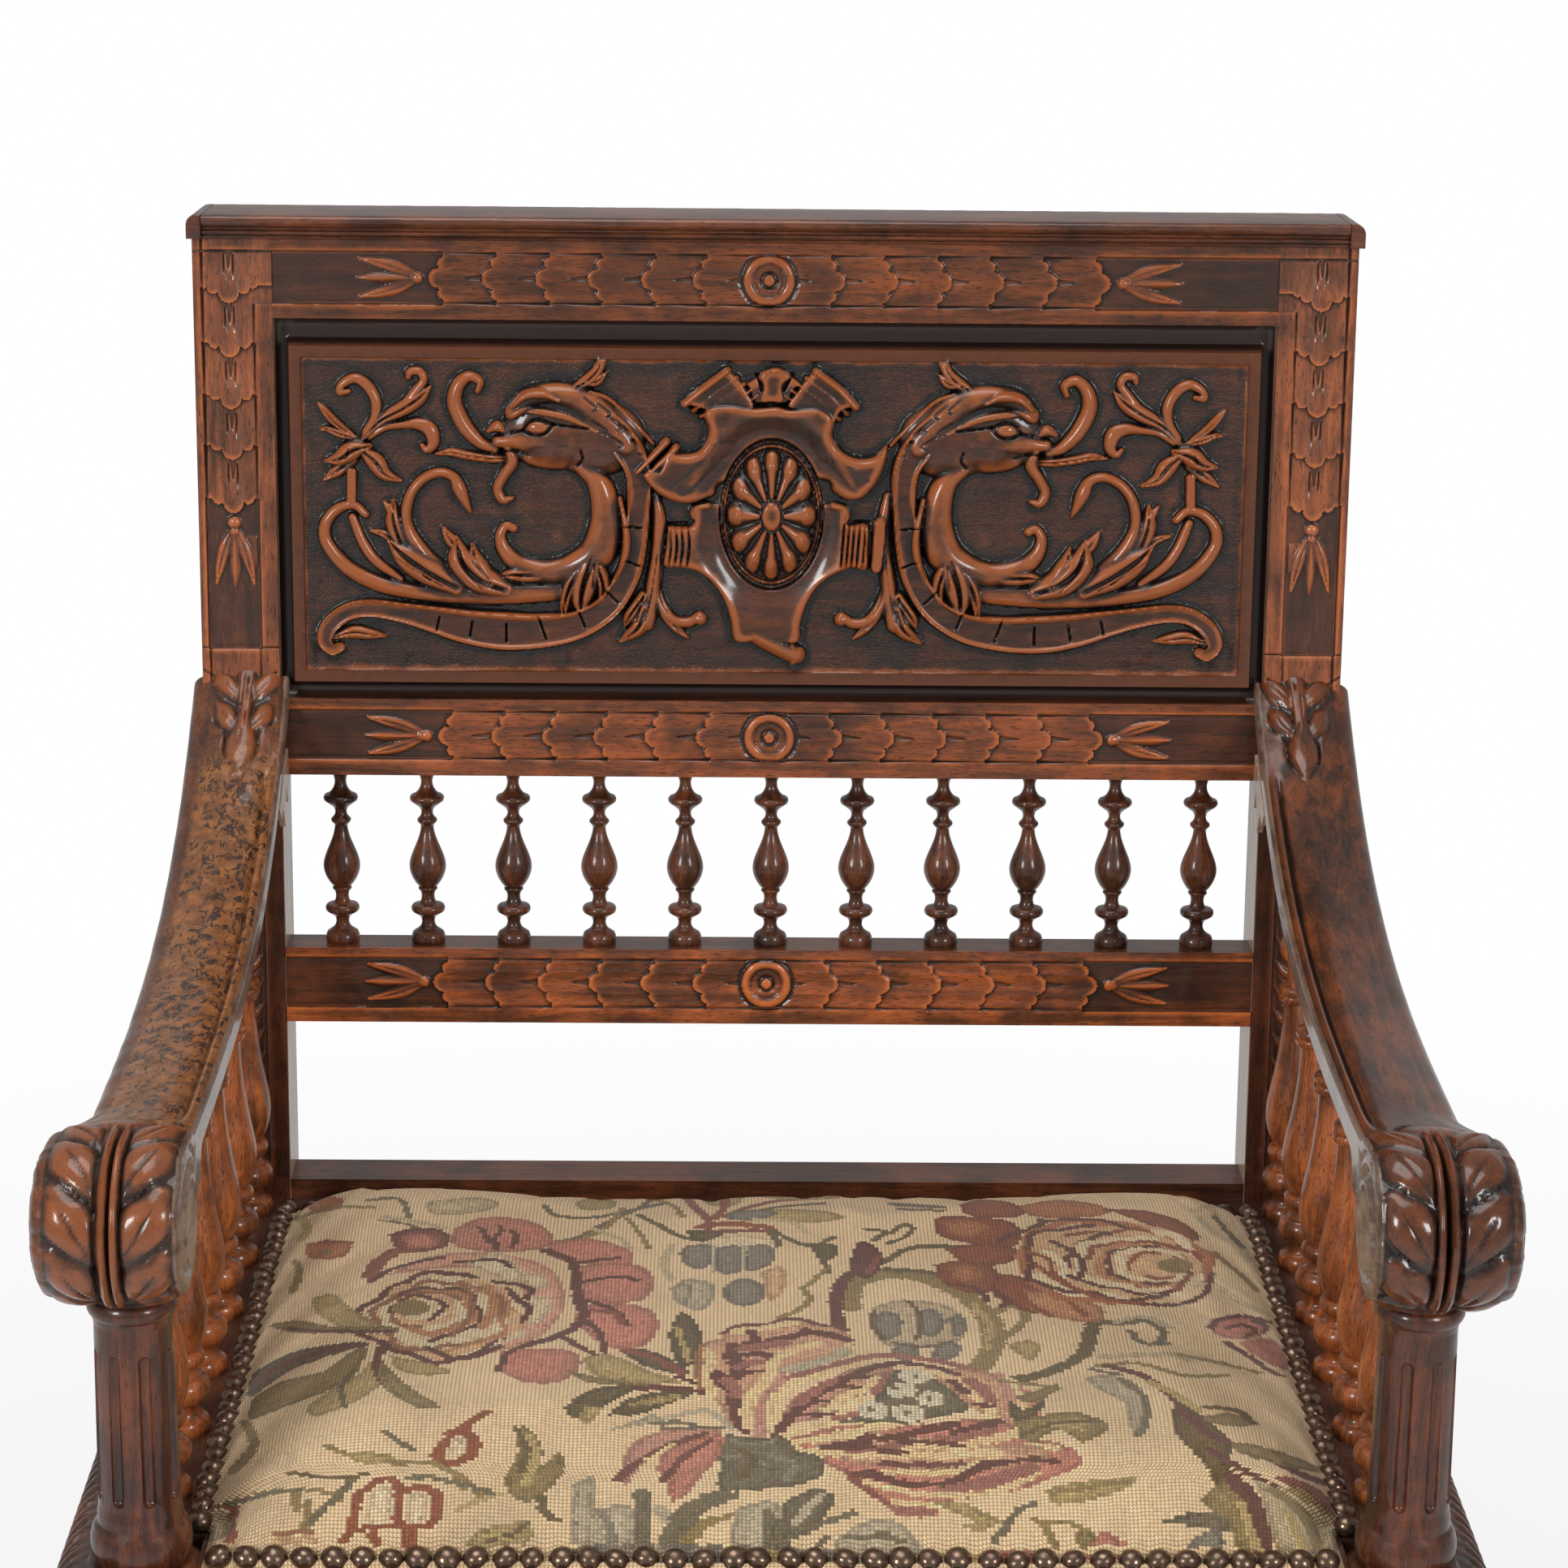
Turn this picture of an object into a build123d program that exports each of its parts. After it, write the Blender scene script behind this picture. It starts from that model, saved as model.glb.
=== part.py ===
from build123d import *
import os
from math import cos, radians, sin, tan

# Carved walnut armchair in the Renaissance revival manner, piece by piece, in millimetres.
# +Z is up, the sitter faces -Y, and the origin is on the floor under the middle of the chair.
os.makedirs("parts", exist_ok=True)

# ---------------------------------------------------------------- driving dimensions
# heights above the floor
SEAT_LINE = 440.0          # where the back starts to lean, level with the seat's nail heads
LEDGE_TOP = 433.0          # top of the flat boards round the seat
LEDGE_THICK = 20.0
RAIL_BOTTOM = 348.0        # underside of the seat rails

# back frame: heights are measured up the leaning face from the seat line
RAKE = 2.865               # lean of the back in degrees
STILE_WIDTH = 40.0
STILE_THICK = 39.0
BACK_INSIDE = 510.0        # clear width between the two stiles
STILE_TOP = 505.0
CAP_HEIGHT = 12.5
CAP_OVERHANG = 2.0
CAP_ROUND = 3.0
CREST_HEIGHT = 40.2
MID_LOW, MID_HIGH = 226.9, 267.5
LOWER_LOW, LOWER_HIGH = 92.6, 133.2
CREST_THICK = 30.0
BACK_RAIL_THICK = 23.4
SEAT_BACK_RISE = 4.0       # how far the rear seat rail stands above the seat line
SEAT_BACK_THICK = 28.0

# joints of the frame
TENON_THICK = 9.0
TENON_SET = 7.2            # from a rail's show face to its tenon
TENON_LENGTH = 16.0
TENON_SHOULDER = 9.0       # step above and below a tenon
PEG_RADIUS = 2.5
PEG_LENGTH = 24.0
PEG_PLAY = 0.05
SEAT_TENON_LENGTH = 20.0

# carved panel in its grooves
PANEL_TONGUE = 6.0
PANEL_SET = 12.0           # from the frame's face back to the tongue
GROOVE_DEPTH = 8.0
GROOVE_PLAY = 0.2
FIELD_CHANNEL = (7.0, 8.5, 12.8)   # open channel beside, under and over the raised field
FIELD_PROUD = 3.0          # how far the raised field stands in front of the frame
FIELD_BORDER = 7.0
GROUND_SINK = 2.5
CARTOUCHE_HEIGHT = 8.0
CARTOUCHE_RISE = 2.0       # its middle above the field's middle
CARTOUCHE_RADII = (28.0, 37.0)
BOSS_RADII = (23.0, 33.0)
BOSS_HEIGHT = 4.0

# small balusters in the back
BACK_BALUSTERS = 11
BACK_BALUSTER_PITCH = 45.2
PIN_RADIUS = 3.0
PIN_LENGTH = 7.0
PIN_PLAY = 0.05

# front legs, seat frame and mouldings; depths are measured forward from the back's face
BLOCK = 48.0               # square blocks of the front legs
POST_SHIFT = 0.5           # how far a leg's middle lies outside the arm's
FRONT_DEPTH = 434.0        # front face of the leg blocks
RAIL_THICK = 28.0
FRONT_RAIL_THICK = 30.0
LEDGE_LAP = 11.1           # from the side rows of nails in to the ledges' inner edges
BACK_LEDGE_WIDTH = 34.0
MOULD_REACH = 16.0
MOULD_HEIGHT = 24.0
CORNER_BLOCK = 46.0
CORNER_BLOCK_HEIGHT = 40.0

# arms
ARM_LAP = 4.5              # how far an arm stands inside its stile
ARM_WIDTH = 50.0
ARM_THICK = 30.0
ARM_LOW_TOP = 626.0        # top of the arm where it runs level
ARM_RISE = 94.0            # how much higher it meets the stile
ARM_SWEEP = 354.0          # length of the falling curve
ARM_EDGE_ROUND = 7.0
ARM_TENON = (12.0, 18.0, 16.0)
SCROLL_RADIUS = 33.0
SCROLL_AHEAD = 8.0         # from the post's axis forward to the scroll's
SCROLL_DROP = 28.0         # from the top of the level arm down to the scroll's axis
SCROLL_WIDTH = 61.5
VOLUTE_RADIUS = 21.0
VOLUTE_RISE = 2.0
POST_PIN_RADIUS = 8.0
POST_PIN_LENGTH = 28.0

# balusters under the arms
SIDE_BALUSTERS = 6
SIDE_BALUSTER_FIRST = 17.0
SIDE_BALUSTER_LAST = 41.5  # from the last baluster to the leg's block
SIDE_BALUSTER_WIDEST = 13.3
SIDE_BALUSTER_BELLY = 3.7

# fluted arm posts
FLUTES = 8
FLUTE_RADIUS = 3.0
FLUTE_START, FLUTE_STOP = 34.0, 27.0   # from the ledge up, and from the scroll down
FLUTE_BITE = 2.3

# underframe
LOWER_BLOCK_LOW, LOWER_BLOCK_HIGH = 55.0, 125.0
STRETCHER_LOW, STRETCHER_HIGH = 73.0, 107.0
STRETCHER_THICK = 26.0
CROSS_AHEAD = 10.0         # from half way between the legs to the cross stretcher
CROSS_PIN_RADIUS = 8.0
CROSS_PIN_LENGTH = 14.0
FOOT_PIN_RADIUS = 9.0
FOOT_PIN_LENGTH = 22.0

# upholstery
CUSHION_SET = 6.0          # from a row of nails in to the foot of the dome
HEM_MARGIN = 6.0           # from the front and back rows out to the cover's edge
HEM_SIDE_MARGIN = 4.4
COVER_THICK = 1.8
HEM_THICK = 5.0            # padded edge of the cover that the nails hold down
COVER_PLAY = 0.3
HESSIAN_THICK = 1.0
WEB_WIDTH = 50.0
WEB_THICK = 2.0
WEBS_ACROSS, WEBS_ALONG = 4, 5
WEB_HOLD = 16.0            # how far a web runs under the ledge it is tacked to

# upholstery nails
NAILS_FRONT, NAILS_BACK, NAILS_SIDE = 40, 40, 29
NAIL_HEAD_RADIUS = 5.7
NAIL_HEAD_RISE = 3.4
NAIL_SHANK_RADIUS = 0.8
NAIL_SHANK_LENGTH = 12.0
NAIL_CLEAR = 7.1           # from the balusters' widest ring in to the side rows
NAIL_BACK, NAIL_FRONT_SET = 26.0, 20.0
NAIL_BLOCK_CLEAR = 7.0     # from a side row's last nail to the leg's block
NAIL_CORNER_CLEAR = 10.2   # from the front row's last nail to the leg's block
NAIL_PLAY = 0.05

# ---------------------------------------------------------------- derived places
STILE_OUTSIDE = BACK_INSIDE / 2 + STILE_WIDTH
CREST_LOW = STILE_TOP - CREST_HEIGHT
CREST_TOP = STILE_TOP + CAP_HEIGHT
FIELD_WIDTH = BACK_INSIDE - 2 * FIELD_CHANNEL[0]
FIELD_LOW, FIELD_HIGH = MID_HIGH + FIELD_CHANNEL[1], CREST_LOW - FIELD_CHANNEL[2]
CARTOUCHE_LEVEL = (FIELD_LOW + FIELD_HIGH) / 2 + CARTOUCHE_RISE
POST_DEPTH = FRONT_DEPTH - BLOCK / 2
SCROLL_DEPTH = POST_DEPTH + SCROLL_AHEAD
SCROLL_HEIGHT = ARM_LOW_TOP - SCROLL_DROP
ARM_REACH = SCROLL_DEPTH + SCROLL_RADIUS
LEAN_SIN, LEAN_COS, LEAN_TAN = sin(radians(RAKE)), cos(radians(RAKE)), tan(radians(RAKE))
BACK_REACH = CREST_TOP * LEAN_SIN + STILE_THICK * LEAN_COS
BACK_Y = (ARM_REACH - BACK_REACH) / 2

ARM_INSIDE = BACK_INSIDE / 2 - ARM_LAP
ARM_X = ARM_INSIDE + ARM_WIDTH / 2
POST_X = ARM_X + POST_SHIFT
LEG_OUTSIDE = POST_X + BLOCK / 2
BLOCK_INSIDE = LEG_OUTSIDE - BLOCK
BLOCK_BACK_DEPTH = FRONT_DEPTH - BLOCK
LEDGE_BOTTOM = LEDGE_TOP - LEDGE_THICK
SIDE_RAIL_X = LEG_OUTSIDE - RAIL_THICK / 2
FRONT_RAIL_BACK = FRONT_DEPTH - FRONT_RAIL_THICK
STRETCHER_X = POST_X
CROSS_DEPTH = POST_DEPTH / 2 + CROSS_AHEAD
CAPITAL_TOP = SCROLL_HEIGHT - SCROLL_RADIUS
FLUTE_LOW, FLUTE_HIGH = LEDGE_TOP + FLUTE_START, CAPITAL_TOP - FLUTE_STOP
SIDE_BALUSTER_PITCH = (
    (BLOCK_BACK_DEPTH - SIDE_BALUSTER_LAST - SIDE_BALUSTER_FIRST) / (SIDE_BALUSTERS - 1)
)

# places of the nails, and of the cover that they hold
NAIL_SIDE = ARM_X - SIDE_BALUSTER_WIDEST - NAIL_CLEAR
NAIL_FRONT = FRONT_DEPTH - NAIL_FRONT_SET
NAIL_SIDE_LAST = BLOCK_BACK_DEPTH - NAIL_BLOCK_CLEAR
NAIL_FRONT_LAST = BLOCK_INSIDE - NAIL_CORNER_CLEAR
LEDGE_INSIDE = NAIL_SIDE - LEDGE_LAP
CUSHION_BACK, CUSHION_FRONT = NAIL_BACK + CUSHION_SET, NAIL_FRONT - CUSHION_SET
CUSHION_WIDTH = 2 * (NAIL_SIDE - CUSHION_SET)
FLANGE_BACK, FLANGE_FRONT = NAIL_BACK - HEM_MARGIN, NAIL_FRONT + HEM_MARGIN
FLANGE_HALF = NAIL_SIDE + HEM_SIDE_MARGIN

# X along the chair's width, Y up the leaning face, Z out of it towards the sitter's front
BACK = Plane(origin=(0, BACK_Y, SEAT_LINE), x_dir=(1, 0, 0), z_dir=(0, -LEAN_COS, LEAN_SIN))


def front(depth):
    """Y of a point that lies a given depth in front of the back's face at the seat line."""
    return BACK_Y - depth


def upright(x, y, z):
    """A plane whose Y direction is straight up, for a turning that stands at a point."""
    return Plane(origin=(x, y, z), x_dir=(1, 0, 0), z_dir=(0, -1, 0))


def slab(x_low, x_high, depth_back, depth_front, z_low, z_high):
    """A square-cut board between two widths, two depths from the back and two heights."""
    with BuildPart() as board:
        middle = ((x_low + x_high) / 2, front((depth_back + depth_front) / 2))
        with BuildSketch(Plane.XY.offset(z_low)):
            with Locations(middle):
                Rectangle(x_high - x_low, depth_front - depth_back)
        extrude(amount=z_high - z_low)
    return board.part


def leaning_board(width, low, high, set_back, thick):
    """A board in the leaning back: low and high up the face, set back from it, so thick."""
    with BuildPart() as board:
        with BuildSketch(BACK.offset(-set_back)):
            with Locations((0, (low + high) / 2)):
                Rectangle(width, high - low)
        extrude(amount=-thick)
    return board.part


def rod(place, radius, length):
    """A round pin that starts at a plane's origin and runs along its Y direction."""
    with BuildPart() as pin:
        with BuildSketch(Plane(origin=place.origin, x_dir=place.x_dir, z_dir=place.y_dir)):
            Circle(radius)
        extrude(amount=length)
    return pin.part


def turning(place, runs):
    """A turned piece on a plane's Y axis, from (radius, height) stations.

    A run of two stations is straight, one of three is an arc, and a longer one flows.
    """
    with BuildPart() as turned:
        with BuildSketch(place):
            with BuildLine():
                Line((0, runs[0][0][1]), runs[0][0])
                for run in runs:
                    if len(run) == 2:
                        Line(*run)
                    elif len(run) == 3:
                        ThreePointArc(*run)
                    else:
                        Spline(*run)
                Line(runs[-1][-1], (0, runs[-1][-1][1]))
                Line((0, runs[-1][-1][1]), (0, runs[0][0][1]))
            make_face()
        revolve(axis=Axis(place.origin, place.y_dir))
    return turned.part


def mirrored(piece):
    """The left-hand twin of a right-hand piece."""
    with BuildPart() as twin:
        mirror(piece, about=Plane.YZ)
    return twin.part


def deliver(piece, name):
    """Label a finished piece and write it out."""
    piece.label = name
    export_step(piece, f"parts/{name}.step")


# ---------------------------------------------------------------- rails of the back
# name: (bottom, top, thickness)
BACK_RAILS = {
    "crest_rail": (CREST_LOW, STILE_TOP, CREST_THICK),
    "mid_rail": (MID_LOW, MID_HIGH, BACK_RAIL_THICK),
    "lower_rail": (LOWER_LOW, LOWER_HIGH, BACK_RAIL_THICK),
}
PEG_X = BACK_INSIDE / 2 + TENON_LENGTH / 2


def tenon_heights(low, high):
    """Bottom and top of the tenon on a rail of the back."""
    return low + TENON_SHOULDER, high - TENON_SHOULDER


def peg_places():
    """Middle of each peg that locks a rail of the back in a stile, as (x, height)."""
    return [(side * PEG_X, (low + high) / 2)
            for low, high, _ in BACK_RAILS.values() for side in (-1, 1)]


def peg_rods(radius):
    """Every peg of the back frame, or the holes for them, at a given radius."""
    with BuildPart() as rods:
        with BuildSketch(BACK):
            with Locations(*peg_places()):
                Circle(radius)
        extrude(amount=-PEG_LENGTH)
    return rods.part


def back_baluster_places():
    """X of each small baluster in the back."""
    middle = (BACK_BALUSTERS - 1) / 2
    return [(index - middle) * BACK_BALUSTER_PITCH for index in range(BACK_BALUSTERS)]


def baluster_sockets(height, direction):
    """Holes for the balusters' pins in a rail of the back, from its edge up or down into it."""
    with BuildPart() as sockets:
        edge = Plane(origin=BACK.from_local_coords((0, height, -BACK_RAIL_THICK / 2)),
                     x_dir=(1, 0, 0), z_dir=BACK.y_dir * direction)
        with BuildSketch(edge):
            with Locations(*[(x, 0) for x in back_baluster_places()]):
                Circle(PIN_RADIUS + PIN_PLAY)
        extrude(amount=PIN_LENGTH + PIN_PLAY)
    return sockets.part


def upright_peg_rods(radius):
    """The pegs of the upright rear seat rail, or the holes for them, at a given radius."""
    with BuildPart() as rods:
        with BuildSketch(Plane(origin=(0, BACK_Y, 0), x_dir=(1, 0, 0), z_dir=(0, -1, 0))):
            with Locations(*[(side * PEG_X, SEAT_RAIL_MIDDLE) for side in (-1, 1)]):
                Circle(radius)
        extrude(amount=-PEG_LENGTH)
    return rods.part


PANEL_GROOVE = leaning_board(
    BACK_INSIDE + 2 * GROOVE_DEPTH,
    MID_HIGH - GROOVE_DEPTH,
    CREST_LOW + GROOVE_DEPTH,
    PANEL_SET - GROOVE_PLAY / 2,
    PANEL_TONGUE + GROOVE_PLAY,
)
PEG_HOLES = peg_rods(PEG_RADIUS + PEG_PLAY)
SEAT_RAIL_MIDDLE = (RAIL_BOTTOM + LEDGE_TOP) / 2
UPRIGHT_PEG_HOLES = upright_peg_rods(PEG_RADIUS + PEG_PLAY)
BACK_SEAT_TENON = slab(-BACK_INSIDE / 2 - TENON_LENGTH, BACK_INSIDE / 2 + TENON_LENGTH,
                       -TENON_SET - TENON_THICK, -TENON_SET,
                       RAIL_BOTTOM + TENON_SHOULDER, LEDGE_TOP - TENON_SHOULDER)
SOCKETS = {
    "mid_rail": baluster_sockets(MID_LOW, 1),
    "lower_rail": baluster_sockets(LOWER_HIGH, -1),
}
TENONS = {}
for rail_name, (rail_low, rail_high, rail_thick) in BACK_RAILS.items():
    tenon_low, tenon_high = tenon_heights(rail_low, rail_high)
    TENONS[rail_name] = leaning_board(
        BACK_INSIDE + 2 * TENON_LENGTH, tenon_low, tenon_high, TENON_SET, TENON_THICK)

for rail_name, (rail_low, rail_high, rail_thick) in BACK_RAILS.items():
    with BuildPart() as back_rail:
        add(leaning_board(BACK_INSIDE, rail_low, rail_high, 0, rail_thick))
        add(TENONS[rail_name])
        add(PEG_HOLES, mode=Mode.SUBTRACT)
        if rail_name in ("crest_rail", "mid_rail"):
            add(PANEL_GROOVE, mode=Mode.SUBTRACT)
        if rail_name in SOCKETS:
            add(SOCKETS[rail_name], mode=Mode.SUBTRACT)
    deliver(back_rail.part, rail_name)

with BuildPart() as back_seat_rail:
    add(slab(-BACK_INSIDE / 2, BACK_INSIDE / 2, -SEAT_BACK_THICK, 0,
             RAIL_BOTTOM, SEAT_LINE + SEAT_BACK_RISE))
    add(BACK_SEAT_TENON)
    add(UPRIGHT_PEG_HOLES, mode=Mode.SUBTRACT)
deliver(back_seat_rail.part, "back_seat_rail")

# ---------------------------------------------------------------- crest cap
with BuildPart() as crest_cap:
    with BuildSketch(BACK.offset(CAP_OVERHANG)):
        with Locations((0, STILE_TOP + CAP_HEIGHT / 2)):
            Rectangle(2 * STILE_OUTSIDE, CAP_HEIGHT)
    extrude(amount=-(STILE_THICK + CAP_OVERHANG))
    cap_nose = crest_cap.edges().filter_by(Axis.X).group_by(Axis.Y)[0]
    fillet(cap_nose, radius=CAP_ROUND)
deliver(crest_cap.part, "crest_cap")

# ---------------------------------------------------------------- pegs
with BuildPart() as tenon_pegs:
    add(peg_rods(PEG_RADIUS))
    add(upright_peg_rods(PEG_RADIUS))
deliver(tenon_pegs.part, "tenon_pegs")

# ---------------------------------------------------------------- carved panel
with BuildPart() as carved_panel:
    tongue_reach = GROOVE_DEPTH - GROOVE_PLAY
    add(leaning_board(BACK_INSIDE + 2 * tongue_reach, MID_HIGH - tongue_reach,
                      CREST_LOW + tongue_reach, PANEL_SET, PANEL_TONGUE))
    add(leaning_board(FIELD_WIDTH, FIELD_LOW, FIELD_HIGH, -FIELD_PROUD, PANEL_SET + FIELD_PROUD))
    add(leaning_board(FIELD_WIDTH - 2 * FIELD_BORDER, FIELD_LOW + FIELD_BORDER,
                      FIELD_HIGH - FIELD_BORDER, -FIELD_PROUD, GROUND_SINK), mode=Mode.SUBTRACT)
    ground = BACK.offset(FIELD_PROUD - GROUND_SINK)
    with BuildSketch(ground):
        with Locations((0, CARTOUCHE_LEVEL)):
            Ellipse(*CARTOUCHE_RADII)
    extrude(amount=CARTOUCHE_HEIGHT)
    with BuildSketch(ground.offset(CARTOUCHE_HEIGHT)):
        with Locations((0, CARTOUCHE_LEVEL)):
            Ellipse(*BOSS_RADII)
    extrude(amount=BOSS_HEIGHT)
deliver(carved_panel.part, "carved_panel")

# ---------------------------------------------------------------- balusters of the back
BACK_BALUSTER_GAP = MID_LOW - LOWER_HIGH


def back_baluster_runs(gap):
    """Outline of a small baluster: the rings keep their size and the vase takes up the gap."""
    vase_low, vase_high = 30.4, gap - 30.0
    vase = vase_high - vase_low
    return (
        ((8.5, 0), (8.9, 3.2), (8.0, 5.8)),
        ((8.0, 5.8), (5.2, 7.7)),
        ((5.2, 7.7), (3.5, 10.6), (4.2, 14.2)),
        ((4.2, 14.2), (8.2, 16.8)),
        ((8.2, 16.8), (8.9, 18.8), (8.0, 20.6)),
        ((8.0, 20.6), (4.6, 21.4)),
        ((4.6, 21.4), (3.4, 25.5), (4.2, 28.4)),
        ((4.2, 28.4), (5.0, 29.3), (4.4, vase_low)),
        ((4.4, vase_low), (8.0, vase_low + 0.15 * vase), (9.6, vase_low + 0.33 * vase),
         (7.6, vase_low + 0.58 * vase), (4.9, vase_low + 0.78 * vase), (3.3, vase_high)),
        ((3.3, vase_high), (5.0, vase_high + 2)),
        ((5.0, vase_high + 2), (5.2, vase_high + 3), (4.6, vase_high + 4)),
        ((4.6, vase_high + 4), (3.2, vase_high + 6), (4.2, vase_high + 10)),
        ((4.2, vase_high + 10), (8.2, vase_high + 13)),
        ((8.2, vase_high + 13), (9.0, vase_high + 14.7), (8.2, vase_high + 16.4)),
        ((8.2, vase_high + 16.4), (4.2, vase_high + 19.5), (3.0, vase_high + 23.9),
         (4.1, vase_high + 27.5), (6.6, gap)),
    )


for index, x in enumerate(back_baluster_places(), start=1):
    foot = Plane(origin=BACK.from_local_coords((x, LOWER_HIGH, -BACK_RAIL_THICK / 2)),
                 x_dir=(1, 0, 0), z_dir=BACK.z_dir)
    with BuildPart() as back_baluster:
        add(turning(foot, back_baluster_runs(BACK_BALUSTER_GAP)))
        add(rod(Plane(origin=foot.from_local_coords((0, -PIN_LENGTH, 0)), x_dir=foot.x_dir,
                      z_dir=foot.z_dir), PIN_RADIUS, 2 * PIN_LENGTH + BACK_BALUSTER_GAP))
    deliver(back_baluster.part, f"back_baluster_{index:02d}")

# ---------------------------------------------------------------- front legs with fluted arm posts
FRONT_LEG_RUNS = (
    ((20.0, LOWER_BLOCK_HIGH - 6), (20.0, 128.0)),
    ((20.0, 128.0), (22.5, 134.0), (20.0, 140.0)),
    ((20.0, 140.0), (13.0, 150.0), (14.5, 160.0)),
    ((14.5, 160.0), (17.5, 162.5), (14.5, 165.0)),
    ((14.5, 165.0), (21.0, 181.0), (22.0, 198.0), (17.5, 232.0), (14.5, 262.0), (13.5, 285.0)),
    ((13.5, 285.0), (18.5, 288.0)),
    ((18.5, 288.0), (20.0, 291.0), (18.5, 294.0)),
    ((18.5, 294.0), (20.0, 297.0), (18.5, 300.0)),
    ((18.5, 300.0), (13.5, 303.0)),
    ((13.5, 303.0), (12.5, 311.0), (15.0, 320.0)),
    ((15.0, 320.0), (21.5, 329.0), (17.0, 338.0)),
    ((17.0, 338.0), (17.0, RAIL_BOTTOM - 6)),
    ((17.0, RAIL_BOTTOM - 6), (17.0, LEDGE_TOP)),
    ((17.0, LEDGE_TOP), (20.0, LEDGE_TOP + 3)),
    ((20.0, LEDGE_TOP + 3), (22.2, LEDGE_TOP + 13), (20.3, LEDGE_TOP + 20.5)),
    ((20.3, LEDGE_TOP + 20.5), (18.8, LEDGE_TOP + 22.5)),
    ((18.8, LEDGE_TOP + 22.5), (18.6, LEDGE_TOP + 26.5)),
    ((18.6, LEDGE_TOP + 26.5), (17.9, LEDGE_TOP + 31)),
    ((17.9, LEDGE_TOP + 31), (16.8, CAPITAL_TOP - 16)),
    ((16.8, CAPITAL_TOP - 16), (17.6, CAPITAL_TOP - 12.5)),
    ((17.6, CAPITAL_TOP - 12.5), (19.6, CAPITAL_TOP - 8), (17.6, CAPITAL_TOP - 4)),
    ((17.6, CAPITAL_TOP - 4), (17.0, CAPITAL_TOP - 2)),
    ((17.0, CAPITAL_TOP - 2), (17.0, SCROLL_HEIGHT - SCROLL_RADIUS / 2)),
)
SHOULDER = ((BLOCK / 2 - 1.5, 0), (BLOCK / 2 * 1.42, 11.0))  # where a square block turns round


def square_block(x, depth, z_low, z_high, round_low, round_high):
    """A square block whose shoulders are turned off where round work meets it."""
    (near, _), (far, drop) = SHOULDER
    low = drop if round_low else 0
    high = drop if round_high else 0
    shoulders = turning(upright(x, front(depth), 0), (
        ((near if round_low else far, z_low), (far, z_low + low + 0.01)),
        ((far, z_low + low + 0.01), (far, z_high - high - 0.01)),
        ((far, z_high - high - 0.01), (near if round_high else far, z_high)),
    ))
    with BuildPart() as block:
        add(slab(x - BLOCK / 2, x + BLOCK / 2, depth - BLOCK / 2, depth + BLOCK / 2, z_low, z_high))
        add(shoulders, mode=Mode.INTERSECT)
    return block.part


# tenons that enter the legs, also used to cut their mortises
SEAT_TENON_LOW, SEAT_TENON_HIGH = RAIL_BOTTOM + TENON_SHOULDER, LEDGE_BOTTOM - TENON_SHOULDER
FRONT_TENON_MIDDLE = FRONT_DEPTH - FRONT_RAIL_THICK / 2
FRONT_TENON = slab(-BLOCK_INSIDE - TENON_LENGTH, BLOCK_INSIDE + TENON_LENGTH,
                   FRONT_TENON_MIDDLE - TENON_THICK / 2, FRONT_TENON_MIDDLE + TENON_THICK / 2,
                   SEAT_TENON_LOW, SEAT_TENON_HIGH)
SIDE_TENON = slab(SIDE_RAIL_X - TENON_THICK / 2, SIDE_RAIL_X + TENON_THICK / 2,
                  -SEAT_TENON_LENGTH, BLOCK_BACK_DEPTH + SEAT_TENON_LENGTH,
                  SEAT_TENON_LOW, SEAT_TENON_HIGH)
STRETCHER_TENON = slab(STRETCHER_X - TENON_THICK / 2, STRETCHER_X + TENON_THICK / 2,
                       -SEAT_TENON_LENGTH, BLOCK_BACK_DEPTH + SEAT_TENON_LENGTH,
                       STRETCHER_LOW + TENON_SHOULDER / 2, STRETCHER_HIGH - TENON_SHOULDER / 2)
POST = upright(POST_X, front(POST_DEPTH), 0)
POST_PIN_TOP = SCROLL_HEIGHT - SCROLL_RADIUS + POST_PIN_LENGTH

# ---------------------------------------------------------------- right arm
STILE_AT_ARM = (ARM_LOW_TOP + ARM_RISE - SEAT_LINE) * LEAN_TAN
ARM_TENON_THICK, ARM_TENON_HEIGHT, ARM_TENON_LENGTH = ARM_TENON
ARM_TENON_TOP = ARM_LOW_TOP + ARM_RISE - 16
ARM_TENON_X = ARM_X + 4
arm_tenon = slab(ARM_TENON_X - ARM_TENON_THICK / 2, ARM_TENON_X + ARM_TENON_THICK / 2,
                 -STILE_AT_ARM - ARM_TENON_LENGTH, 0,
                 ARM_TENON_TOP - ARM_TENON_HEIGHT, ARM_TENON_TOP)


def arm_top(depth):
    """Height of the arm's top at a depth in front of the back: a cubic fall to the level part."""
    run = max(0.0, 1 - (depth + STILE_AT_ARM) / ARM_SWEEP)
    return ARM_LOW_TOP + ARM_RISE * run ** 3


def side_baluster_depths():
    """Depth of each baluster under an arm, from the stile to the post."""
    return [SIDE_BALUSTER_FIRST + index * SIDE_BALUSTER_PITCH for index in range(SIDE_BALUSTERS)]


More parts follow.
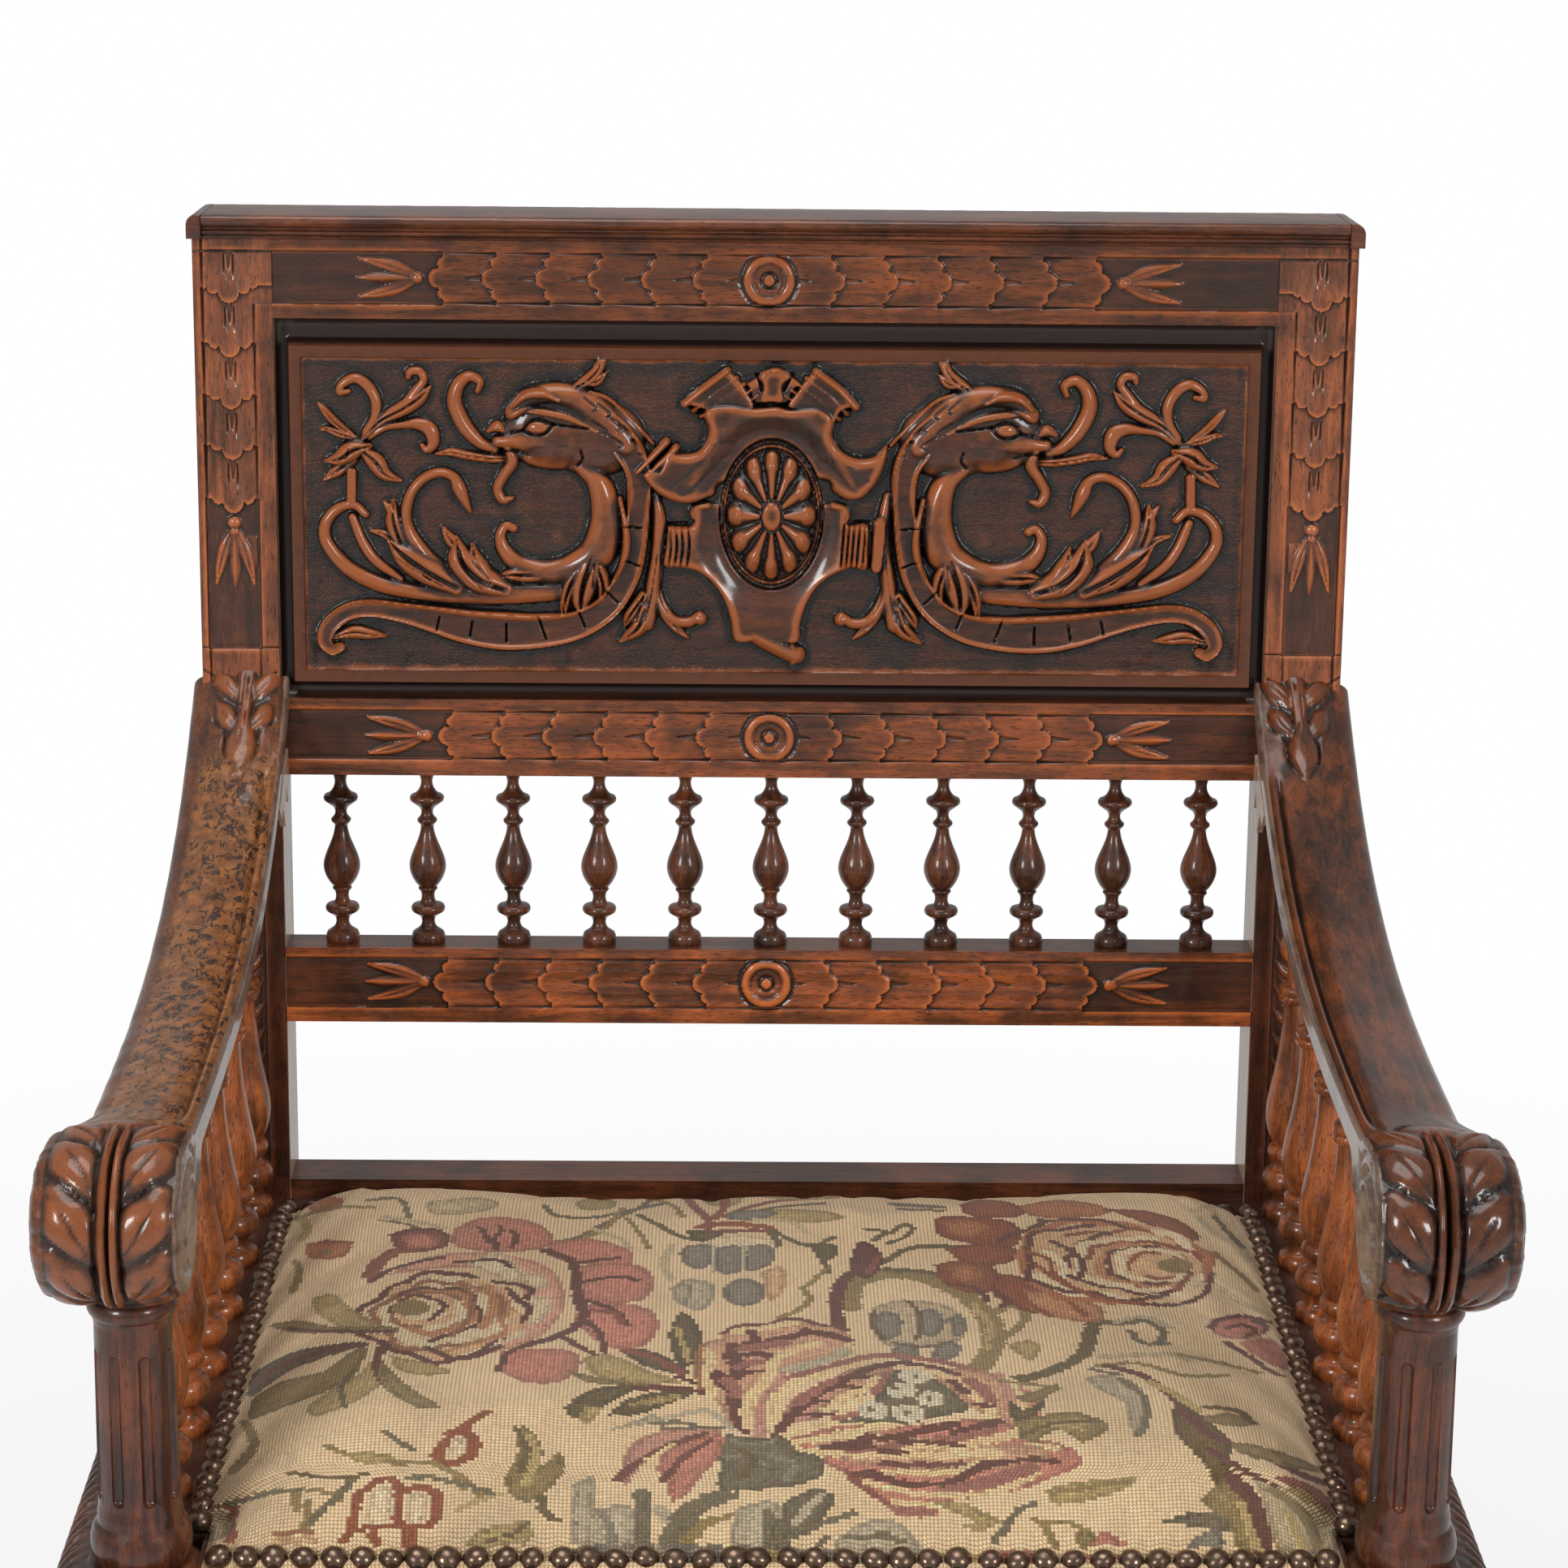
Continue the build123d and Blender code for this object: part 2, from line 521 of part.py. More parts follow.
with BuildPart() as arm_body:
    with BuildSketch(Plane.YZ.offset(ARM_INSIDE)):
        with BuildLine():
            behind = front(-STILE_AT_ARM - 6)
            root = front(-STILE_AT_ARM)
            level = root - ARM_SWEEP
            thirds = (root - ARM_SWEEP / 3, root - 2 * ARM_SWEEP / 3)
            high, low = ARM_LOW_TOP + ARM_RISE, ARM_LOW_TOP - ARM_THICK
            Line((behind, high), (root, high))
            Bezier((root, high), (thirds[0], ARM_LOW_TOP), (thirds[1], ARM_LOW_TOP),
                   (level, ARM_LOW_TOP))
            Line((level, ARM_LOW_TOP), (front(SCROLL_DEPTH), ARM_LOW_TOP))
            Line((front(SCROLL_DEPTH), ARM_LOW_TOP), (front(SCROLL_DEPTH), low))
            Line((front(SCROLL_DEPTH), low), (level, low))
            Bezier((level, low), (thirds[1], low), (thirds[0], low), (root, high - ARM_THICK))
            Line((root, high - ARM_THICK), (behind, high - ARM_THICK))
            Line((behind, high - ARM_THICK), (behind, high))
        make_face()
    extrude(amount=ARM_WIDTH)
    arm_crown = arm_body.edges().filter_by(GeomType.BEZIER).group_by(Axis.Z)[-1]
    fillet(arm_crown, radius=ARM_EDGE_ROUND)
    split(bisect_by=BACK, keep=Keep.TOP)
    with BuildSketch(Plane.YZ.offset(ARM_INSIDE - 0.5)):
        with Locations((front(SCROLL_DEPTH), SCROLL_HEIGHT)):
            Circle(SCROLL_RADIUS)
    extrude(amount=SCROLL_WIDTH)
    with BuildSketch(Plane.YZ.offset(ARM_INSIDE - 0.5 - VOLUTE_RISE)):
        with Locations((front(SCROLL_DEPTH), SCROLL_HEIGHT)):
            Circle(VOLUTE_RADIUS)
    extrude(amount=SCROLL_WIDTH + 2 * VOLUTE_RISE)

with BuildPart() as arm_right:
    add(arm_body.part)
    add(arm_tenon)
    for side_depth in side_baluster_depths():
        socket = upright(ARM_X, front(side_depth), arm_top(side_depth) - ARM_THICK - PIN_LENGTH)
        add(rod(socket, PIN_RADIUS + PIN_PLAY, 2 * PIN_LENGTH), mode=Mode.SUBTRACT)
    add(rod(upright(POST_X, front(POST_DEPTH), LEDGE_TOP), POST_PIN_RADIUS + PIN_PLAY,
            POST_PIN_TOP + PIN_PLAY - LEDGE_TOP), mode=Mode.SUBTRACT)
deliver(arm_right.part, "arm_right")
deliver(mirrored(arm_right.part), "arm_left")

# ---------------------------------------------------------------- front leg
front_turning = turning(POST, FRONT_LEG_RUNS)
seat_block = square_block(POST_X, POST_DEPTH, RAIL_BOTTOM - 8, LEDGE_TOP + 3, True, True)
lower_block = square_block(POST_X, POST_DEPTH, LOWER_BLOCK_LOW, LOWER_BLOCK_HIGH, False, True)
post_pin = rod(upright(POST_X, front(POST_DEPTH), LEDGE_TOP), POST_PIN_RADIUS,
               POST_PIN_TOP - LEDGE_TOP)
with BuildPart() as front_leg:
    add(front_turning)
    add(arm_body.part, mode=Mode.SUBTRACT)
    add(post_pin)
    add(seat_block)
    add(lower_block)
    for flute in range(FLUTES):
        angle = (flute + 0.5) * 360 / FLUTES
        reach = 17.4 + FLUTE_RADIUS - FLUTE_BITE
        x = POST_X + reach * cos(radians(angle))
        y = front(POST_DEPTH) + reach * sin(radians(angle))
        channel = turning(upright(x, y, 0), (
            ((0.01, FLUTE_LOW), (FLUTE_RADIUS * 0.707, FLUTE_LOW + FLUTE_RADIUS * 0.293),
             (FLUTE_RADIUS, FLUTE_LOW + FLUTE_RADIUS)),
            ((FLUTE_RADIUS, FLUTE_LOW + FLUTE_RADIUS), (FLUTE_RADIUS, FLUTE_HIGH - FLUTE_RADIUS)),
            ((FLUTE_RADIUS, FLUTE_HIGH - FLUTE_RADIUS),
             (FLUTE_RADIUS * 0.707, FLUTE_HIGH - FLUTE_RADIUS * 0.293), (0.01, FLUTE_HIGH)),
        ))
        add(channel, mode=Mode.SUBTRACT)
    add(FRONT_TENON, mode=Mode.SUBTRACT)
    add(SIDE_TENON, mode=Mode.SUBTRACT)
    add(STRETCHER_TENON, mode=Mode.SUBTRACT)
    add(rod(upright(POST_X, front(POST_DEPTH), LOWER_BLOCK_LOW), FOOT_PIN_RADIUS + PIN_PLAY,
            FOOT_PIN_LENGTH + PIN_PLAY), mode=Mode.SUBTRACT)
deliver(front_leg.part, "front_leg_right")
deliver(mirrored(front_leg.part), "front_leg_left")

# ---------------------------------------------------------------- rear legs, which run up as stiles
REAR_KNEE = SEAT_LINE - STILE_THICK * tan(radians(RAKE / 2))


def leaning_point(height, set_back):
    """Y and Z of a point up the leaning face and set back from it."""
    point = BACK.from_local_coords((0, height, -set_back))
    return point.Y, point.Z


with BuildPart() as rear_stile:
    with BuildSketch(Plane.YZ.offset(BACK_INSIDE / 2)):
        with BuildLine():
            Polyline(
                (BACK_Y, 0),
                (BACK_Y + STILE_THICK, 0),
                (BACK_Y + STILE_THICK, REAR_KNEE),
                leaning_point(STILE_TOP, STILE_THICK),
                leaning_point(STILE_TOP, 0),
                (BACK_Y, SEAT_LINE),
                close=True,
            )
        make_face()
    extrude(amount=STILE_WIDTH)
    for rail_tenon in TENONS.values():
        add(rail_tenon, mode=Mode.SUBTRACT)
    add(PANEL_GROOVE, mode=Mode.SUBTRACT)
    add(BACK_SEAT_TENON, mode=Mode.SUBTRACT)
    add(PEG_HOLES, mode=Mode.SUBTRACT)
    add(UPRIGHT_PEG_HOLES, mode=Mode.SUBTRACT)
    add(arm_tenon, mode=Mode.SUBTRACT)
    add(SIDE_TENON, mode=Mode.SUBTRACT)
    add(STRETCHER_TENON, mode=Mode.SUBTRACT)
deliver(rear_stile.part, "rear_stile_right")
deliver(mirrored(rear_stile.part), "rear_stile_left")


# ---------------------------------------------------------------- nail places
def spread(low, high, count):
    """Evenly spaced values from low to high."""
    return [low + index * (high - low) / (count - 1) for index in range(count)]


def nail_places(row):
    """X and Y of each nail in one row: front, back, left or right."""
    if row == "front":
        return [(x, front(NAIL_FRONT))
                for x in spread(-NAIL_FRONT_LAST, NAIL_FRONT_LAST, NAILS_FRONT)]
    if row == "back":
        return [(x, front(NAIL_BACK)) for x in spread(-NAIL_SIDE, NAIL_SIDE, NAILS_BACK + 2)[1:-1]]
    side = NAIL_SIDE if row == "right" else -NAIL_SIDE
    return [(side, front(depth)) for depth in spread(NAIL_BACK, NAIL_SIDE_LAST, NAILS_SIDE)]


HEM_TOP = LEDGE_TOP + HEM_THICK


def nail_holes(*rows):
    """Pilot holes for rows of nails, from the top of the hem down into the wood."""
    with BuildPart() as holes:
        with BuildSketch(Plane.XY.offset(HEM_TOP)):
            with Locations(*[place for row in rows for place in nail_places(row)]):
                Circle(NAIL_SHANK_RADIUS + NAIL_PLAY)
        extrude(amount=-NAIL_SHANK_LENGTH - NAIL_PLAY)
    return holes.part


# ---------------------------------------------------------------- boards round the seat
with BuildPart() as seat_ledge:
    add(slab(LEDGE_INSIDE, LEG_OUTSIDE, 0, BLOCK_BACK_DEPTH, LEDGE_BOTTOM, LEDGE_TOP))
    add(nail_holes("right"), mode=Mode.SUBTRACT)
    for side_depth in side_baluster_depths():
        add(rod(upright(ARM_X, front(side_depth), LEDGE_TOP - PIN_LENGTH - PIN_PLAY),
                PIN_RADIUS + PIN_PLAY, PIN_LENGTH + PIN_PLAY), mode=Mode.SUBTRACT)
deliver(seat_ledge.part, "right_seat_ledge")
deliver(mirrored(seat_ledge.part), "left_seat_ledge")

with BuildPart() as back_seat_ledge:
    add(slab(-LEDGE_INSIDE, LEDGE_INSIDE, 0, BACK_LEDGE_WIDTH, LEDGE_BOTTOM, LEDGE_TOP))
    add(nail_holes("back"), mode=Mode.SUBTRACT)
deliver(back_seat_ledge.part, "back_seat_ledge")

deliver(slab(-BLOCK_INSIDE, BLOCK_INSIDE, BLOCK_BACK_DEPTH, FRONT_RAIL_BACK,
             LEDGE_BOTTOM, LEDGE_TOP), "front_seat_ledge")

# ---------------------------------------------------------------- seat rails
with BuildPart() as front_rail:
    add(slab(-BLOCK_INSIDE, BLOCK_INSIDE, FRONT_RAIL_BACK, FRONT_DEPTH, RAIL_BOTTOM, LEDGE_TOP))
    add(FRONT_TENON)
    add(nail_holes("front"), mode=Mode.SUBTRACT)
deliver(front_rail.part, "front_seat_rail")

with BuildPart() as side_rail:
    add(slab(SIDE_RAIL_X - RAIL_THICK / 2, SIDE_RAIL_X + RAIL_THICK / 2, 0, BLOCK_BACK_DEPTH,
             RAIL_BOTTOM, LEDGE_BOTTOM))
    add(SIDE_TENON)
deliver(side_rail.part, "right_seat_rail")
deliver(mirrored(side_rail.part), "left_seat_rail")

# ---------------------------------------------------------------- carved edge mouldings
MITRE = Plane(origin=(LEG_OUTSIDE, front(FRONT_DEPTH), 0), z_dir=(1, 1, 0))
LEFT_MITRE = Plane(origin=(-LEG_OUTSIDE, front(FRONT_DEPTH), 0), z_dir=(-1, 1, 0))


def moulding(place, length):
    """A round-nosed moulding that stands out along a plane's X and runs along its normal."""
    with BuildPart() as strip:
        with BuildSketch(place):
            with BuildLine():
                Line((0, -MOULD_HEIGHT), (0, 0))
                Line((0, 0), (MOULD_REACH * 0.6, 0))
                ThreePointArc((MOULD_REACH * 0.6, 0), (MOULD_REACH * 0.93, -MOULD_HEIGHT * 0.16),
                              (MOULD_REACH, -MOULD_HEIGHT * 0.45))
                ThreePointArc((MOULD_REACH, -MOULD_HEIGHT * 0.45),
                              (MOULD_REACH * 0.8, -MOULD_HEIGHT * 0.8),
                              (MOULD_REACH * 0.3, -MOULD_HEIGHT))
                Line((MOULD_REACH * 0.3, -MOULD_HEIGHT), (0, -MOULD_HEIGHT))
            make_face()
        extrude(amount=length)
    return strip.part


with BuildPart() as side_moulding:
    add(moulding(Plane(origin=(LEG_OUTSIDE, front(0), LEDGE_TOP), x_dir=(1, 0, 0),
                       z_dir=(0, -1, 0)), FRONT_DEPTH + MOULD_REACH))
    split(bisect_by=MITRE, keep=Keep.TOP)
deliver(side_moulding.part, "right_seat_moulding")
deliver(mirrored(side_moulding.part), "left_seat_moulding")

with BuildPart() as front_moulding:
    add(moulding(Plane(origin=(LEG_OUTSIDE + MOULD_REACH, front(FRONT_DEPTH), LEDGE_TOP),
                       x_dir=(0, -1, 0), z_dir=(-1, 0, 0)), 2 * (LEG_OUTSIDE + MOULD_REACH)))
    split(bisect_by=MITRE, keep=Keep.BOTTOM)
    split(bisect_by=LEFT_MITRE, keep=Keep.BOTTOM)
deliver(front_moulding.part, "front_seat_moulding")

# ---------------------------------------------------------------- balusters under the arms
SIDE_BALUSTER_RUNS = (
    ((12.3, 0), (12.8, 3.2), (11.8, 6.5)),
    ((11.8, 6.5), (10.2, 7.4)),
    ((10.2, 7.4), (7.6, 11.0), (9.2, 15.0)),
    ((9.2, 15.0), (SIDE_BALUSTER_WIDEST, 21.5), (10.6, 27.4)),
    ((10.6, 27.4), (9.4, 27.8)),
    ((9.4, 27.8), (7.3, 30.6), (8.2, 33.2)),
    ((8.2, 33.2), (11.1, 37.2), (9.6, 40.6)),
    ((9.6, 40.6), (8.2, 41.2)),
    ((8.2, 41.2), (11.6, 49.0), (13.1, 59.5), (11.6, 72.0), (9.2, 85.0), (7.3, 100.0),
     (6.3, 121.0)),
    ((6.3, 121.0), (8.2, 121.6)),
    ((8.2, 121.6), (9.1, 123.8), (8.2, 126.0)),
    ((8.2, 126.0), (9.1, 128.2), (8.2, 130.4)),
    ((8.2, 130.4), (5.5, 131.4)),
    ((5.5, 131.4), (5.0, 137.5), (5.9, 144.0)),
    ((5.9, 144.0), (7.6, 145.0)),
    ((7.6, 145.0), (9.6, 152.0), (7.0, 158.4)),
    ((7.0, 158.4), (5.2, 159.6)),
)
SIDE_SPINDLE_LOW = 159.6
SIDE_SPINDLE_TOP = 5.6     # radius where a baluster meets the arm
COPE_REACH = 20.0


def side_baluster(depth):
    """A baluster that stands on the seat's ledge and is coped to the underside of the arm."""
    height = arm_top(depth) - ARM_THICK - LEDGE_TOP
    spare = height - SIDE_SPINDLE_LOW
    swell = SIDE_BALUSTER_BELLY * min(1.0, spare / 40.0)
    foot = upright(ARM_X, front(depth), LEDGE_TOP)
    spindle = (
        ((5.2, SIDE_SPINDLE_LOW), (5.4 + swell, SIDE_SPINDLE_LOW + spare / 2),
         (SIDE_SPINDLE_TOP, height)),
        ((SIDE_SPINDLE_TOP, height), (SIDE_SPINDLE_TOP, height + COPE_REACH)),
    )
    turned = turning(foot, SIDE_BALUSTER_RUNS + spindle)
    with BuildPart() as baluster:
        add(turned)
        add(arm_body.part, mode=Mode.SUBTRACT)
        add(rod(upright(ARM_X, front(depth), LEDGE_TOP - PIN_LENGTH), PIN_RADIUS,
                height + 2 * PIN_LENGTH - PIN_PLAY))
    return baluster.part


for index, side_depth in enumerate(side_baluster_depths(), start=1):
    right_baluster = side_baluster(side_depth)
    deliver(right_baluster, f"side_baluster_right_{index}")
    deliver(mirrored(right_baluster), f"side_baluster_left_{index}")

# ---------------------------------------------------------------- stretchers and feet
STRETCHER_MIDDLE = (STRETCHER_LOW + STRETCHER_HIGH) / 2
STRETCHER_INSIDE = STRETCHER_X - STRETCHER_THICK / 2
CROSS_REACH = STRETCHER_INSIDE + CROSS_PIN_LENGTH
cross_pin = rod(Plane(origin=(-CROSS_REACH, front(CROSS_DEPTH), STRETCHER_MIDDLE),
                      x_dir=(0, 0, 1), z_dir=(0, 1, 0)),
                CROSS_PIN_RADIUS, 2 * CROSS_REACH)

with BuildPart() as side_stretcher:
    add(slab(STRETCHER_X - STRETCHER_THICK / 2, STRETCHER_X + STRETCHER_THICK / 2,
             0, BLOCK_BACK_DEPTH, STRETCHER_LOW, STRETCHER_HIGH))
    chamfer(side_stretcher.edges().filter_by(Axis.Y).group_by(Axis.Z)[-1], length=5.0)
    add(STRETCHER_TENON)
    add(cross_pin, mode=Mode.SUBTRACT)
deliver(side_stretcher.part, "side_stretcher_right")
deliver(mirrored(side_stretcher.part), "side_stretcher_left")

HALF_CROSS_RUNS = (
    ((10.0, 0), (10.0, 6.0)),
    ((10.0, 6.0), (13.0, 8.5)),
    ((13.0, 8.5), (15.0, 13.0), (13.0, 17.5)),
    ((13.0, 17.5), (9.0, 20.0)),
    ((9.0, 20.0), (8.4, 29.0), (10.0, 38.0)),
    ((10.0, 38.0), (15.0, 58.0), (17.0, 84.0), (13.5, 140.0), (10.0, 200.0), (9.0, 236.0)),
    ((9.0, 236.0), (13.0, 239.0)),
    ((13.0, 239.0), (15.0, 243.0), (13.0, 247.0)),
    ((13.0, 247.0), (10.0, 250.0)),
    ((10.0, 250.0), (10.0, STRETCHER_INSIDE)),
)
FAR_CROSS_RUNS = tuple(
    tuple((radius, 2 * STRETCHER_INSIDE - height) for radius, height in reversed(run))
    for run in reversed(HALF_CROSS_RUNS)
)
cross_turning = turning(
    Plane(origin=(-STRETCHER_INSIDE, front(CROSS_DEPTH), STRETCHER_MIDDLE),
          x_dir=(0, 0, 1), z_dir=(0, 1, 0)),
    HALF_CROSS_RUNS + FAR_CROSS_RUNS,
)
with BuildPart() as cross_stretcher:
    add(cross_turning)
    add(cross_pin)
deliver(cross_stretcher.part, "cross_stretcher")

FOOT_RUNS = (
    ((19.0, 0), (23.0, 1.2)),
    ((23.0, 1.2), (28.7, 9.8), (30.5, 21.0), (28.7, 32.8), (23.0, 42.0)),
    ((23.0, 42.0), (17.0, 46.0)),
    ((17.0, 46.0), (17.0, LOWER_BLOCK_LOW)),
)
for side_name, side in (("left", -1), ("right", 1)):
    under_post = upright(side * POST_X, front(POST_DEPTH), 0)
    with BuildPart() as front_foot:
        add(turning(under_post, FOOT_RUNS))
        add(rod(under_post, FOOT_PIN_RADIUS, LOWER_BLOCK_LOW + FOOT_PIN_LENGTH))
    deliver(front_foot.part, f"front_foot_{side_name}")

# ---------------------------------------------------------------- corner blocks inside the seat
CORNER_BLOCK_TOP = LEDGE_BOTTOM - 13.0
RAIL_INSIDE = LEG_OUTSIDE - RAIL_THICK
with BuildPart() as corner_blocks:
    with BuildSketch(Plane.XY.offset(CORNER_BLOCK_TOP)) as corner_outline:
        for side in (1, -1):
            rail, leg, inner = side * RAIL_INSIDE, side * BLOCK_INSIDE, RAIL_INSIDE - CORNER_BLOCK
            with BuildLine():
                Polyline((rail, front(0)), (rail, front(CORNER_BLOCK)),
                         (side * inner, front(0)), close=True)
            make_face()
            with BuildLine():
                Polyline((leg, front(FRONT_RAIL_BACK)), (side * inner, front(FRONT_RAIL_BACK)),
                         (rail, front(FRONT_RAIL_BACK - CORNER_BLOCK)),
                         (rail, front(BLOCK_BACK_DEPTH)), (leg, front(BLOCK_BACK_DEPTH)), close=True)
            make_face()
    extrude(amount=-CORNER_BLOCK_HEIGHT)
deliver(corner_blocks.part, "corner_blocks")

# ---------------------------------------------------------------- upholstery
WEB_REACH_X = LEDGE_INSIDE + WEB_HOLD
with BuildPart() as seat_webbing:
    across = spread(BACK_LEDGE_WIDTH + WEB_WIDTH, BLOCK_BACK_DEPTH - WEB_WIDTH, WEBS_ACROSS)
    along = spread(-LEDGE_INSIDE + WEB_WIDTH, LEDGE_INSIDE - WEB_WIDTH, WEBS_ALONG)
    for depth in across:
        add(slab(-WEB_REACH_X, WEB_REACH_X, depth - WEB_WIDTH / 2, depth + WEB_WIDTH / 2,
                 LEDGE_BOTTOM - WEB_THICK, LEDGE_BOTTOM))
    for x in along:
        add(slab(x - WEB_WIDTH / 2, x + WEB_WIDTH / 2, BACK_LEDGE_WIDTH - WEB_HOLD,
                 BLOCK_BACK_DEPTH + WEB_HOLD, LEDGE_BOTTOM - 2 * WEB_THICK,
                 LEDGE_BOTTOM - WEB_THICK))
deliver(seat_webbing.part, "seat_webbing")

deliver(slab(-LEDGE_INSIDE + COVER_PLAY, LEDGE_INSIDE - COVER_PLAY, BACK_LEDGE_WIDTH + COVER_PLAY,
             BLOCK_BACK_DEPTH - COVER_PLAY, LEDGE_BOTTOM, LEDGE_BOTTOM + HESSIAN_THICK), "seat_hessian")

# (inset from the edge, corner radius, height above the ledge) of the domed seat
DOME = (
    (0.0, 8.0, 0.0),
    (6.0, 18.0, 11.0),
    (26.0, 40.0, 25.0),
    (70.0, 70.0, 34.0),
    (120.0, 60.0, 38.0),
)


def seat_dome(inset):
    """The domed seat above the ledge, shrunk by an even inset for what lies under the cover."""
    with BuildPart() as dome:
        for margin, corner, height in DOME:
            level = LEDGE_TOP + max(0.0, height - inset)
            length = CUSHION_WIDTH - 2 * (margin + inset)
            breadth = CUSHION_FRONT - CUSHION_BACK - 2 * (margin + inset)
            with BuildSketch(Plane.XY.offset(level)):
                with Locations((0, front((CUSHION_FRONT + CUSHION_BACK) / 2))):
                    RectangleRounded(length, breadth, min(corner, breadth / 2 - 2.0))
        loft()
    return dome.part


with BuildPart() as seat_stuffing:
    add(slab(-LEDGE_INSIDE + COVER_PLAY, LEDGE_INSIDE - COVER_PLAY, BACK_LEDGE_WIDTH + COVER_PLAY,
             BLOCK_BACK_DEPTH - COVER_PLAY, LEDGE_BOTTOM + HESSIAN_THICK, LEDGE_TOP))
    add(seat_dome(COVER_THICK + COVER_PLAY))
deliver(seat_stuffing.part, "seat_stuffing")

outer_dome = seat_dome(0)
under_dome = seat_dome(COVER_THICK)
cover_holes = nail_holes("front", "back", "left", "right")
with BuildPart() as seat_cover:
    with BuildSketch(Plane.XY.offset(LEDGE_TOP)):
        with Locations((0, front((FLANGE_BACK + FLANGE_FRONT) / 2))):
            Rectangle(2 * FLANGE_HALF, FLANGE_FRONT - FLANGE_BACK)
        notch_inside = BLOCK_INSIDE - COVER_PLAY
        notch_width = FLANGE_HALF - notch_inside
        notch_length = FLANGE_FRONT - BLOCK_BACK_DEPTH + COVER_PLAY
        notch_x = notch_inside + notch_width / 2
        notch_y = front(FLANGE_FRONT - notch_length / 2)
        with Locations((notch_x, notch_y), (-notch_x, notch_y)):
            Rectangle(notch_width, notch_length, mode=Mode.SUBTRACT)
    extrude(amount=HEM_THICK)
    add(outer_dome)
    add(under_dome, mode=Mode.SUBTRACT)
    add(cover_holes, mode=Mode.SUBTRACT)
deliver(seat_cover.part, "seat_cover")

# ---------------------------------------------------------------- domed nails
NAIL_RUNS = (
    ((NAIL_SHANK_RADIUS, -NAIL_SHANK_LENGTH), (NAIL_SHANK_RADIUS, 0)),
    ((NAIL_SHANK_RADIUS, 0), (NAIL_HEAD_RADIUS, 0)),
    ((NAIL_HEAD_RADIUS, 0), (NAIL_HEAD_RADIUS * 0.72, NAIL_HEAD_RISE * 0.66),
     (NAIL_HEAD_RADIUS * 0.1, NAIL_HEAD_RISE)),
)
nail = turning(upright(0, 0, 0), NAIL_RUNS)
every_nail = [(x, y, HEM_TOP) for row in ("front", "back", "left", "right")
              for x, y in nail_places(row)]
with BuildPart() as seat_nails:
    with Locations(*every_nail):
        add(nail)
deliver(seat_nails.part, "seat_nails")
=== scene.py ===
# %% [markdown]
# # A carved walnut armchair
# The chair's joinery comes ready made as a frame of exact solids. This lesson dresses that frame:
# carving on the boards, turned and gadrooned work, hand-worn arms, and a nailed needlepoint seat.
# Everything is in metres and in the frame's own coordinates, so a piece goes where the joiner put it.

# %% Load the frame
import math

import bmesh
import bpy
import numpy as np
from mathutils import Matrix, Vector


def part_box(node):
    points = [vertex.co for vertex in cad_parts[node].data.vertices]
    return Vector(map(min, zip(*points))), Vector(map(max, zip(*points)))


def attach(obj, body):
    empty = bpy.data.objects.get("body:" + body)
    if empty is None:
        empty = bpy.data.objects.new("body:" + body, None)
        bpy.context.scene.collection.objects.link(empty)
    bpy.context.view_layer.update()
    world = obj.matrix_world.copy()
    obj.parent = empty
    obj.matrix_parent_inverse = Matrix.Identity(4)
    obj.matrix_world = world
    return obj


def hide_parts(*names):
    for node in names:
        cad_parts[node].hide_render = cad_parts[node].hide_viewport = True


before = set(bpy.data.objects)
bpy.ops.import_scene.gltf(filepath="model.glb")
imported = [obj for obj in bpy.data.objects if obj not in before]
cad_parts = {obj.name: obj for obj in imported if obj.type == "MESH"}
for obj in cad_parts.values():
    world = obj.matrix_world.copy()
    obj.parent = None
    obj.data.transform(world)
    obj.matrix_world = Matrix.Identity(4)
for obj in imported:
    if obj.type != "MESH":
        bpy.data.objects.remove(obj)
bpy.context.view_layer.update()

# %% [markdown]
# ## Where things are
# A carver measures in millimetres from the edges of a board. The back leans, so its boards get
# coordinates of their own: x across, v up the leaning face, and out of the face towards the sitter.

# %% Sizes of the back
MM = 0.001
RAKE = math.radians(2.865)
SKIN_BACK, HAND_UNEVEN = -0.5, 0.35
SEAT_LINE = 440.0
BACK_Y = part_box("rear_stile_left")[0].y / MM
HALF_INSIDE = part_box("rear_stile_right")[0].x / MM
LEDGE_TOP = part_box("left_seat_ledge")[1].z / MM


def on_back(x, v, out):
    """Points of the leaning back, from millimetres across, up and out of its face, in metres."""
    y = BACK_Y + v * math.sin(RAKE) - out * math.cos(RAKE)
    z = SEAT_LINE + v * math.cos(RAKE) + out * math.sin(RAKE)
    return np.stack(np.broadcast_arrays(x, y, z), -1).reshape(-1, 3) * MM


print("back face at y", round(BACK_Y, 2), "and", HALF_INSIDE, "mm clear each side of the middle")

# %% [markdown]
# ## Helpers for carving
# Low relief is a field of heights over a flat board: every stem, leaf and groove either raises the
# field or cuts into it. Sculpting by hand would give the same forms, but a list of strokes can be
# measured, mirrored and changed. A stroke is a smooth path whose width and height change along it.

# %% Smooth paths
def smooth(t):
    """An even rise from 0 to 1."""
    t = np.clip(t, 0.0, 1.0)
    return t * t * (3 - 2 * t)


def hump(x, wide):
    """A soft hump of height 1 where x is 0."""
    return np.exp(-(x / wide) ** 2)


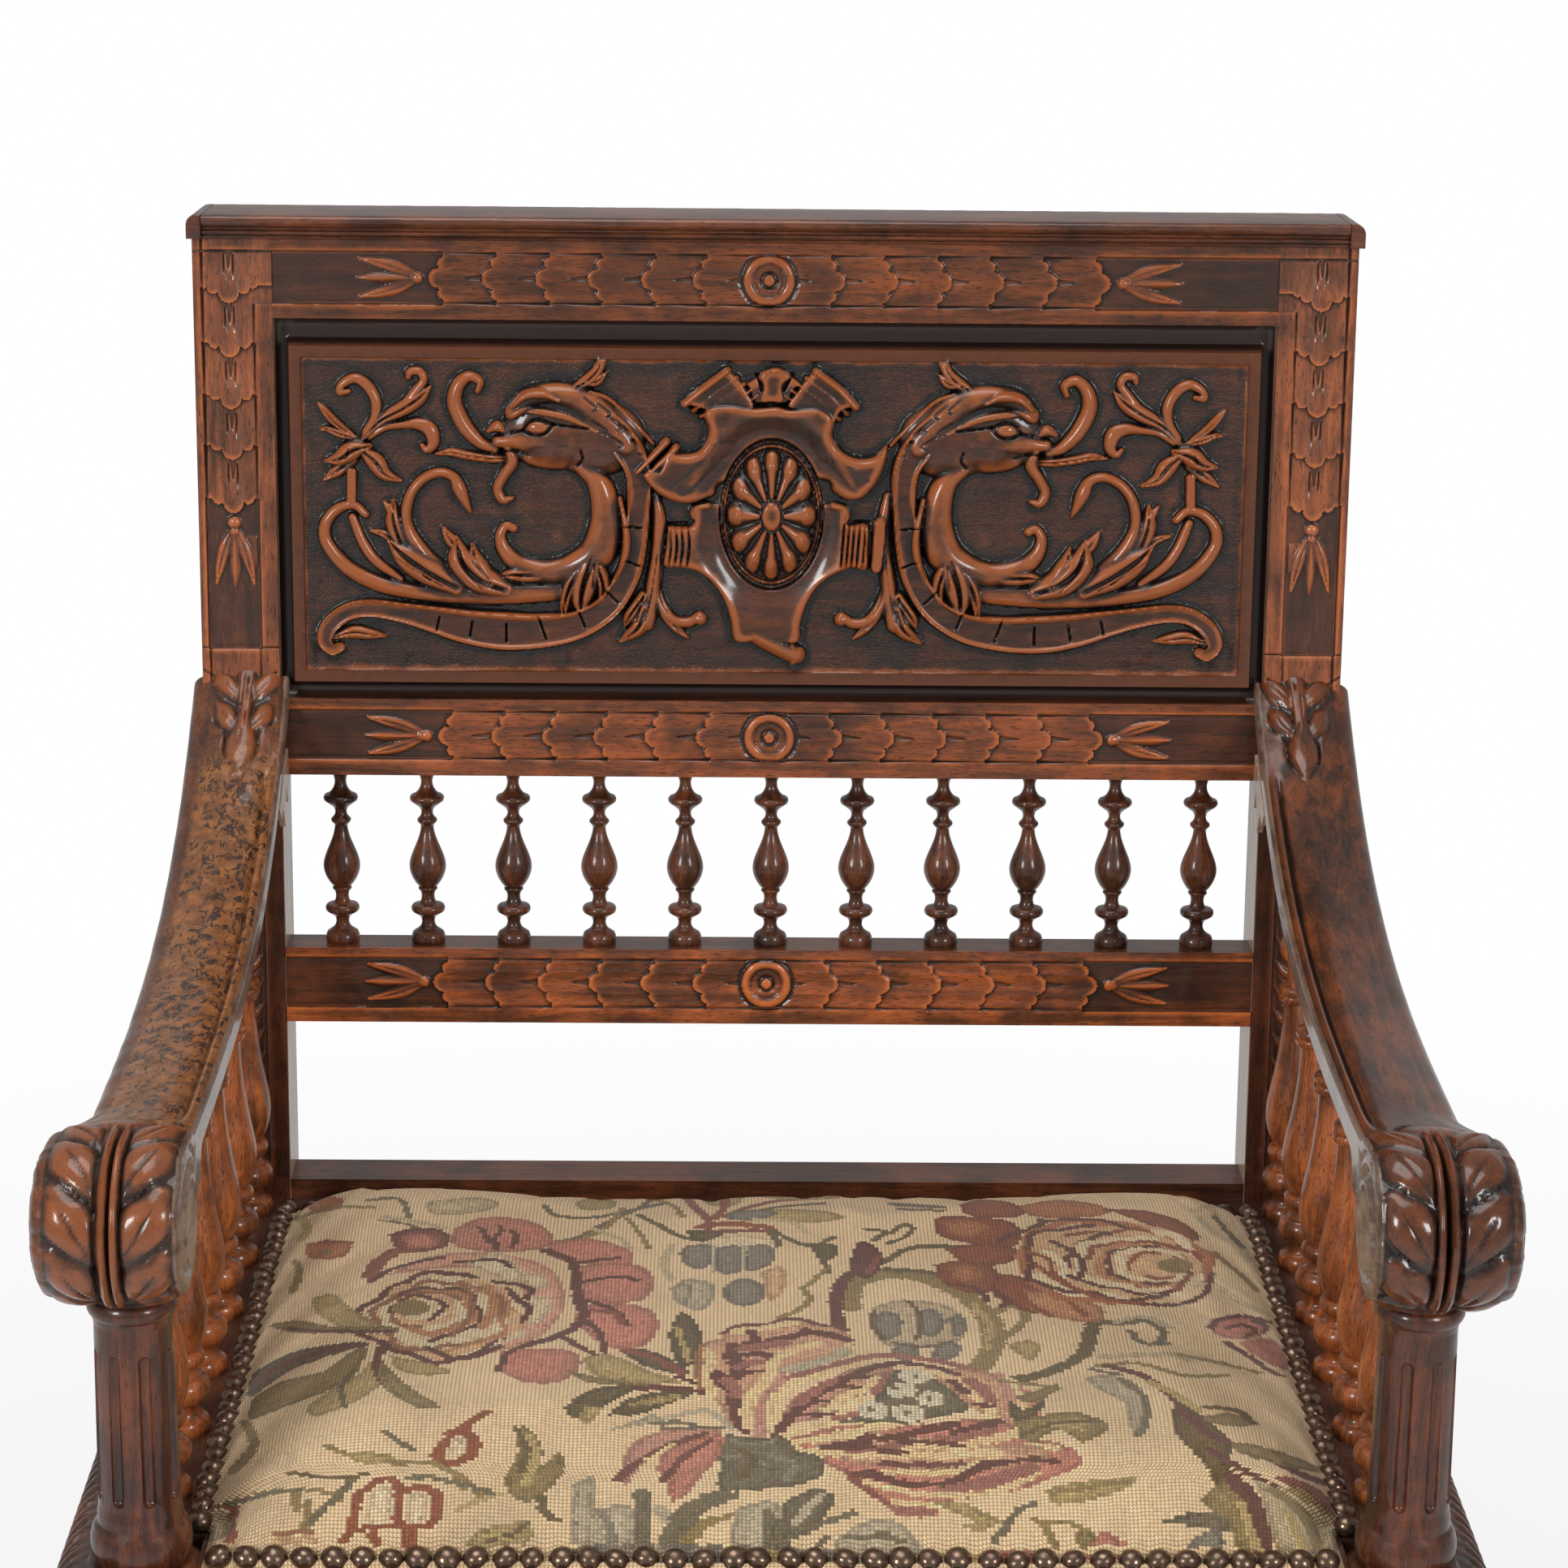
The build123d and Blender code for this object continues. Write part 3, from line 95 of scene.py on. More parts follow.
def curve(points, per_span=7):
    """A smooth path through points. Their further columns, such as widths, are carried along."""
    p = np.array(points, float)
    q = np.vstack([2 * p[0] - p[1], p, 2 * p[-1] - p[-2]])
    t = np.linspace(0, 1, per_span, endpoint=False)[:, None]
    spans = [0.5 * (2 * b + (c - a) * t + (2 * a - 5 * b + 4 * c - d) * t ** 2
                    + (3 * b - a - 3 * c + d) * t ** 3)
             for a, b, c, d in zip(q, q[1:], q[2:], q[3:])]
    return np.vstack(spans + [p[-1:]])


def strokes(text):
    """Lists of points: numbers joined by commas, points apart by spaces and strokes by semicolons."""
    return [[tuple(map(float, point.split(","))) for point in stroke.split()] for stroke in text.split(";")]


def stroke_of(text):
    """The points of one stroke."""
    return strokes(text)[0]


# %% Sections of a stroke
FORMS = {
    "round": lambda r: np.sqrt(np.clip(1 - r * r, 0, 1)),
    "flat": lambda r: smooth((1 - abs(r)) / 0.35),
    "leaf": lambda r: np.sqrt(np.clip(1 - r * r, 0, 1)) * (1 - 0.4 * hump(r, 0.17)),
    "band": lambda r: smooth((1 - abs(r)) / 0.2) * (0.78 + 0.22 * smooth((abs(r) - 0.55) / 0.2)),
    "keel": lambda r: 1 - np.abs(r),
}


# %% Distances, and a field of heights
def nearest(a, b, path):
    """Distance of each place to a path, and whether the closed path goes round it."""
    best, odd = np.full(a.shape, 1e9), np.zeros(a.shape, bool)
    for p, q in zip(path, path[1:]):
        d = q - p
        t = np.clip(((a - p[0]) * d[0] + (b - p[1]) * d[1]) / (d @ d + 1e-9), 0, 1)
        best = np.minimum(best, np.hypot(a - p[0] - t * d[0], b - p[1] - t * d[1]))
        odd ^= ((p[1] > b) != (q[1] > b)) & (a < (b - p[1]) * d[0] / (d[1] + 1e-12) + p[0])
    return best, odd


class Carving:
    """Heights over a board's face, in millimetres, raised and cut by strokes."""

    def __init__(self, xs, vs, ground=0.0):
        self.xs, self.vs = np.array(xs), np.array(vs)
        self.X, self.V = np.meshgrid(self.xs, self.vs)
        self.H = np.full(self.X.shape, float(ground))
        self.marks = {}

    def window(self, low, high):
        """The part of the field between two corners."""
        i0, i1 = np.searchsorted(self.xs, (low[0], high[0]))
        j0, j1 = np.searchsorted(self.vs, (low[1], high[1]))
        return slice(j0, j1 + 1), slice(i0, i1 + 1)

    def beside(self, path, reach=1.0):
        """Near a path: the window, the signed share of the width and the level."""
        path = curve(path)
        edge = path[:, 2].max() * reach + 0.5
        where = self.window(path[:, :2].min(0) - edge, path[:, :2].max(0) + edge)
        X, V = self.X[where], self.V[where]
        best, share, level = (np.full(X.shape, f) for f in (1e9, 9.0, 0.0))
        for a, b in zip(path, path[1:]):
            dx, dv = b[:2] - a[:2]
            span = math.hypot(dx, dv) + 1e-9
            t = np.clip(((X - a[0]) * dx + (V - a[1]) * dv) / span ** 2, 0, 1)
            ex, ev = X - a[0] - t * dx, V - a[1] - t * dv
            far = ex * ex + ev * ev
            near = far < best
            best[near] = far[near]
            ratio = np.sqrt(far) / np.maximum(a[2] + t * (b[2] - a[2]), 0.05)
            ratio = np.copysign(ratio, dx * ev - dv * ex)
            share[near] = ratio[near]
            level[near] = (a[3] + t * (b[3] - a[3]))[near]
        return where, share, level

    def ridge(self, path, form="round", add=False):
        """Raise a stroke of (x, v, half width, height) points, or add it to what is there."""
        where, share, level = self.beside(path)
        lift = np.where(abs(share) < 1, level * FORMS[form](np.clip(share, -1, 1)), 0)
        self.H[where] = self.H[where] + lift if add else np.maximum(self.H[where], lift)

    def groove(self, path):
        """Cut a rounded groove along (x, v, half width, depth) points."""
        where, share, level = self.beside(path, 2.5)
        self.H[where] -= level * np.exp(-2.2 * share * share)

    def grooves(self, paths, width, depth):
        """Cut several grooves of one size."""
        for path in paths:
            self.groove([(x, v, width, depth) for x, v in path])

    def dome(self, x, v, rx, rv, height, add=False, power=0.5, base=0.0):
        """Raise an oval dome."""
        where = self.window((x - rx, v - rv), (x + rx, v + rv))
        e = 1 - ((self.X[where] - x) / rx) ** 2 - ((self.V[where] - v) / rv) ** 2
        lift = np.where(e > 0, base + height * np.clip(e, 0, 1) ** power, 0)
        self.H[where] = self.H[where] + lift if add else np.maximum(self.H[where], lift)

    def inside(self, outline):
        """Signed distance into a closed outline of (x, v) points: positive inside."""
        path = curve([(*p, 0) for p in (*outline, outline[0])], 5)[:, :2]
        far, within = nearest(self.X, self.V, path)
        return np.where(within, far, -far)

    def plate(self, outline, height, edge=2.0):
        """Raise a plate with rounded edges. Its height is a number or a field."""
        deep = self.inside(outline)
        lift = height * np.sqrt(np.clip(1 - (1 - np.clip(deep / edge, 0, 1)) ** 2, 0, 1))
        self.H = np.where(deep > 0, np.maximum(self.H, lift), self.H)
        return deep


print("stroke sections:", ", ".join(FORMS))

# %% [markdown]
# ## From heights to wood
# The field becomes a mesh: a dense front face, walls round its edge and a plain back. Wax gathers
# in the hollows and hands polish what stands out, so each point also stores how far it lies above
# or below its surroundings, and the finish reads that from the mesh.

# %% Blur, for wear and dirt
def blurred(field, cells):
    """A field averaged over a square of cells, twice, which is close to a soft blur."""
    for _ in range(2):
        for axis in (0, 1):
            pad = [(cells + 1, cells) if a == axis else (0, 0) for a in (0, 1)]
            total = np.cumsum(np.pad(field, pad, mode="edge"), axis=axis)
            n = field.shape[axis]
            field = (np.take(total, range(2 * cells + 1, 2 * cells + 1 + n), axis)
                     - np.take(total, range(n), axis)) / (2 * cells + 1)
    return field


# %% Meshes from rows of points
def closed_grid(rows, columns, wrap_columns=False, wrap_rows=False):
    """Quads of a grid of points, numbered row by row."""
    index = np.arange(rows * columns).reshape(rows, columns)
    index = np.pad(index, ((0, int(wrap_rows)), (0, int(wrap_columns))), "wrap")
    a, b, c, d = index[:-1, :-1], index[:-1, 1:], index[1:, 1:], index[1:, :-1]
    return np.stack([a, b, c, d], -1).reshape(-1, 4)


def closed_sheet(rows, cols):
    """A grid, walls down from its rim and a fan that closes the back: the rim's points, quads and fan."""
    ring = np.concatenate([
        np.arange(cols), np.arange(1, rows) * cols + cols - 1,
        (rows - 1) * cols + np.arange(cols - 2, -1, -1), np.arange(rows - 2, 0, -1) * cols])
    n, m = rows * cols, len(ring)
    low = n + np.arange(m)
    following = (np.arange(m) + 1) % m
    walls = np.stack([ring, low, n + following, ring[following]], -1)
    fan = np.stack([n + following, low, np.full(m, n + m)], -1)
    return ring, np.concatenate([closed_grid(rows, cols), walls]), fan


def make_mesh(name, points, quads, triangles=(), marks=None, sharp=None):
    """A smooth-shaded object from points in metres, with marks stored on its points."""
    mesh = bpy.data.meshes.new(name)
    faces = [*np.asarray(quads).tolist(), *np.asarray(triangles).tolist()]
    mesh.from_pydata(np.asarray(points).tolist(), [], faces)
    for title, values in (marks or {}).items():
        layer = mesh.attributes.new(title, "FLOAT", "POINT")
        layer.data.foreach_set("value", np.asarray(values, np.float32).ravel())
    mesh.shade_smooth()
    if sharp:
        mesh.set_sharp_from_angle(angle=math.radians(sharp))
    mesh.validate()
    piece = bpy.data.objects.new(name, mesh)
    bpy.context.scene.collection.objects.link(piece)
    return piece


# %% A carved board
def carved_board(name, field, place, back, columns=slice(None), soft=3, sharp=60):
    """The field, or some of its columns, as a board whose back lies at a given depth."""
    worn = (field.H - blurred(field.H, soft)) * (1 - 0.85 * field.marks.get("rim", 0))
    X, V, H, W = field.X[:, columns], field.V[:, columns], field.H[:, columns], worn[:, columns]
    ring, quads, fan = closed_sheet(*X.shape)
    front = place(X, V, H)
    wall = place(X.ravel()[ring], V.ravel()[ring], np.full(len(ring), float(back)))
    hub = place(np.array([X.mean()]), np.array([V.mean()]), np.array([float(back)]))
    fields = {title: values[:, columns] for title, values in field.marks.items()}
    marks = {title: np.concatenate([values.ravel(), np.zeros(len(ring) + 1)])
             for title, values in (*fields.items(), ("lift", W), ("height", H))}
    piece = make_mesh(name, np.concatenate([front, wall, hub]), quads, fan, marks, sharp)
    print(name, "-", len(quads) * 2 + len(fan), "triangles")
    return piece


def outward(piece, weld=False):
    """Point a closed mesh's faces outwards, after welding its doubles, and count its open edges."""
    work = bmesh.new()
    work.from_mesh(piece.data)
    if weld:
        bmesh.ops.remove_doubles(work, verts=work.verts, dist=1e-5)
    bmesh.ops.recalc_face_normals(work, faces=work.faces)
    work.to_mesh(piece.data)
    open_edges = sum(len(edge.link_faces) != 2 for edge in work.edges)
    work.free()
    return open_edges


def dress(piece, slot, material, *nodes):
    """Give a piece its finish, its body and the frame nodes that it stands for."""
    piece.data.materials.clear()
    piece.data.materials.append(material)
    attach(piece, "root")
    if nodes:
        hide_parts(*nodes)
    return piece

# %% [markdown]
# ## Finishes
# Old waxed walnut is never one brown: bands of figure run along the board, short dark pores follow
# them, wax and dust blacken the hollows, and rubbed edges go orange. Painting that by hand would
# not follow a changed carving, so noise stretched along the grain and the stored marks drive it.
# The effects are node groups, built once, and each finish places them with its own numbers.

# %% A small way to write node trees
class Nodes:
    """Adds nodes to a tree and joins their sockets as they are made. Shader nodes go by their short names."""

    def __init__(self, tree):
        self.tree = tree

    def __call__(self, kind, inputs=None, **settings):
        node = self.tree.nodes.new(kind if "Node" in kind else "ShaderNode" + kind)
        for key, value in settings.items():
            setattr(node, key, value)
        return self.fed(node, inputs or {})

    def fed(self, node, inputs):
        """A node whose inputs get sockets, other nodes' first outputs or plain values."""
        for key, value in inputs.items():
            if isinstance(value, bpy.types.Node):
                value = value.outputs[0]
            if isinstance(value, bpy.types.NodeSocket):
                self.tree.links.new(value, node.inputs[key])
            else:
                node.inputs[key].default_value = value
        return node

    def math(self, operation, a, b=0.0, clamp=False):
        return self("Math", {0: a, 1: b}, operation=operation, use_clamp=clamp)

    def times(self, a, b, clamp=False):
        return self.math("MULTIPLY", a, b, clamp)

    def mix(self, factor, a, b, blend="MIX"):
        return self("Mix", {0: factor, 6: a, 7: b}, data_type="RGBA", blend_type=blend).outputs[2]

    def ramp(self, value, low, high):
        """0 below low, 1 above high and smooth between."""
        return self("MapRange", {0: value, 1: low, 2: high}, interpolation_type="SMOOTHSTEP")

    def noise(self, vector, scale, detail=3.0, rough=0.55, distort=0.0):
        return self("TexNoise", {"Vector": vector, "Scale": scale, "Detail": detail,
                                 "Roughness": rough, "Distortion": distort})

    def place(self, vector, scale, turn=(0, 0, 0)):
        return self("Mapping", {"Vector": vector, "Scale": scale, "Rotation": turn})

    def mark(self, name):
        return self("Attribute", attribute_name=name).outputs["Fac"]

    def end(self, shader, output="OutputMaterial"):
        self.fed(self(output), {0: shader})


def empty(owner):
    """The Nodes of a material or world whose tree is cleared."""
    owner.use_nodes = True
    owner.node_tree.nodes.clear()
    return Nodes(owner.node_tree)


def group(name, inputs, outputs, kind="ShaderNodeTree"):
    """A node group whose sockets are given as "title type, ...": its tree, Nodes, inputs and output node."""
    tree = bpy.data.node_groups.new(name, kind)
    for way, sockets in (("INPUT", inputs), ("OUTPUT", outputs)):
        for socket in sockets.split(", "):
            title, of = socket.split()
            tree.interface.new_socket(title, in_out=way, socket_type="NodeSocket" + of)
    return tree, Nodes(tree), tree.nodes.new("NodeGroupInput").outputs, tree.nodes.new("NodeGroupOutput")


# %% Group: figure and pores of walnut
figure, n, given, result = group(
    "walnut figure", "Place Vector, Along Vector, Dark Color, Light Color", "Color Color, Pores Float, Figure Float")
grain = n("VectorMath", {0: given["Place"], 1: given["Along"]}, operation="MULTIPLY")
bands = n.noise(grain, 150.0, 5.0, 0.62, 0.8)
cloud = n.noise(given["Place"], 22.0, 3.0, 0.5)
fine = n.noise(grain, 900.0, 2.0, 0.5)
pores = n.ramp(n.noise(grain, 1900.0, 1.0, 0.4), 0.58, 0.70)
tone = n.math("ADD", n.times(bands, 0.9), n.times(cloud, 0.55))
tone = n.ramp(n.math("ADD", tone, n.times(fine, 0.25)), 0.55, 1.15)
colour = n.mix(tone, given["Dark"], given["Light"])
colour = n.mix(pores, colour, n.mix(0.65, colour, (0.012, 0.006, 0.004, 1)))
n.fed(result, {"Color": colour, "Pores": pores, "Figure": tone})

# %% Group: wear and dirt from the carving's marks
patina, n, given, result = group(
    "patina", "Place Vector, Wood Color, Worn Color, Dirt Color, Wear Float, Soot Float, Stain Float",
    "Color Color, Polish Float")
lift = n.mark("lift")
uneven = n.noise(given["Place"], 160.0, 4.0, 0.6)
patches = n.ramp(n.noise(given["Place"], 26.0, 4.0, 0.62), 0.47, 0.64)
rubbed = n.ramp(n.math("ADD", lift, n.times(n.math("SUBTRACT", uneven, 0.5), 0.7)), 0.03, 0.75)
sunk = n.ramp(n.math("SUBTRACT", n.times(uneven, 0.5), lift), 0.3, 0.95)
base = n.mix(n.times(patches, given["Stain"]), given["Wood"], given["Dirt"])
base = n.mix(n.times(rubbed, given["Wear"], True), base, given["Worn"])
base = n.mix(n.times(sunk, given["Soot"], True), base, given["Dirt"])
n.fed(result, {"Color": base, "Polish": n.math("SUBTRACT", rubbed, sunk, True)})


# %% Walnut in its several moods
GRAIN = {"x": (0.09, 1.0, 1.0), "y": (1.0, 0.09, 1.0), "z": (1.0, 1.0, 0.09)}


def walnut(name, along="x", dark=(0.045, 0.017, 0.010), light=(0.28, 0.090, 0.026), worn=(0.44, 0.150, 0.045),
           dirt=(0.014, 0.010, 0.009), wear=0.8, soot=0.9, stain=0.35, rough=(0.42, 0.24), bump=0.25,
           extra=None):
    """A waxed walnut finish with the grain along one axis. extra(n, place, colour, height) adds to it."""
    material = bpy.data.materials.new(name)
    n = empty(material)
    place = n("TexCoord").outputs["Object"]
    wood = n("Group", {"Place": place, "Along": GRAIN[along], "Dark": (*dark, 1), "Light": (*light, 1)},
             node_tree=figure)
    aged = n("Group", {"Place": place, "Wood": wood.outputs["Color"], "Worn": (*worn, 1),
                       "Dirt": (*dirt, 1), "Wear": wear, "Soot": soot, "Stain": stain}, node_tree=patina)
    worn_colour = n.mix(0.45, aged.outputs["Color"], wood.outputs["Color"], "SOFT_LIGHT")
    height = n.math("SUBTRACT", n.times(wood.outputs["Figure"], 0.5),
                    n.times(wood.outputs["Pores"], 0.8))
    if extra:
        worn_colour, height = extra(n, place, worn_colour, height)
    gloss = n("MapRange", {0: n.math("ADD", aged.outputs["Polish"], n.times(wood.outputs["Pores"], -0.4)),
                           1: 0.0, 2: 1.0, 3: rough[0], 4: rough[1]})
    relief = n("Bump", {"Strength": bump, "Distance": 0.0004, "Height": height})
    shader = n("BsdfPrincipled", {"Base Color": worn_colour, "Roughness": gloss, "Normal": relief,
                                  "Specular IOR Level": 0.28, "Coat Weight": 0.55, "Coat Roughness": 0.12})
    n.end(shader)
    return material


def plain_walnut(name, along, dark, light, stain, rough=(0.42, 0.24), extra=None):
    """The finish of a piece without carving, which has no marks of wear and dirt."""
    return walnut(name, along, dark, light, wear=0, soot=0, stain=stain, rough=rough, extra=extra)


def punched(n, place, colour, height):
    """Darkens the border and the channel round the field where the rim mark is set, which gives the border its dark
    tone and paints shade into the deep channel, and adds the matting punch's dots to a carved ground, where the ground
    mark is set.
    """
    ground = n.mark("ground")
    # painted shade: the rim mark darkens the deep channel round the field, and the same mark gives the flat border its
    # dark tone
    colour = n.mix(n.times(n.mark("rim"), 0.68), colour, (0.026, 0.010, 0.007, 1))
    dots = n("TexVoronoi", {"Vector": n.place(place, (1, 1, 1)), "Scale": 620.0, "Randomness": 0.8}).outputs["Distance"]
    dent = n.times(n.ramp(dots, 0.55, 0.12), ground)
    colour = n.mix(n.times(n.ramp(dots, 0.15, 0.5), n.times(ground, 0.6)), colour,
                   n.mix(0.5, colour, (0.01, 0.007, 0.006, 1)))
    return colour, n.math("SUBTRACT", height, n.times(dent, 5.0))


panel_walnut = walnut("walnut of the panel", "x", dark=(0.035, 0.015, 0.010), light=(0.165, 0.053, 0.019),
                      wear=0.95, soot=1.0, stain=0.3, extra=punched)
print("finishes:", len(bpy.data.materials), "groups:", len(bpy.data.node_groups))

# %% [markdown]
# ## The carved panel
# The panel is one board: an oval boss in a strapwork cartouche, with a dolphin on each side whose
# tail breaks into leaves. A carver draws one dolphin and turns the paper over for the other, so the
# strokes below are one dolphin's, and its field of heights is mirrored. The ground is punched.

# %% The field: fine over the ornament and coarse at the plain edges
STEP = 0.66
FIELD = (-248.0, 248.0, 276.0, 452.0)
PANEL = (-HALF_INSIDE, HALF_INSIDE, 267.5, 464.8)
across = np.arange(STEP / 2, 238, STEP)
across = np.concatenate([across, [239.5, 240.6, 241.4, 244.5, 247, 247.7, 248.1, 249.4, 251.5, 253.5, HALF_INSIDE]])
up = np.concatenate([[267.5, 269.3, 271.5, 273.8, 275.8, 276.1, 276.9, 280, 282.6, 283.4, 285],
                     np.arange(286.5, 443, STEP),
                     [444.6, 445.4, 448.5, 451, 451.8, 452.2, 453.8, 456, 459, 462, 464.8]])
panel = Carving(np.concatenate([-across[::-1], across]), up)

# %% Stems and leaves of one dolphin: (x, v, half width, height)
STEMS = {
    "band": strokes("""
    -93,419,8,6 -79,405,9,7 -70,389,7.5,7 -69.5,368,6.5,7 -71,350,6.5,7 -75,334,7,7 -85,318,7.5,7
    -101,308,8.5,6.8 -120,304.5,10,6.5 -140,304.3,11,6.2 -158,306.5,10,5.8 -174,310,8,5.2 -190,313.3,6,4.6
    -206,315.5,5.2,4.2 -218,314,5,4 -227.5,307.5,5,3.9 -231.5,299.5,4.4,3.7 -228,294,3.6,3.5
    -223.5,295,3,3.2"""),
    "round": strokes("""
    -101,392,4,5 -90,382,6.5,7.5 -86,364,8.5,8.5 -90,347,9.5,8.5 -102,338,8,7 -116,335,6.6,6 -130,338.5,5.5,5
    -138,346,4.2,4.5 -140.3,353.5,3.2,4 -137.5,359,2.6,3.6 -133.8,357.8,2.6,3.4; -100,326,5,5 -120,324.5,5.5,5
    -140,323.5,6,5 -160,322.5,5,4.5 -182,323,3,3.5; -150,321,4,4 -175,323,4.6,4.6 -200,327.5,4.6,4.8
    -218,336,4.2,4.8 -229,349,3.8,4.6 -230,359,3.4,4.4 -224,367,3,4.2 -215.5,369.5,2.8,4 -209.5,364.5,2.2,3.4;
    -216,363,2.6,3.4 -211,350,3,3.6 -204,340,3,3.6 -192,331,2.4,3.4; -160,325,6,4 -172,335,6,5 -182,346,5,5.5
    -188.5,360,3.6,5.5 -187,373,3,5.2 -181,382,2.8,5 -172,386.5,2.8,5 -164.5,384.5,3,5 -161,378,4,5.6
    -158,371,2.6,4.4 -155.5,365.5,0.6,2.5; -143,399,3,4 -150,402,3.6,5 -158,410.5,4.4,6 -163,422,4.4,6.5
    -161.5,431,3.8,6 -156,436,3.2,5.2 -150.5,433.5,2.6,4.4 -151.5,428.5,1.6,3.6; -136,401,3.4,6 -134,393,3.6,6
    -138.5,385,3,5.5 -141.5,378.5,3,5 -139,373,3,5 -134.5,373.5,1.4,4; -61,376,2.6,3.5 -59,362,4,5.2
    -59.5,346,4.2,5.6 -62,330,4.4,5.8 -63,318,4.6,6 -66,309,5,6; -62,332,3,4 -58.5,319,3.6,5 -52,311,3.2,5
    -44,309.5,3.2,4.8 -38,313,2.6,4.4; -209,407,2,3.4 -203.5,415,3.2,4.4 -203.5,424,3.2,4.4 -208,431.5,3.2,4.2
    -214,434.5,3,4 -220,431.5,2.6,3.6 -221.5,427.5,2.2,3.4 -217,428,1.6,3; -188,422,3,4 -183,428,2.8,4.2
    -179,434,2.6,4 -181,438.3,2.6,4 -185.5,438,2.4,4 -186.5,435.3,1.6,3.4; -207,404,1.5,3 -199,409.5,2.2,4
    -190,411,2.4,4 -182,411.5,3.6,4.4 -176,408.5,4.4,4.6 -174.5,402,3.6,4.4 -177.5,398.3,2.4,4
    -180,400.5,1.5,3.4; -146.5,408,1.2,4 -141.5,410.5,3.2,6.5 -137.5,408,2,5; -79,374,1.5,7 -75.8,358,2.6,9
    -76,346,2.8,9.4 -80,334,1,8.4"""),
    "leaf": strokes("""
    -91,346,6,8 -96.5,333,8.5,9 -99,322,6.5,8.6 -99,312.5,1,6; -98,338,4,7.6 -104,330,4.6,8 -107.5,319,3,7
    -108,309,0.8,5; -90,338,4,8 -87.5,328,4,8 -89.5,317,1,6; -187,341,3,4.6 -192,352,4.6,5.6 -195,362,4.6,6
    -195,372,1,3.6; -192,358,3,4.4 -196,366,3,4.4 -200,371.5,0.8,3; -163,327,6,6 -177,335,8,8 -189,343.5,7,8
    -198,351.5,1,4.6; -190,347,2,3.6 -199,354,2.6,4 -207,356,0.6,2.6; -138,326,6,6 -151,331.5,8.6,8.6
    -160,341,8.4,9 -163,353,1.2,5; -160,345,4,4.6 -166,352,3.6,4.6 -170,358,0.8,3; -146,330,5,7 -152,340,4.4,7
    -155,349.5,1,4.6; -110,336,6,5.4 -125,334,5.4,6 -134.5,334,3.8,6 -141,333,1,3.6; -200,301,0.8,2.6
    -208,302,3.2,4 -217,303,3.8,4.2 -227,300,1.4,3; -207,400,2,5 -215,398,5.6,7 -222,393.5,4.4,6
    -229.5,392,0.8,3.6; -215,393,3,4 -223,387.5,3.8,4.4 -230.5,382,0.8,2.8; -211,398.5,2.6,5 -204,392,5,6
    -199,385.5,3.8,5 -191,382,0.8,3; -213,404,1.6,3.6 -221,406,2.6,4.6 -228,408.5,1.8,4 -232,408,0.6,2.8;
    -215,405,1.6,3.6 -224,412,2.5,4.6 -229,417.5,2.3,4.2 -232.5,421.5,0.8,3; -211,403,1.6,3.6 -201,413,3.2,4.8
    -190,419,4.4,5 -181,425,4,4.8 -175.5,430.5,0.8,3; -174,396,0.6,2.6 -165,397,2.4,3.8 -157,395.5,2.6,4
    -145,394,2.6,4 -136,394,2,4; -104,430,2,5 -97,433.5,3.4,5.4 -91,439,3.2,5 -87.5,446,2.2,4.2 -86,451.5,0.6,3;
    -99,433,2,4.6 -91,434,2.8,4.8 -86,438.5,0.8,3; -66,316,5,6.6 -70,306.5,5,7.2 -79,299,0.9,4.6; -67,323,3.4,6
    -74,313,3.6,6.4 -76.5,307,0.8,4.4; -57,314,2.6,4.4 -50,306.5,2.8,4.4 -44,301,0.7,3"""),
}
drawn = 0
for form, paths in STEMS.items():
    for path in paths:
        panel.ridge(path, form)
        drawn += 1
panel.ridge([(-216.5, 371, 3, 4), (-216, 386.5, 3, 4)], "flat")
panel.dome(-37.6, 311.4, 3.6, 3.8, 5.2)
print(drawn, "stems and leaves")

# %% The head: a mass, then the jaw, brow, eye and scales
panel.dome(-112, 408, 28, 20, 8.2)
panel.dome(-92, 405, 26, 20, 7.6)
for path in strokes("""
        -104,405,10,8 -119,404,9,8 -131,403.5,6.5,7.5 -141,403,3.6,6; -133,418,5,7 -126,425,6,8 -113,427.5,6.4,8.4
        -100,424,8,8.2 -88,415,9.5,8 -77,402,9,7.6; -134,421,1.5,9 -127,427,3,10.6 -117,428,3.2,10.8
        -110,424.6,1.4,9.4"""):
    panel.ridge(path)
brow = "-136,415.5,1.4,1 -127,419.4,2,1.9 -116,418.6,2,1.9 -104,415.6,1.6,1.5 -91,409,0.9,0.8"
panel.ridge(stroke_of(brow), add=True)
panel.grooves(strokes("""
    -128.5,409 -125,413.6 -119.5,415 -113,412.6; -128.5,409 -123,407 -117,408 -113,412.6; -113,412.6 -104,411.4
    -95,410.5; -134.5,408 -128.5,409; -140,397.5 -133,398.5 -125,396.4; -99,399 -98,394.5 -101,391"""), 0.9, 1.7)
panel.dome(-121, 411, 5, 3.1, 1.5, add=True)
scales = [[(x - 4.5 * c, v + 4.5 * s), (x + 4 * c + 2.6 * s, v - 4 * s + 2.6 * c), (x + 4.6 * c, v - 4.6 * s)]
          for x, v, c, s in stroke_of("""
              -95,423,0.5,0.8 -88,420,0.5,0.8 -90,411,0.6,0.7 -82,413,0.5,0.8 -75,408,0.5,0.8 -82,404,0.6,0.7
              -71,401,0.3,0.9""")]
panel.grooves(scales, 0.8, 1.1)
panel.ridge([(-94, 429, 1.2, 5), (-84, 424.5, 1.2, 4.6), (-72, 413, 1.2, 4.2), (-62, 402, 1, 3.6)])

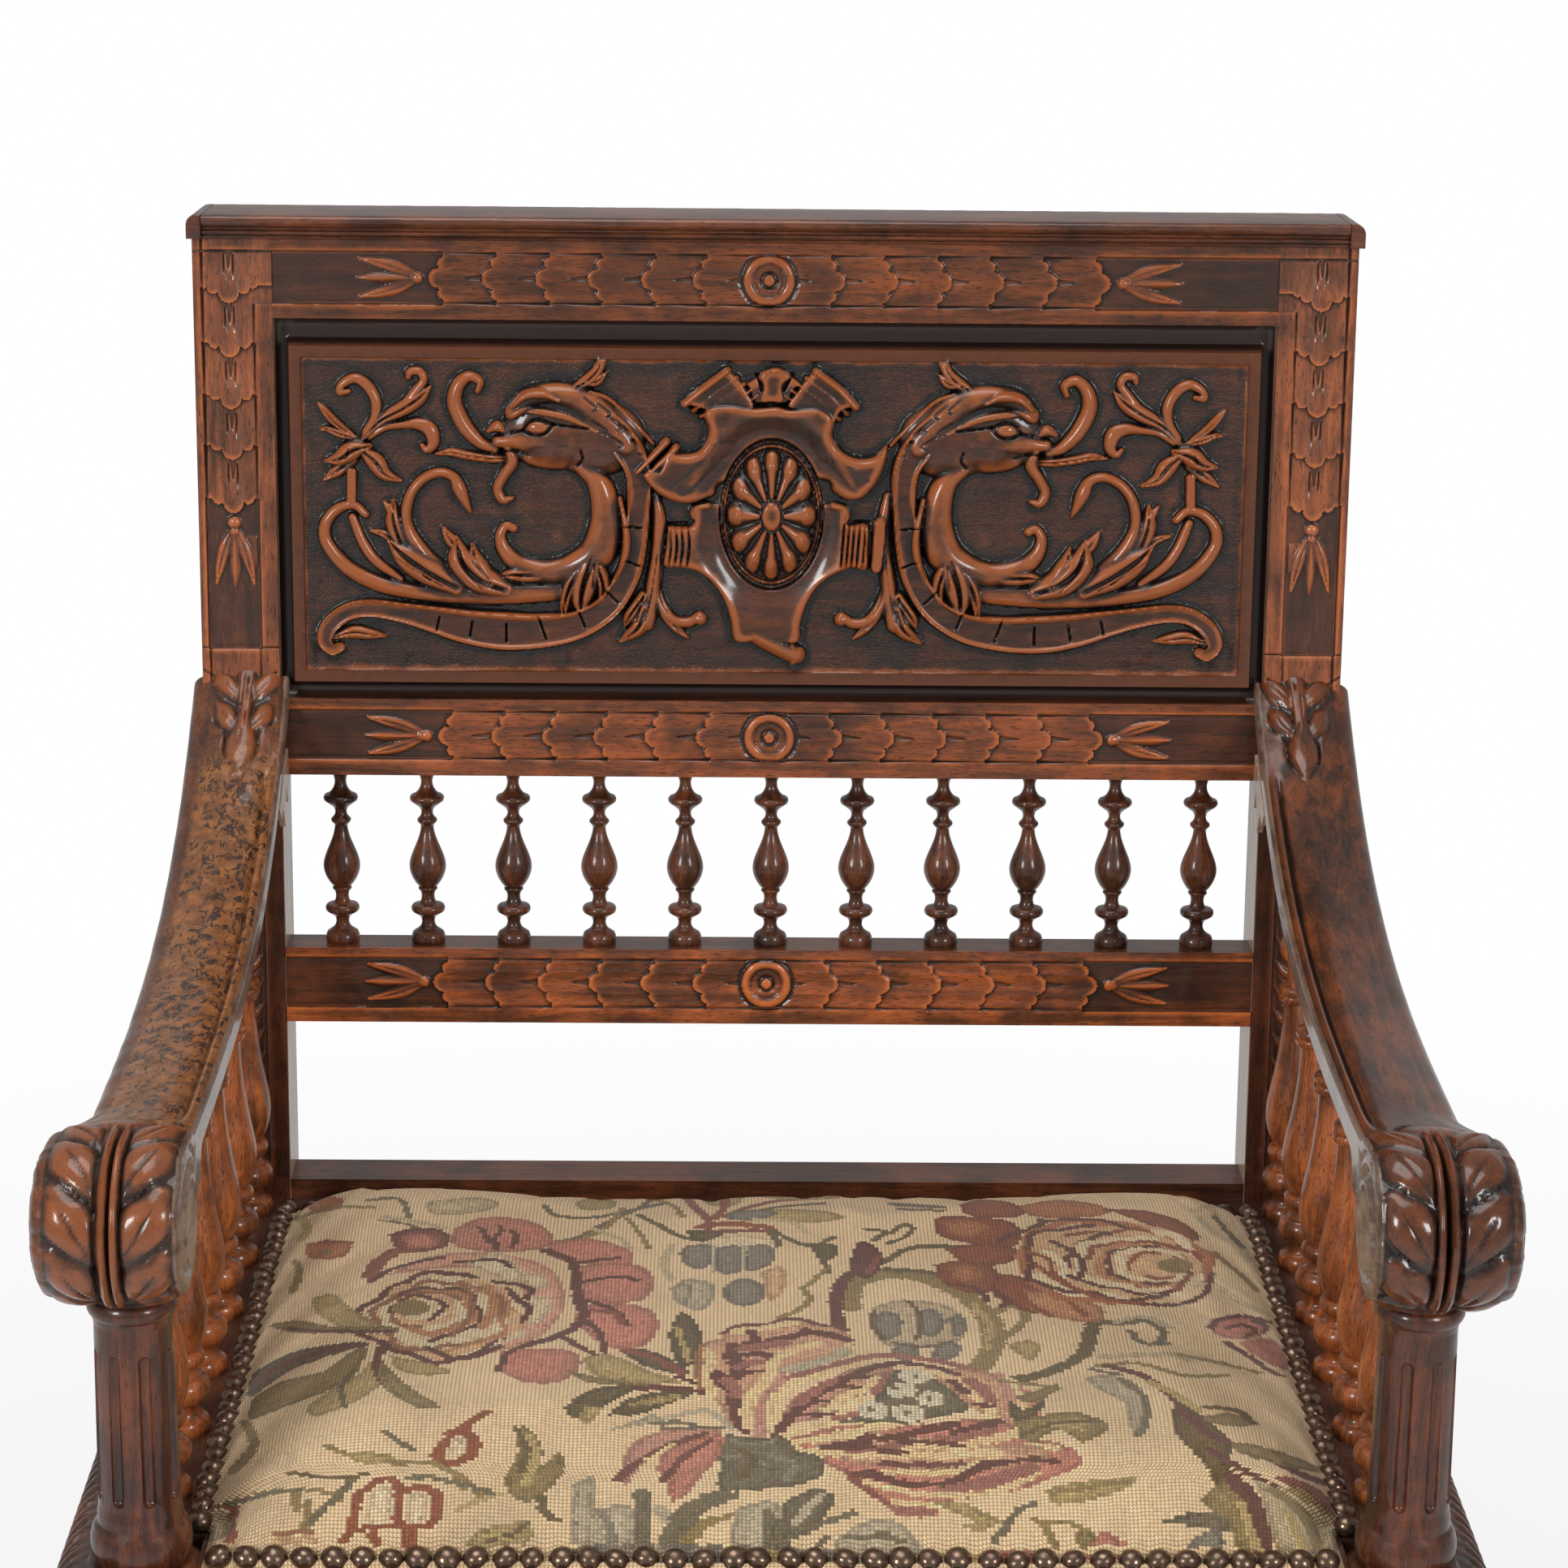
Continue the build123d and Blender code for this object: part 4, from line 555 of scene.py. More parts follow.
# %% Cracks between the tail's plates, and the fold lines on its leaves
panel.grooves(strokes("""
    -172,311.5 -173.5,304.5; -155,309.5 -156.5,301; -137.5,308.5 -137.5,299; -121,312 -117,300.5; -100,315 -97,307;
    -87,327 -80,320; -76.5,342 -68.5,339; -77,360 -68,359"""), 0.55, 2.4)
panel.grooves(strokes("""
    -176,331 -188,341 -195,348; -170,328 -184,336 -193,342; -150,327 -158,337 -161,347; -146,332 -154,341; -94,343
    -98,330 -98.5,318; -92,340 -93,328; -63,345 -66,327 -71,310; -60,345 -62.5,326 -66,311; -57.5,345 -58.5,325
    -54,314; -217,399 -219,394; -206,396 -200,388"""), 0.7, 1.2)

# %% The other dolphin, mirrored about the boss
MIDDLE = -1.4
half = panel.H.copy()
half[:, panel.xs > -20] = 0
for row in range(len(panel.vs)):
    flipped = np.interp(2 * MIDDLE - panel.xs, panel.xs, half[row])
    panel.H[row] = np.where(panel.xs > -20, np.where(panel.xs > 18, flipped, 0), panel.H[row])
print("dolphins up to", round(panel.H.max(), 1), "mm high")

# %% The cartouche: a plate that rises away from the boss, with curled and fluted ends
BOSS = (MIDDLE, 366.0)
oval = np.hypot((panel.X - BOSS[0]) / 28.5, (panel.V - BOSS[1]) / 38.5)
away = (oval - 1) * 33
coved = 2.6 + 5.2 * smooth(away / 17)

hood = stroke_of("""
    -69,387 -64,391 -60,390 -57,396 -53.5,399.6 -47,398 -40,399 -35.6,404 -34.4,411 -37,418 -33,423 -22,424 -10,422
    0,423 7,421.6 20,423 28,420 30.6,414 29.6,408 32,402.5 37,398 44,396 51,397.4 57,402.4 57.4,396 54,386 49,378.6
    44,374.6 37,374 30,378 25,384 0,384 -26,382 -31,375.6 -40,372 -49,371.8 -58,375.4 -65,381""")
skirt = stroke_of("""
    -54.6,360.4 -56,350 -56.6,339 -47,338 -38,335.4 -30.6,329 -25.4,320.6 -22.4,311 -20.4,300.6 -15,299 -8,300
    12,299 14.4,310 17.6,320 23,328.6 31,335 40,338.6 48,338 49,350 48,361.6 38,362 37,370 28,372 0,372 -28,372
    -41,371 -42,361""")
panel.plate(skirt, coved, 2.2)
panel.plate(hood, coved + 0.7, 3.2)

# the rolls' fluted ends at the top, and the crown between them
panel.plate(stroke_of("-47.6,423 -38,431.6 -26,441 -20.6,438 -14.4,430.6 -10.4,421.4 -20,418.4 -30,415 -36.4,420"),
            6.4, 1.6)
panel.plate(stroke_of("42.4,422 34,431 22.4,441 17,438 11,430.6 6,422 16,418.6 28,411.4 34,420"), 6.4, 1.6)
for shift, level in ((0, 8.6), (4.6, 7.6), (8.6, 7.2), (12.2, 6.8), (15.6, 6.4)):
    along = shift * 0.72
    panel.ridge([(-46 + shift, 423 - along, 2.4, level - 1), (-36 + shift, 431.4 - along, 2.5, level),
                 (-24.6 + shift, 440 - along * 1.1, 2.2, level)], "keel" if shift else "round")
    panel.ridge([(41 - shift, 422 - along, 2.4, level - 1), (32.6 - shift, 431 - along, 2.5, level),
                 (20.6 - shift, 440 - along * 1.1, 2.2, level)], "keel" if shift else "round")
panel.plate(stroke_of("-15,433.6 -9.4,437 -6,440.4 5,440.4 9,437 13,433.6 9,430 5.4,423.6 -10,423.6 -13,430"), 4.8, 1.2)
panel.plate(stroke_of("-9,436.6 -5.6,440.6 4.6,440.6 8.4,436.6 4,433 4,424 -7.4,424 -6.6,433"),
            6.6, 1.6)
panel.ridge([(-5.4, 439.4, 1.2, 7), (0, 440.6, 1.6, 7.6), (4.6, 439.4, 1.2, 7)])
panel.grooves(strokes("-9.8,438 -7.8,434 -7,430.6; 8.6,438 6,434 4.4,430.6; -10,422.6 -2,424.2 6,422.6"), 0.9, 2.6)

# rolls at the sides: curled at the hood's left end, fluted below it, with dark hollows between
for a, b in (((-70, 388), (-55.4, 403.4)), ((-64.6, 386.6), (-50.6, 400.4))):
    panel.ridge([(*a, 2, 7.4), (*b, 2.3, 8.6)])
panel.ridge([(52.6, 339.6, 3.4, 8.6), (53.8, 351, 3.5, 9), (54.6, 362.6, 3.3, 8.6)], "flat")
panel.ridge([(50.8, 340, 1.2, 9.2), (52, 362.6, 1.2, 9.2)])
panel.grooves([[(x, 361.6), (x - 0.8, 350), (x - 1.6, 339.4)] for x in (36, 38.6, 41.2, 44, 47)], 0.75, 2.2)
panel.grooves([[(x, 360), (x + 0.6, 350), (x - 0.6, 339.4)] for x in (-53.4, -50.4, -47.4, -44)], 0.75, 1.8)
panel.grooves(strokes("-54,360.6 -43,361; 38,362.4 49,362"), 0.8, 1.4)
panel.ridge([(-34, 370.6, 2, 6), (-39.6, 369.6, 2.4, 6.4), (-41.6, 365.6, 1.8, 5.4), (-38, 361, 1, 4.4)])
panel.ridge([(30, 371, 2, 6), (36, 369, 2.2, 6), (37.4, 364.4, 1.6, 5), (35, 361.6, 1, 4.2)])
panel.grooves(strokes("""
    -27,395 -38,383 -47,377; -31,402 -43,389 -53,381; 27,393 37,382 43,378; 32,398 42,388 49,384"""), 2.2, 0.5)

# the rolled foot and its hollow end
panel.plate(stroke_of("-20,309 -21,301 -15,299.4 -12,302 -12,310 -15,312"), 2.2, 1.5)
panel.ridge([(-14, 306.6, 4.6, 6), (-11, 304.8, 5.2, 8), (0, 298.8, 5.6, 8.6), (11.6, 293, 5.4, 8.6)], "round")
panel.ridge([(9.6, 298.6, 1.2, 8.6), (12.4, 293.6, 1.3, 8.8), (10, 288.6, 1.2, 8)])

# the rings round the boss, then its twelve petals and its button
ring = np.hypot((panel.X - BOSS[0]) / 22.5, (panel.V - BOSS[1]) / 33)
span = (ring - 1) * 28
inside_rings = (span > -1) & (span < 6)
steps = 2.4 + 0.9 * np.cos(span * 2 * math.pi / 2.1) - 1.4 * hump(span - 4.8, 1.1)
panel.H = np.where(inside_rings, steps * smooth((6 - span) / 1.2) + panel.H * smooth((span - 4.8) / 1.2), panel.H)
turn = np.arctan2((panel.V - BOSS[1]) / 33, (panel.X - BOSS[0]) / 22.5) * 12 / (2 * math.pi)
petal = 1 - 2 * abs(turn - np.round(turn))
reach = 0.90 + 0.10 * np.sqrt(np.clip(1 - (1 - petal) ** 2, 0, 1))
full = np.clip(ring / reach, 0, 1)
body = 3.2 + 5.6 * np.sqrt(np.clip(1 - full ** 2.6, 0, 1))
crease = 2.6 * (1 - smooth(petal / 0.9)) * smooth(full / 0.3)
rim = 1.1 * hump(full - 0.80, 0.10) * smooth(petal / 0.5)
panel.H = np.where(ring < reach, body - crease + rim, np.where(ring < 1.0, 1.4, panel.H))
button = np.hypot((panel.X - BOSS[0]) / 5, (panel.V - BOSS[1]) / 7.4)
panel.H = np.where(button < 1.22, 7.2, panel.H)
panel.H = np.where(button < 1, 8.6 + 1.0 * smooth((1 - button) / 0.25), panel.H)
print("cartouche and boss up to", round(panel.H.max(), 1), "mm high")

# %% The ground, the border and the channel round the field
ornament = smooth(panel.H / 1.4)
hand = np.random.default_rng(3)
coarse = hand.normal(size=(60, 160))
rows = np.linspace(0, 58.99, len(panel.vs)).astype(int)
cols = np.linspace(0, 158.99, len(panel.xs)).astype(int)
uneven = blurred(coarse[rows][:, cols], 5)
panel.H += 0.9 * uneven * (1 - 0.7 * ornament)

margin = np.minimum.reduce([panel.X - FIELD[0], FIELD[1] - panel.X, panel.V - FIELD[2], FIELD[3] - panel.V])
border = smooth((7.6 - margin) / 1.0)
panel.H = panel.H * (1 - border) + 2.3 * border
panel.H -= 0.5 * hump(margin - 5.6, 0.5)
outside = smooth((0.6 - margin) / 1.2)
edge = np.minimum.reduce([panel.X - PANEL[0], PANEL[1] - panel.X, panel.V - PANEL[2], PANEL[3] - panel.V])
side = np.minimum(panel.X - PANEL[0], PANEL[1] - panel.X) <= np.minimum(panel.V - PANEL[2], PANEL[3] - panel.V)
channel = -8.0 - 2.5 * smooth(edge / 2.0)
panel.H = panel.H * (1 - outside) + channel * outside
# The rim mark darkens the border and the channel in the panel's finish: the border's own dark tone, and painted shade
# in the deep channel.
panel.marks["rim"] = border
panel.marks["ground"] = (1 - ornament) * (1 - border) * (margin > 7)
panel.H += 0.5

# %% The panel as two boards, joined in the middle where the boss hides the seam
middle = int(np.searchsorted(panel.xs, 0))
for name, columns in (("panel_left", slice(0, middle + 1)), ("panel_right", slice(middle, None))):
    piece = carved_board(name, panel, on_back, -18, columns, soft=4)
    dress(piece, "walnut", panel_walnut, "carved_panel")

# %% [markdown]
# ## Friezes of overlapping scales
# Each rail carries scales that lap outward from a rosette to a bead and a bellflower. Cutting them
# one by one would repeat one idea a hundred times; instead the distance from the rosette says which
# scale a point is on, and how far along it.

# %% The scale pattern
def scale_edge(b):
    """How far a three-lobed scale's edge falls back, b from its middle line."""
    b = abs(b)
    lobes = [(0.0, 5.2, 5.2), (7.7, 3.1, 7.6), (12.3, 3.0, 10.4)]
    falls = [tip - np.sqrt(np.clip(r * r - (b - at) ** 2, 0, None)) + 40 * (abs(b - at) >= r) for at, r, tip in lobes]
    return np.minimum.reduce([*falls, np.full(np.shape(b), 9.0)])


def scales_over(a, b, starts, low=0.7, high=2.2):
    """Heights of scales that lap along a, and where each begins. starts are the tips, inner ones first."""
    height, first = np.full(a.shape, np.nan), scale_edge(b)
    free = a > starts[0] - first
    for near, far in zip(starts, starts[1:]):
        begin, end = near - first, far - first
        on = free & (a <= end)
        share = np.clip((a - begin) / (far - near), 0, 1)
        level = low + (high - low) * share ** 1.3
        ax = a - near
        slit = np.exp(-(b / np.maximum(1.25 * (1 - ax / 12.5), 0.2)) ** 2) * (ax > -0.6) * (ax < 12)
        level -= 1.3 * slit * smooth((ax + 0.6) / 1.0) * smooth((12 - ax) / 4)
        height = np.where(on, level, height)
        free &= ~on
    return height


def bellflower(field, turn, x, v, length, level=2.0):
    """Three petals that point along a direction given in degrees."""
    c, s = math.cos(math.radians(turn)), math.sin(math.radians(turn))
    def at(a, b):
        return x + a * c - b * s, v + a * s + b * c
    for side in (-1, 1):
        field.ridge([(*at(0, side * 2), 2.2, level * 0.7), (*at(0.3 * length, side * 5.2), 3.4, level),
                     (*at(0.62 * length, side * 7.6), 2.7, level), (*at(0.98 * length, side * 9.6), 0.7, level * 0.8)],
                    "leaf")
    field.ridge([(*at(0.05 * length, 0), 2.4, level), (*at(0.35 * length, 0), 3.9, level * 1.25),
                 (*at(0.7 * length, 0), 3.4, level * 1.15), (*at(1.04 * length, 0), 0.6, level * 0.8)], "keel")
    field.dome(*at(-1.5, 0), 3.0, 3.0, level * 1.1)


# %% A rail's frieze between its two plain strips
def frieze(name, low, high, strip_low, strip_high, centre, left, right, beads, flowers):
    """A carved skin for a rail. left and right are the scales' tips, inner ones first."""
    xs = np.linspace(-HALF_INSIDE, HALF_INSIDE, 700)
    vs = np.linspace(low, high, int((high - low) / 0.66))
    rail = Carving(xs, vs, 0.2)
    x0, v0 = centre
    b = rail.V - v0
    for side, tips in ((-1, left), (1, right)):
        a = side * (rail.X - x0)
        starts = [side * (t - x0) for t in tips]
        lap = scales_over(a, b, [starts[0] - 27, *starts])
        rail.H = np.where((a > 0) & ~np.isnan(lap), lap, rail.H)
    for x, (near, far) in zip(beads, flowers):
        rail.dome(x, v0, 3.1, 3.1, 2.6)
        bellflower(rail, 180 if far < near else 0, near, v0, abs(far - near))
    ring = np.hypot(rail.X - x0, rail.V - v0)
    rail.H = np.where(ring < 15.2, 0.2, rail.H)
    rosette = (1.0 + 1.7 * np.sqrt(np.clip(1 - ((ring - 10.6) / 2.6) ** 2, 0, 1)) * (ring > 7.9) * (ring < 13.2))
    rosette = np.where(ring < 7.9, 1.5 - 1.2 * hump(ring - 3.9, 0.9) + 0.9 * (ring < 2.6), rosette)
    rail.H = np.where(ring < 13.2, np.maximum(rosette, 0.2), rail.H)
    strip = np.maximum(smooth((low + strip_low - rail.V) / 0.5 + 0.5), smooth((rail.V - high + strip_high) / 0.5 + 0.5))
    quirk = np.minimum(abs(rail.V - low - strip_low - 0.8), abs(rail.V - high + strip_high + 0.8))
    rail.H = rail.H * (1 - strip) + 1.6 * strip - 0.8 * hump(quirk, 0.5)
    hand = np.random.default_rng(len(name) + int(low))
    rail.H += HAND_UNEVEN * blurred(hand.normal(size=rail.H.shape), 4)
    rail.marks["strip"] = strip
    piece = carved_board(name, rail, on_back, SKIN_BACK)
    return dress(piece, "walnut", frieze_walnut[name])


def darker_where_low(n, place, colour, height):
    """Darkens the colour where the carving lies low, so only what stands up is bright."""
    # darker where the carving lies low, bright where it stands up
    raised = n.ramp(n.math("ADD", n.mark("height"), n.times(n.noise(place, 60, 3, 0.6), 0.4)), 0.35, 1.0)
    return n.mix(raised, n.mix(0.72, colour, (0.018, 0.010, 0.007, 1)), colour), height


def toned_by_painted_light(colour, tone):
    """A colour, lighter or darker by one factor: painted light and shade on a copy of one finish."""
    return tuple(tone * share for share in colour)


# Three copies of one frieze finish, toned by painted light and shade: darker on the crest rail, lighter on the lower
# rail.
frieze_walnut = {}
for rail_name, tone in (("crest_frieze", 0.78), ("mid_frieze", 1.0), ("lower_frieze", 1.24)):
    frieze_walnut[rail_name] = walnut(
        "walnut of the " + rail_name.replace("_", " "), "x", dark=toned_by_painted_light((0.10, 0.033, 0.012), tone),
        light=toned_by_painted_light((0.42, 0.135, 0.038), tone), worn=toned_by_painted_light((0.56, 0.190, 0.055), tone), wear=0.9, soot=0.95,
        stain=0.45, extra=darker_where_low)
frieze("crest_frieze", 464.8, 505, 7.4, 6.2, (-3.6, 485.6), [-42.5, -68.4, -95.5, -122.2, -149.2, -175.9],
       [35.1, 61.9, 89, 115.7, 142.7, 169.7], (-181.4, 175.8), ((-184, -210.7), (178.6, 205)))
frieze("mid_frieze", 226.9, 267.5, 8.2, 6.0, (-1.5, 248), [-39.9, -66.5, -93.1, -119.6, -146.2, -173.6],
       [36.6, 63.7, 90.8, 118.3, 145.3, 172.4], (-179.5, 177), ((-183.6, -210.3), (180.6, 206.3)))
frieze("lower_frieze", 92.6, 133.2, 7.7, 5.4, (-2, 114.6), [-41, -68.4, -95.9, -122.9, -150.3, -177.7],
       [36.2, 63.7, 90.8, 118.7, 146.2, 173.3], (-182.4, 179.3), ((-185.4, -212.4), (183.2, 209.8)))


# %% The stiles' skins: five upright strips, one of them carved
HUSKS_X = 21.8


def stile_board(name, skin, side, finish):
    """A skin laid on a stile's front. On the left its columns turn round, so that its faces point out."""
    if side < 0:
        skin.X, skin.H = skin.X[:, ::-1], skin.H[:, ::-1]
    piece = carved_board(name, skin, lambda x, v, out: on_back(side * (HALF_INSIDE + x), v, out), SKIN_BACK)
    return dress(piece, "walnut", finish)


def stile_skin(name, side):
    """The front of a stile beside the panel; side is -1 on the left."""
    xs = np.arange(0, 40.3, 0.56)
    vs = np.arange(267.5, 505.6, 0.62)
    skin = Carving(xs, vs, 0.2)
    u = skin.X                      # 0 at the panel's side, 40 at the outer edge
    b = u - HUSKS_X
    a = 499 - skin.V
    tips = [499 - v for v in (472, 444.5, 418, 392, 364.5)]
    lap = scales_over(a, b, [-0.5, *tips])
    skin.H = np.where((a > -2) & ~np.isnan(lap), lap, skin.H)
    for edge in (2.3, -2.3):
        for tip in (0, *tips[:-1]):
            skin.groove([(HUSKS_X + edge, 497 - tip, 0.5, 0.8), (HUSKS_X + edge, 490 - tip, 0.8, 0.9),
                         (HUSKS_X + edge * 0.8, 484 - tip, 0.4, 0.4)])
    skin.dome(HUSKS_X, 359.5, 3.7, 3.7, 2.8)
    bellflower(skin, -90, HUSKS_X, 353.6, 26.5, 2.2)
    skin.plate(stroke_of("9,352 14,353 18,351 13,340 8,336"), 0.6, 1)
    lower = smooth((293.5 - skin.V) / 0.6 + 0.5)
    top = smooth((skin.V - 499) / 0.6 + 0.5)
    outer = smooth((u - 36) / 0.6 + 0.5)
    strip = np.maximum.reduce([smooth((8.6 - u) / 0.6 + 0.5) * (skin.V < 472), outer, lower, top])
    level = 1.6 + 0.5 * outer
    skin.H = skin.H * (1 - strip) + level * strip
    quirks = [abs(u - 9.6) + 9 * (skin.V > 472), abs(u - 35.2), abs(skin.V - 294.2), abs(skin.V - 498.4)]
    skin.H -= 0.9 * np.exp(-(np.minimum.reduce(quirks) / 0.5) ** 2)
    skin.groove(stroke_of("2,281,0.9,1.2 11,276,1.1,1.2 21,274,1.2,1.2 31,277,1.1,1.2 40,283,0.9,1.2"))
    hand = np.random.default_rng(11 + side)
    skin.H += HAND_UNEVEN * blurred(hand.normal(size=skin.H.shape), 4)
    return stile_board(name, skin, side, stile_carved)


stile_carved = walnut("carved walnut of the stiles", "z", dark=(0.12, 0.042, 0.018), light=(0.44, 0.160, 0.060),
                      worn=(0.54, 0.20, 0.075), wear=0.9, soot=0.9, stain=0.4, extra=darker_where_low)
stile_skin("stile_skin_left", -1)
stile_skin("stile_skin_right", 1)


def lower_skin(name, side):
    """The stile's front beside the seat: a dark strip, a cord of overlapping husks and a plain strip."""
    skin = Carving(np.arange(0.6, 39.7, 0.78), np.arange(6, 214, 0.9), 0.2)
    for tip in np.arange(12, 212, 13.4):
        skin.ridge([(12.5, tip + 9, 1.0, 0.8), (17, tip + 3, 2.2, 1.7), (23, tip + 1, 1.6, 1.2),
                    (24.6, tip + 6, 0.6, 0.5)])
        skin.groove([(12, tip + 6.6, 0.6, 0.9), (17, tip - 0.6, 0.7, 1.1), (24, tip - 2.4, 0.6, 0.9)])
    strip = np.maximum(smooth((10.6 - skin.X) / 0.6 + 0.5), smooth((skin.X - 26.4) / 0.6 + 0.5))
    skin.H = skin.H * (1 - strip) + 1.5 * strip
    skin.H -= 0.9 * np.exp(-(np.minimum(abs(skin.X - 11.4), abs(skin.X - 25.6)) / 0.5) ** 2)
    return stile_board(name, skin, side, stile_low)


stile_low = walnut("darkened walnut low on the stiles", "z", dark=(0.05, 0.019, 0.011), light=(0.20, 0.066, 0.026),
                   worn=(0.34, 0.115, 0.045), wear=0.8, soot=0.9, stain=0.5)
lower_skin("lower_skin_left", -1)
lower_skin("lower_skin_right", 1)

# %% [markdown]
# ## The crest's moulding
# A moulding is one outline pushed along a line. It keeps the frame's board behind it but has the
# small beads and quirks that a scratch stock leaves, and plain blocks stand at its ends.

# %% The moulding and its end blocks
def swept(name, section, stations, sharp=35, marks=None):
    """A closed outline placed at each station and capped at both ends. A station turns the section into points."""
    rings = [station(section) for station in stations]
    rows, cols = len(rings), len(section)
    points = np.concatenate([*rings, rings[0].mean(0)[None], rings[-1].mean(0)[None]])
    quads = closed_grid(rows, cols, True)[:, ::-1]
    ring = np.arange(cols)
    last = (rows - 1) * cols
    caps = np.concatenate([
        np.stack([ring, (ring + 1) % cols, np.full(cols, rows * cols)], -1),
        np.stack([last + (ring + 1) % cols, last + ring, np.full(cols, rows * cols + 1)], -1)])
    return make_mesh(name, points, quads, caps, marks, sharp)


cap_outline = np.array(stroke_of("""
    -46,505 4,505 5.2,505.6 5.6,506.4 4.4,506.8 4.4,507.2 6.6,507.4 7.2,508 7.2,508.9 6.4,509.4 5.6,509.9 5.8,510.6
    7,511.2 8.2,512 9,513 9.4,514 9.4,515.2 8.8,516.2 7.6,516.9 6,517.2 -46,517.2"""))
xs = [-289, *np.arange(-285, 286, 5.0), 289]
wobble = np.random.default_rng(5).normal(0, 0.05, (len(xs), 2))


def cap_station(i, x):
    return lambda s: on_back(np.full(len(s), x), s[:, 1] + wobble[i, 0], s[:, 0] + wobble[i, 1])


cap_walnut = plain_walnut("walnut of the crest", "x", (0.07, 0.025, 0.013), (0.26, 0.090, 0.036), 0.45, (0.36, 0.3))
piece = swept("crest_moulding", cap_outline, [cap_station(i, x) for i, x in enumerate(xs)])
dress(piece, "walnut", cap_walnut, "crest_cap")

for side in (-1, 1):
    corner = [(291.5 + 5.3 * math.sin(t), 512.0 + 5.3 * math.cos(t)) for t in np.linspace(0, math.pi / 2, 7)]
    outline = np.array([(289.2, 505), (289.2, 517.3), *corner, (296.8, 505)])
    layers = stroke_of("-46,0.4 -45.6,0 8,0 8.9,0.25 9.3,0.9")
    centre = outline.mean(0)

    def block_station(out, inset, side=side):
        def place(s):
            s = s + (centre - s) * inset / 6
            return on_back(side * s[:, 0], s[:, 1], np.full(len(s), out))
        return place
    section = outline if side < 0 else outline[::-1]
    piece = swept("crest_block_" + ("left" if side < 0 else "right"), section, [block_station(*l) for l in layers])
    dress(piece, "walnut", cap_walnut)
print("crest moulding and two end blocks")

# %% [markdown]
# ## The arms
# Each arm sweeps down from its stile, runs level and rolls over into a scroll. It is sawn from one
# plank, so its side outline is one closed line; the mesh follows that line and spreads across the
# width, with the leaves carved as heights over the line, and it closes in the middle of both sides.

# %% The side outline
ARM_IN, ARM_OUT, SCROLL_IN, SCROLL_OUT = 250.5, 300.5, 250.0, 311.5
ROOT, SWEEP, LEVEL, RISE, THICK = -14.0, 354.0, 626.0, 94.0, 30.0
CENTRE, SCROLL_R = np.array([418.0, 598.0]), 33.0
STEP_S = 1.5


def arm_height(d):
    """Top of the arm at a depth in front of the back."""
    return LEVEL + RISE * np.clip(1 - (d - ROOT) / SWEEP, 0, 1) ** 3


fine_d = np.linspace(ROOT, CENTRE[0], 3000)
fine_z = arm_height(fine_d) + 5.0 * smooth((fine_d - 350) / 66)
walk = np.concatenate([[0], np.cumsum(np.hypot(np.diff(fine_d), np.diff(fine_z)))])
count = int(walk[-1] / STEP_S)
top_d = np.interp(np.linspace(0, walk[-1], count), walk, fine_d)
top_z = np.interp(top_d, fine_d, fine_z)
meet = int(np.searchsorted(top_d, CENTRE[0] - SCROLL_R))
top = np.stack([top_d, top_z], 1)
turns = np.radians(np.arange(90 - 2.6, -175, -2.6))
roll = CENTRE + SCROLL_R * np.stack([np.cos(turns), np.sin(turns)], 1)
under_d = top_d[:meet][::-1]
under = np.stack([under_d, arm_height(under_d) - THICK], 1)
middle_line = np.stack([top_d[:meet], (top_z[:meet] + under[::-1, 1]) / 2], 1)
outline = np.concatenate([top, roll, under])
cores = np.concatenate([middle_line, np.repeat(CENTRE[None], len(top) - meet + len(roll), 0), middle_line[::-1]])
along_s = np.concatenate([[0], np.cumsum(np.hypot(*np.diff(outline, axis=0).T))])
tangent = np.gradient(outline, axis=0)
tangent /= np.hypot(*tangent.T)[:, None]
normal = np.stack([-tangent[:, 1], tangent[:, 0]], 1)
TOP_END, ROLL_END = len(top), len(top) + len(roll)
S_SCROLL = along_s[TOP_END]
print("arm outline", len(outline), "stations, scroll from", round(S_SCROLL), "to", round(along_s[ROLL_END]), "mm along")

# %% The width, and where the upper face is rounded into the sides
grown = smooth((outline[:, 0] - 350) / 50)
low_x = ARM_IN + (SCROLL_IN - ARM_IN) * grown
high_x = ARM_OUT + (SCROLL_OUT - ARM_OUT) * grown
undercut = 12.0 * smooth((372 - outline[:, 0]) / 40) * (np.arange(len(outline)) >= ROLL_END)
low_x = low_x + undercut
is_top = 1 - smooth((along_s - S_SCROLL - 85) / 20)
round_out = 2.5 + 7.5 * is_top * (1 - 0.55 * grown)
round_in = 1.6 + 0.8 * is_top
across_u = np.concatenate([np.linspace(-1, -0.56, 13), np.linspace(-0.52, 1, 34)])


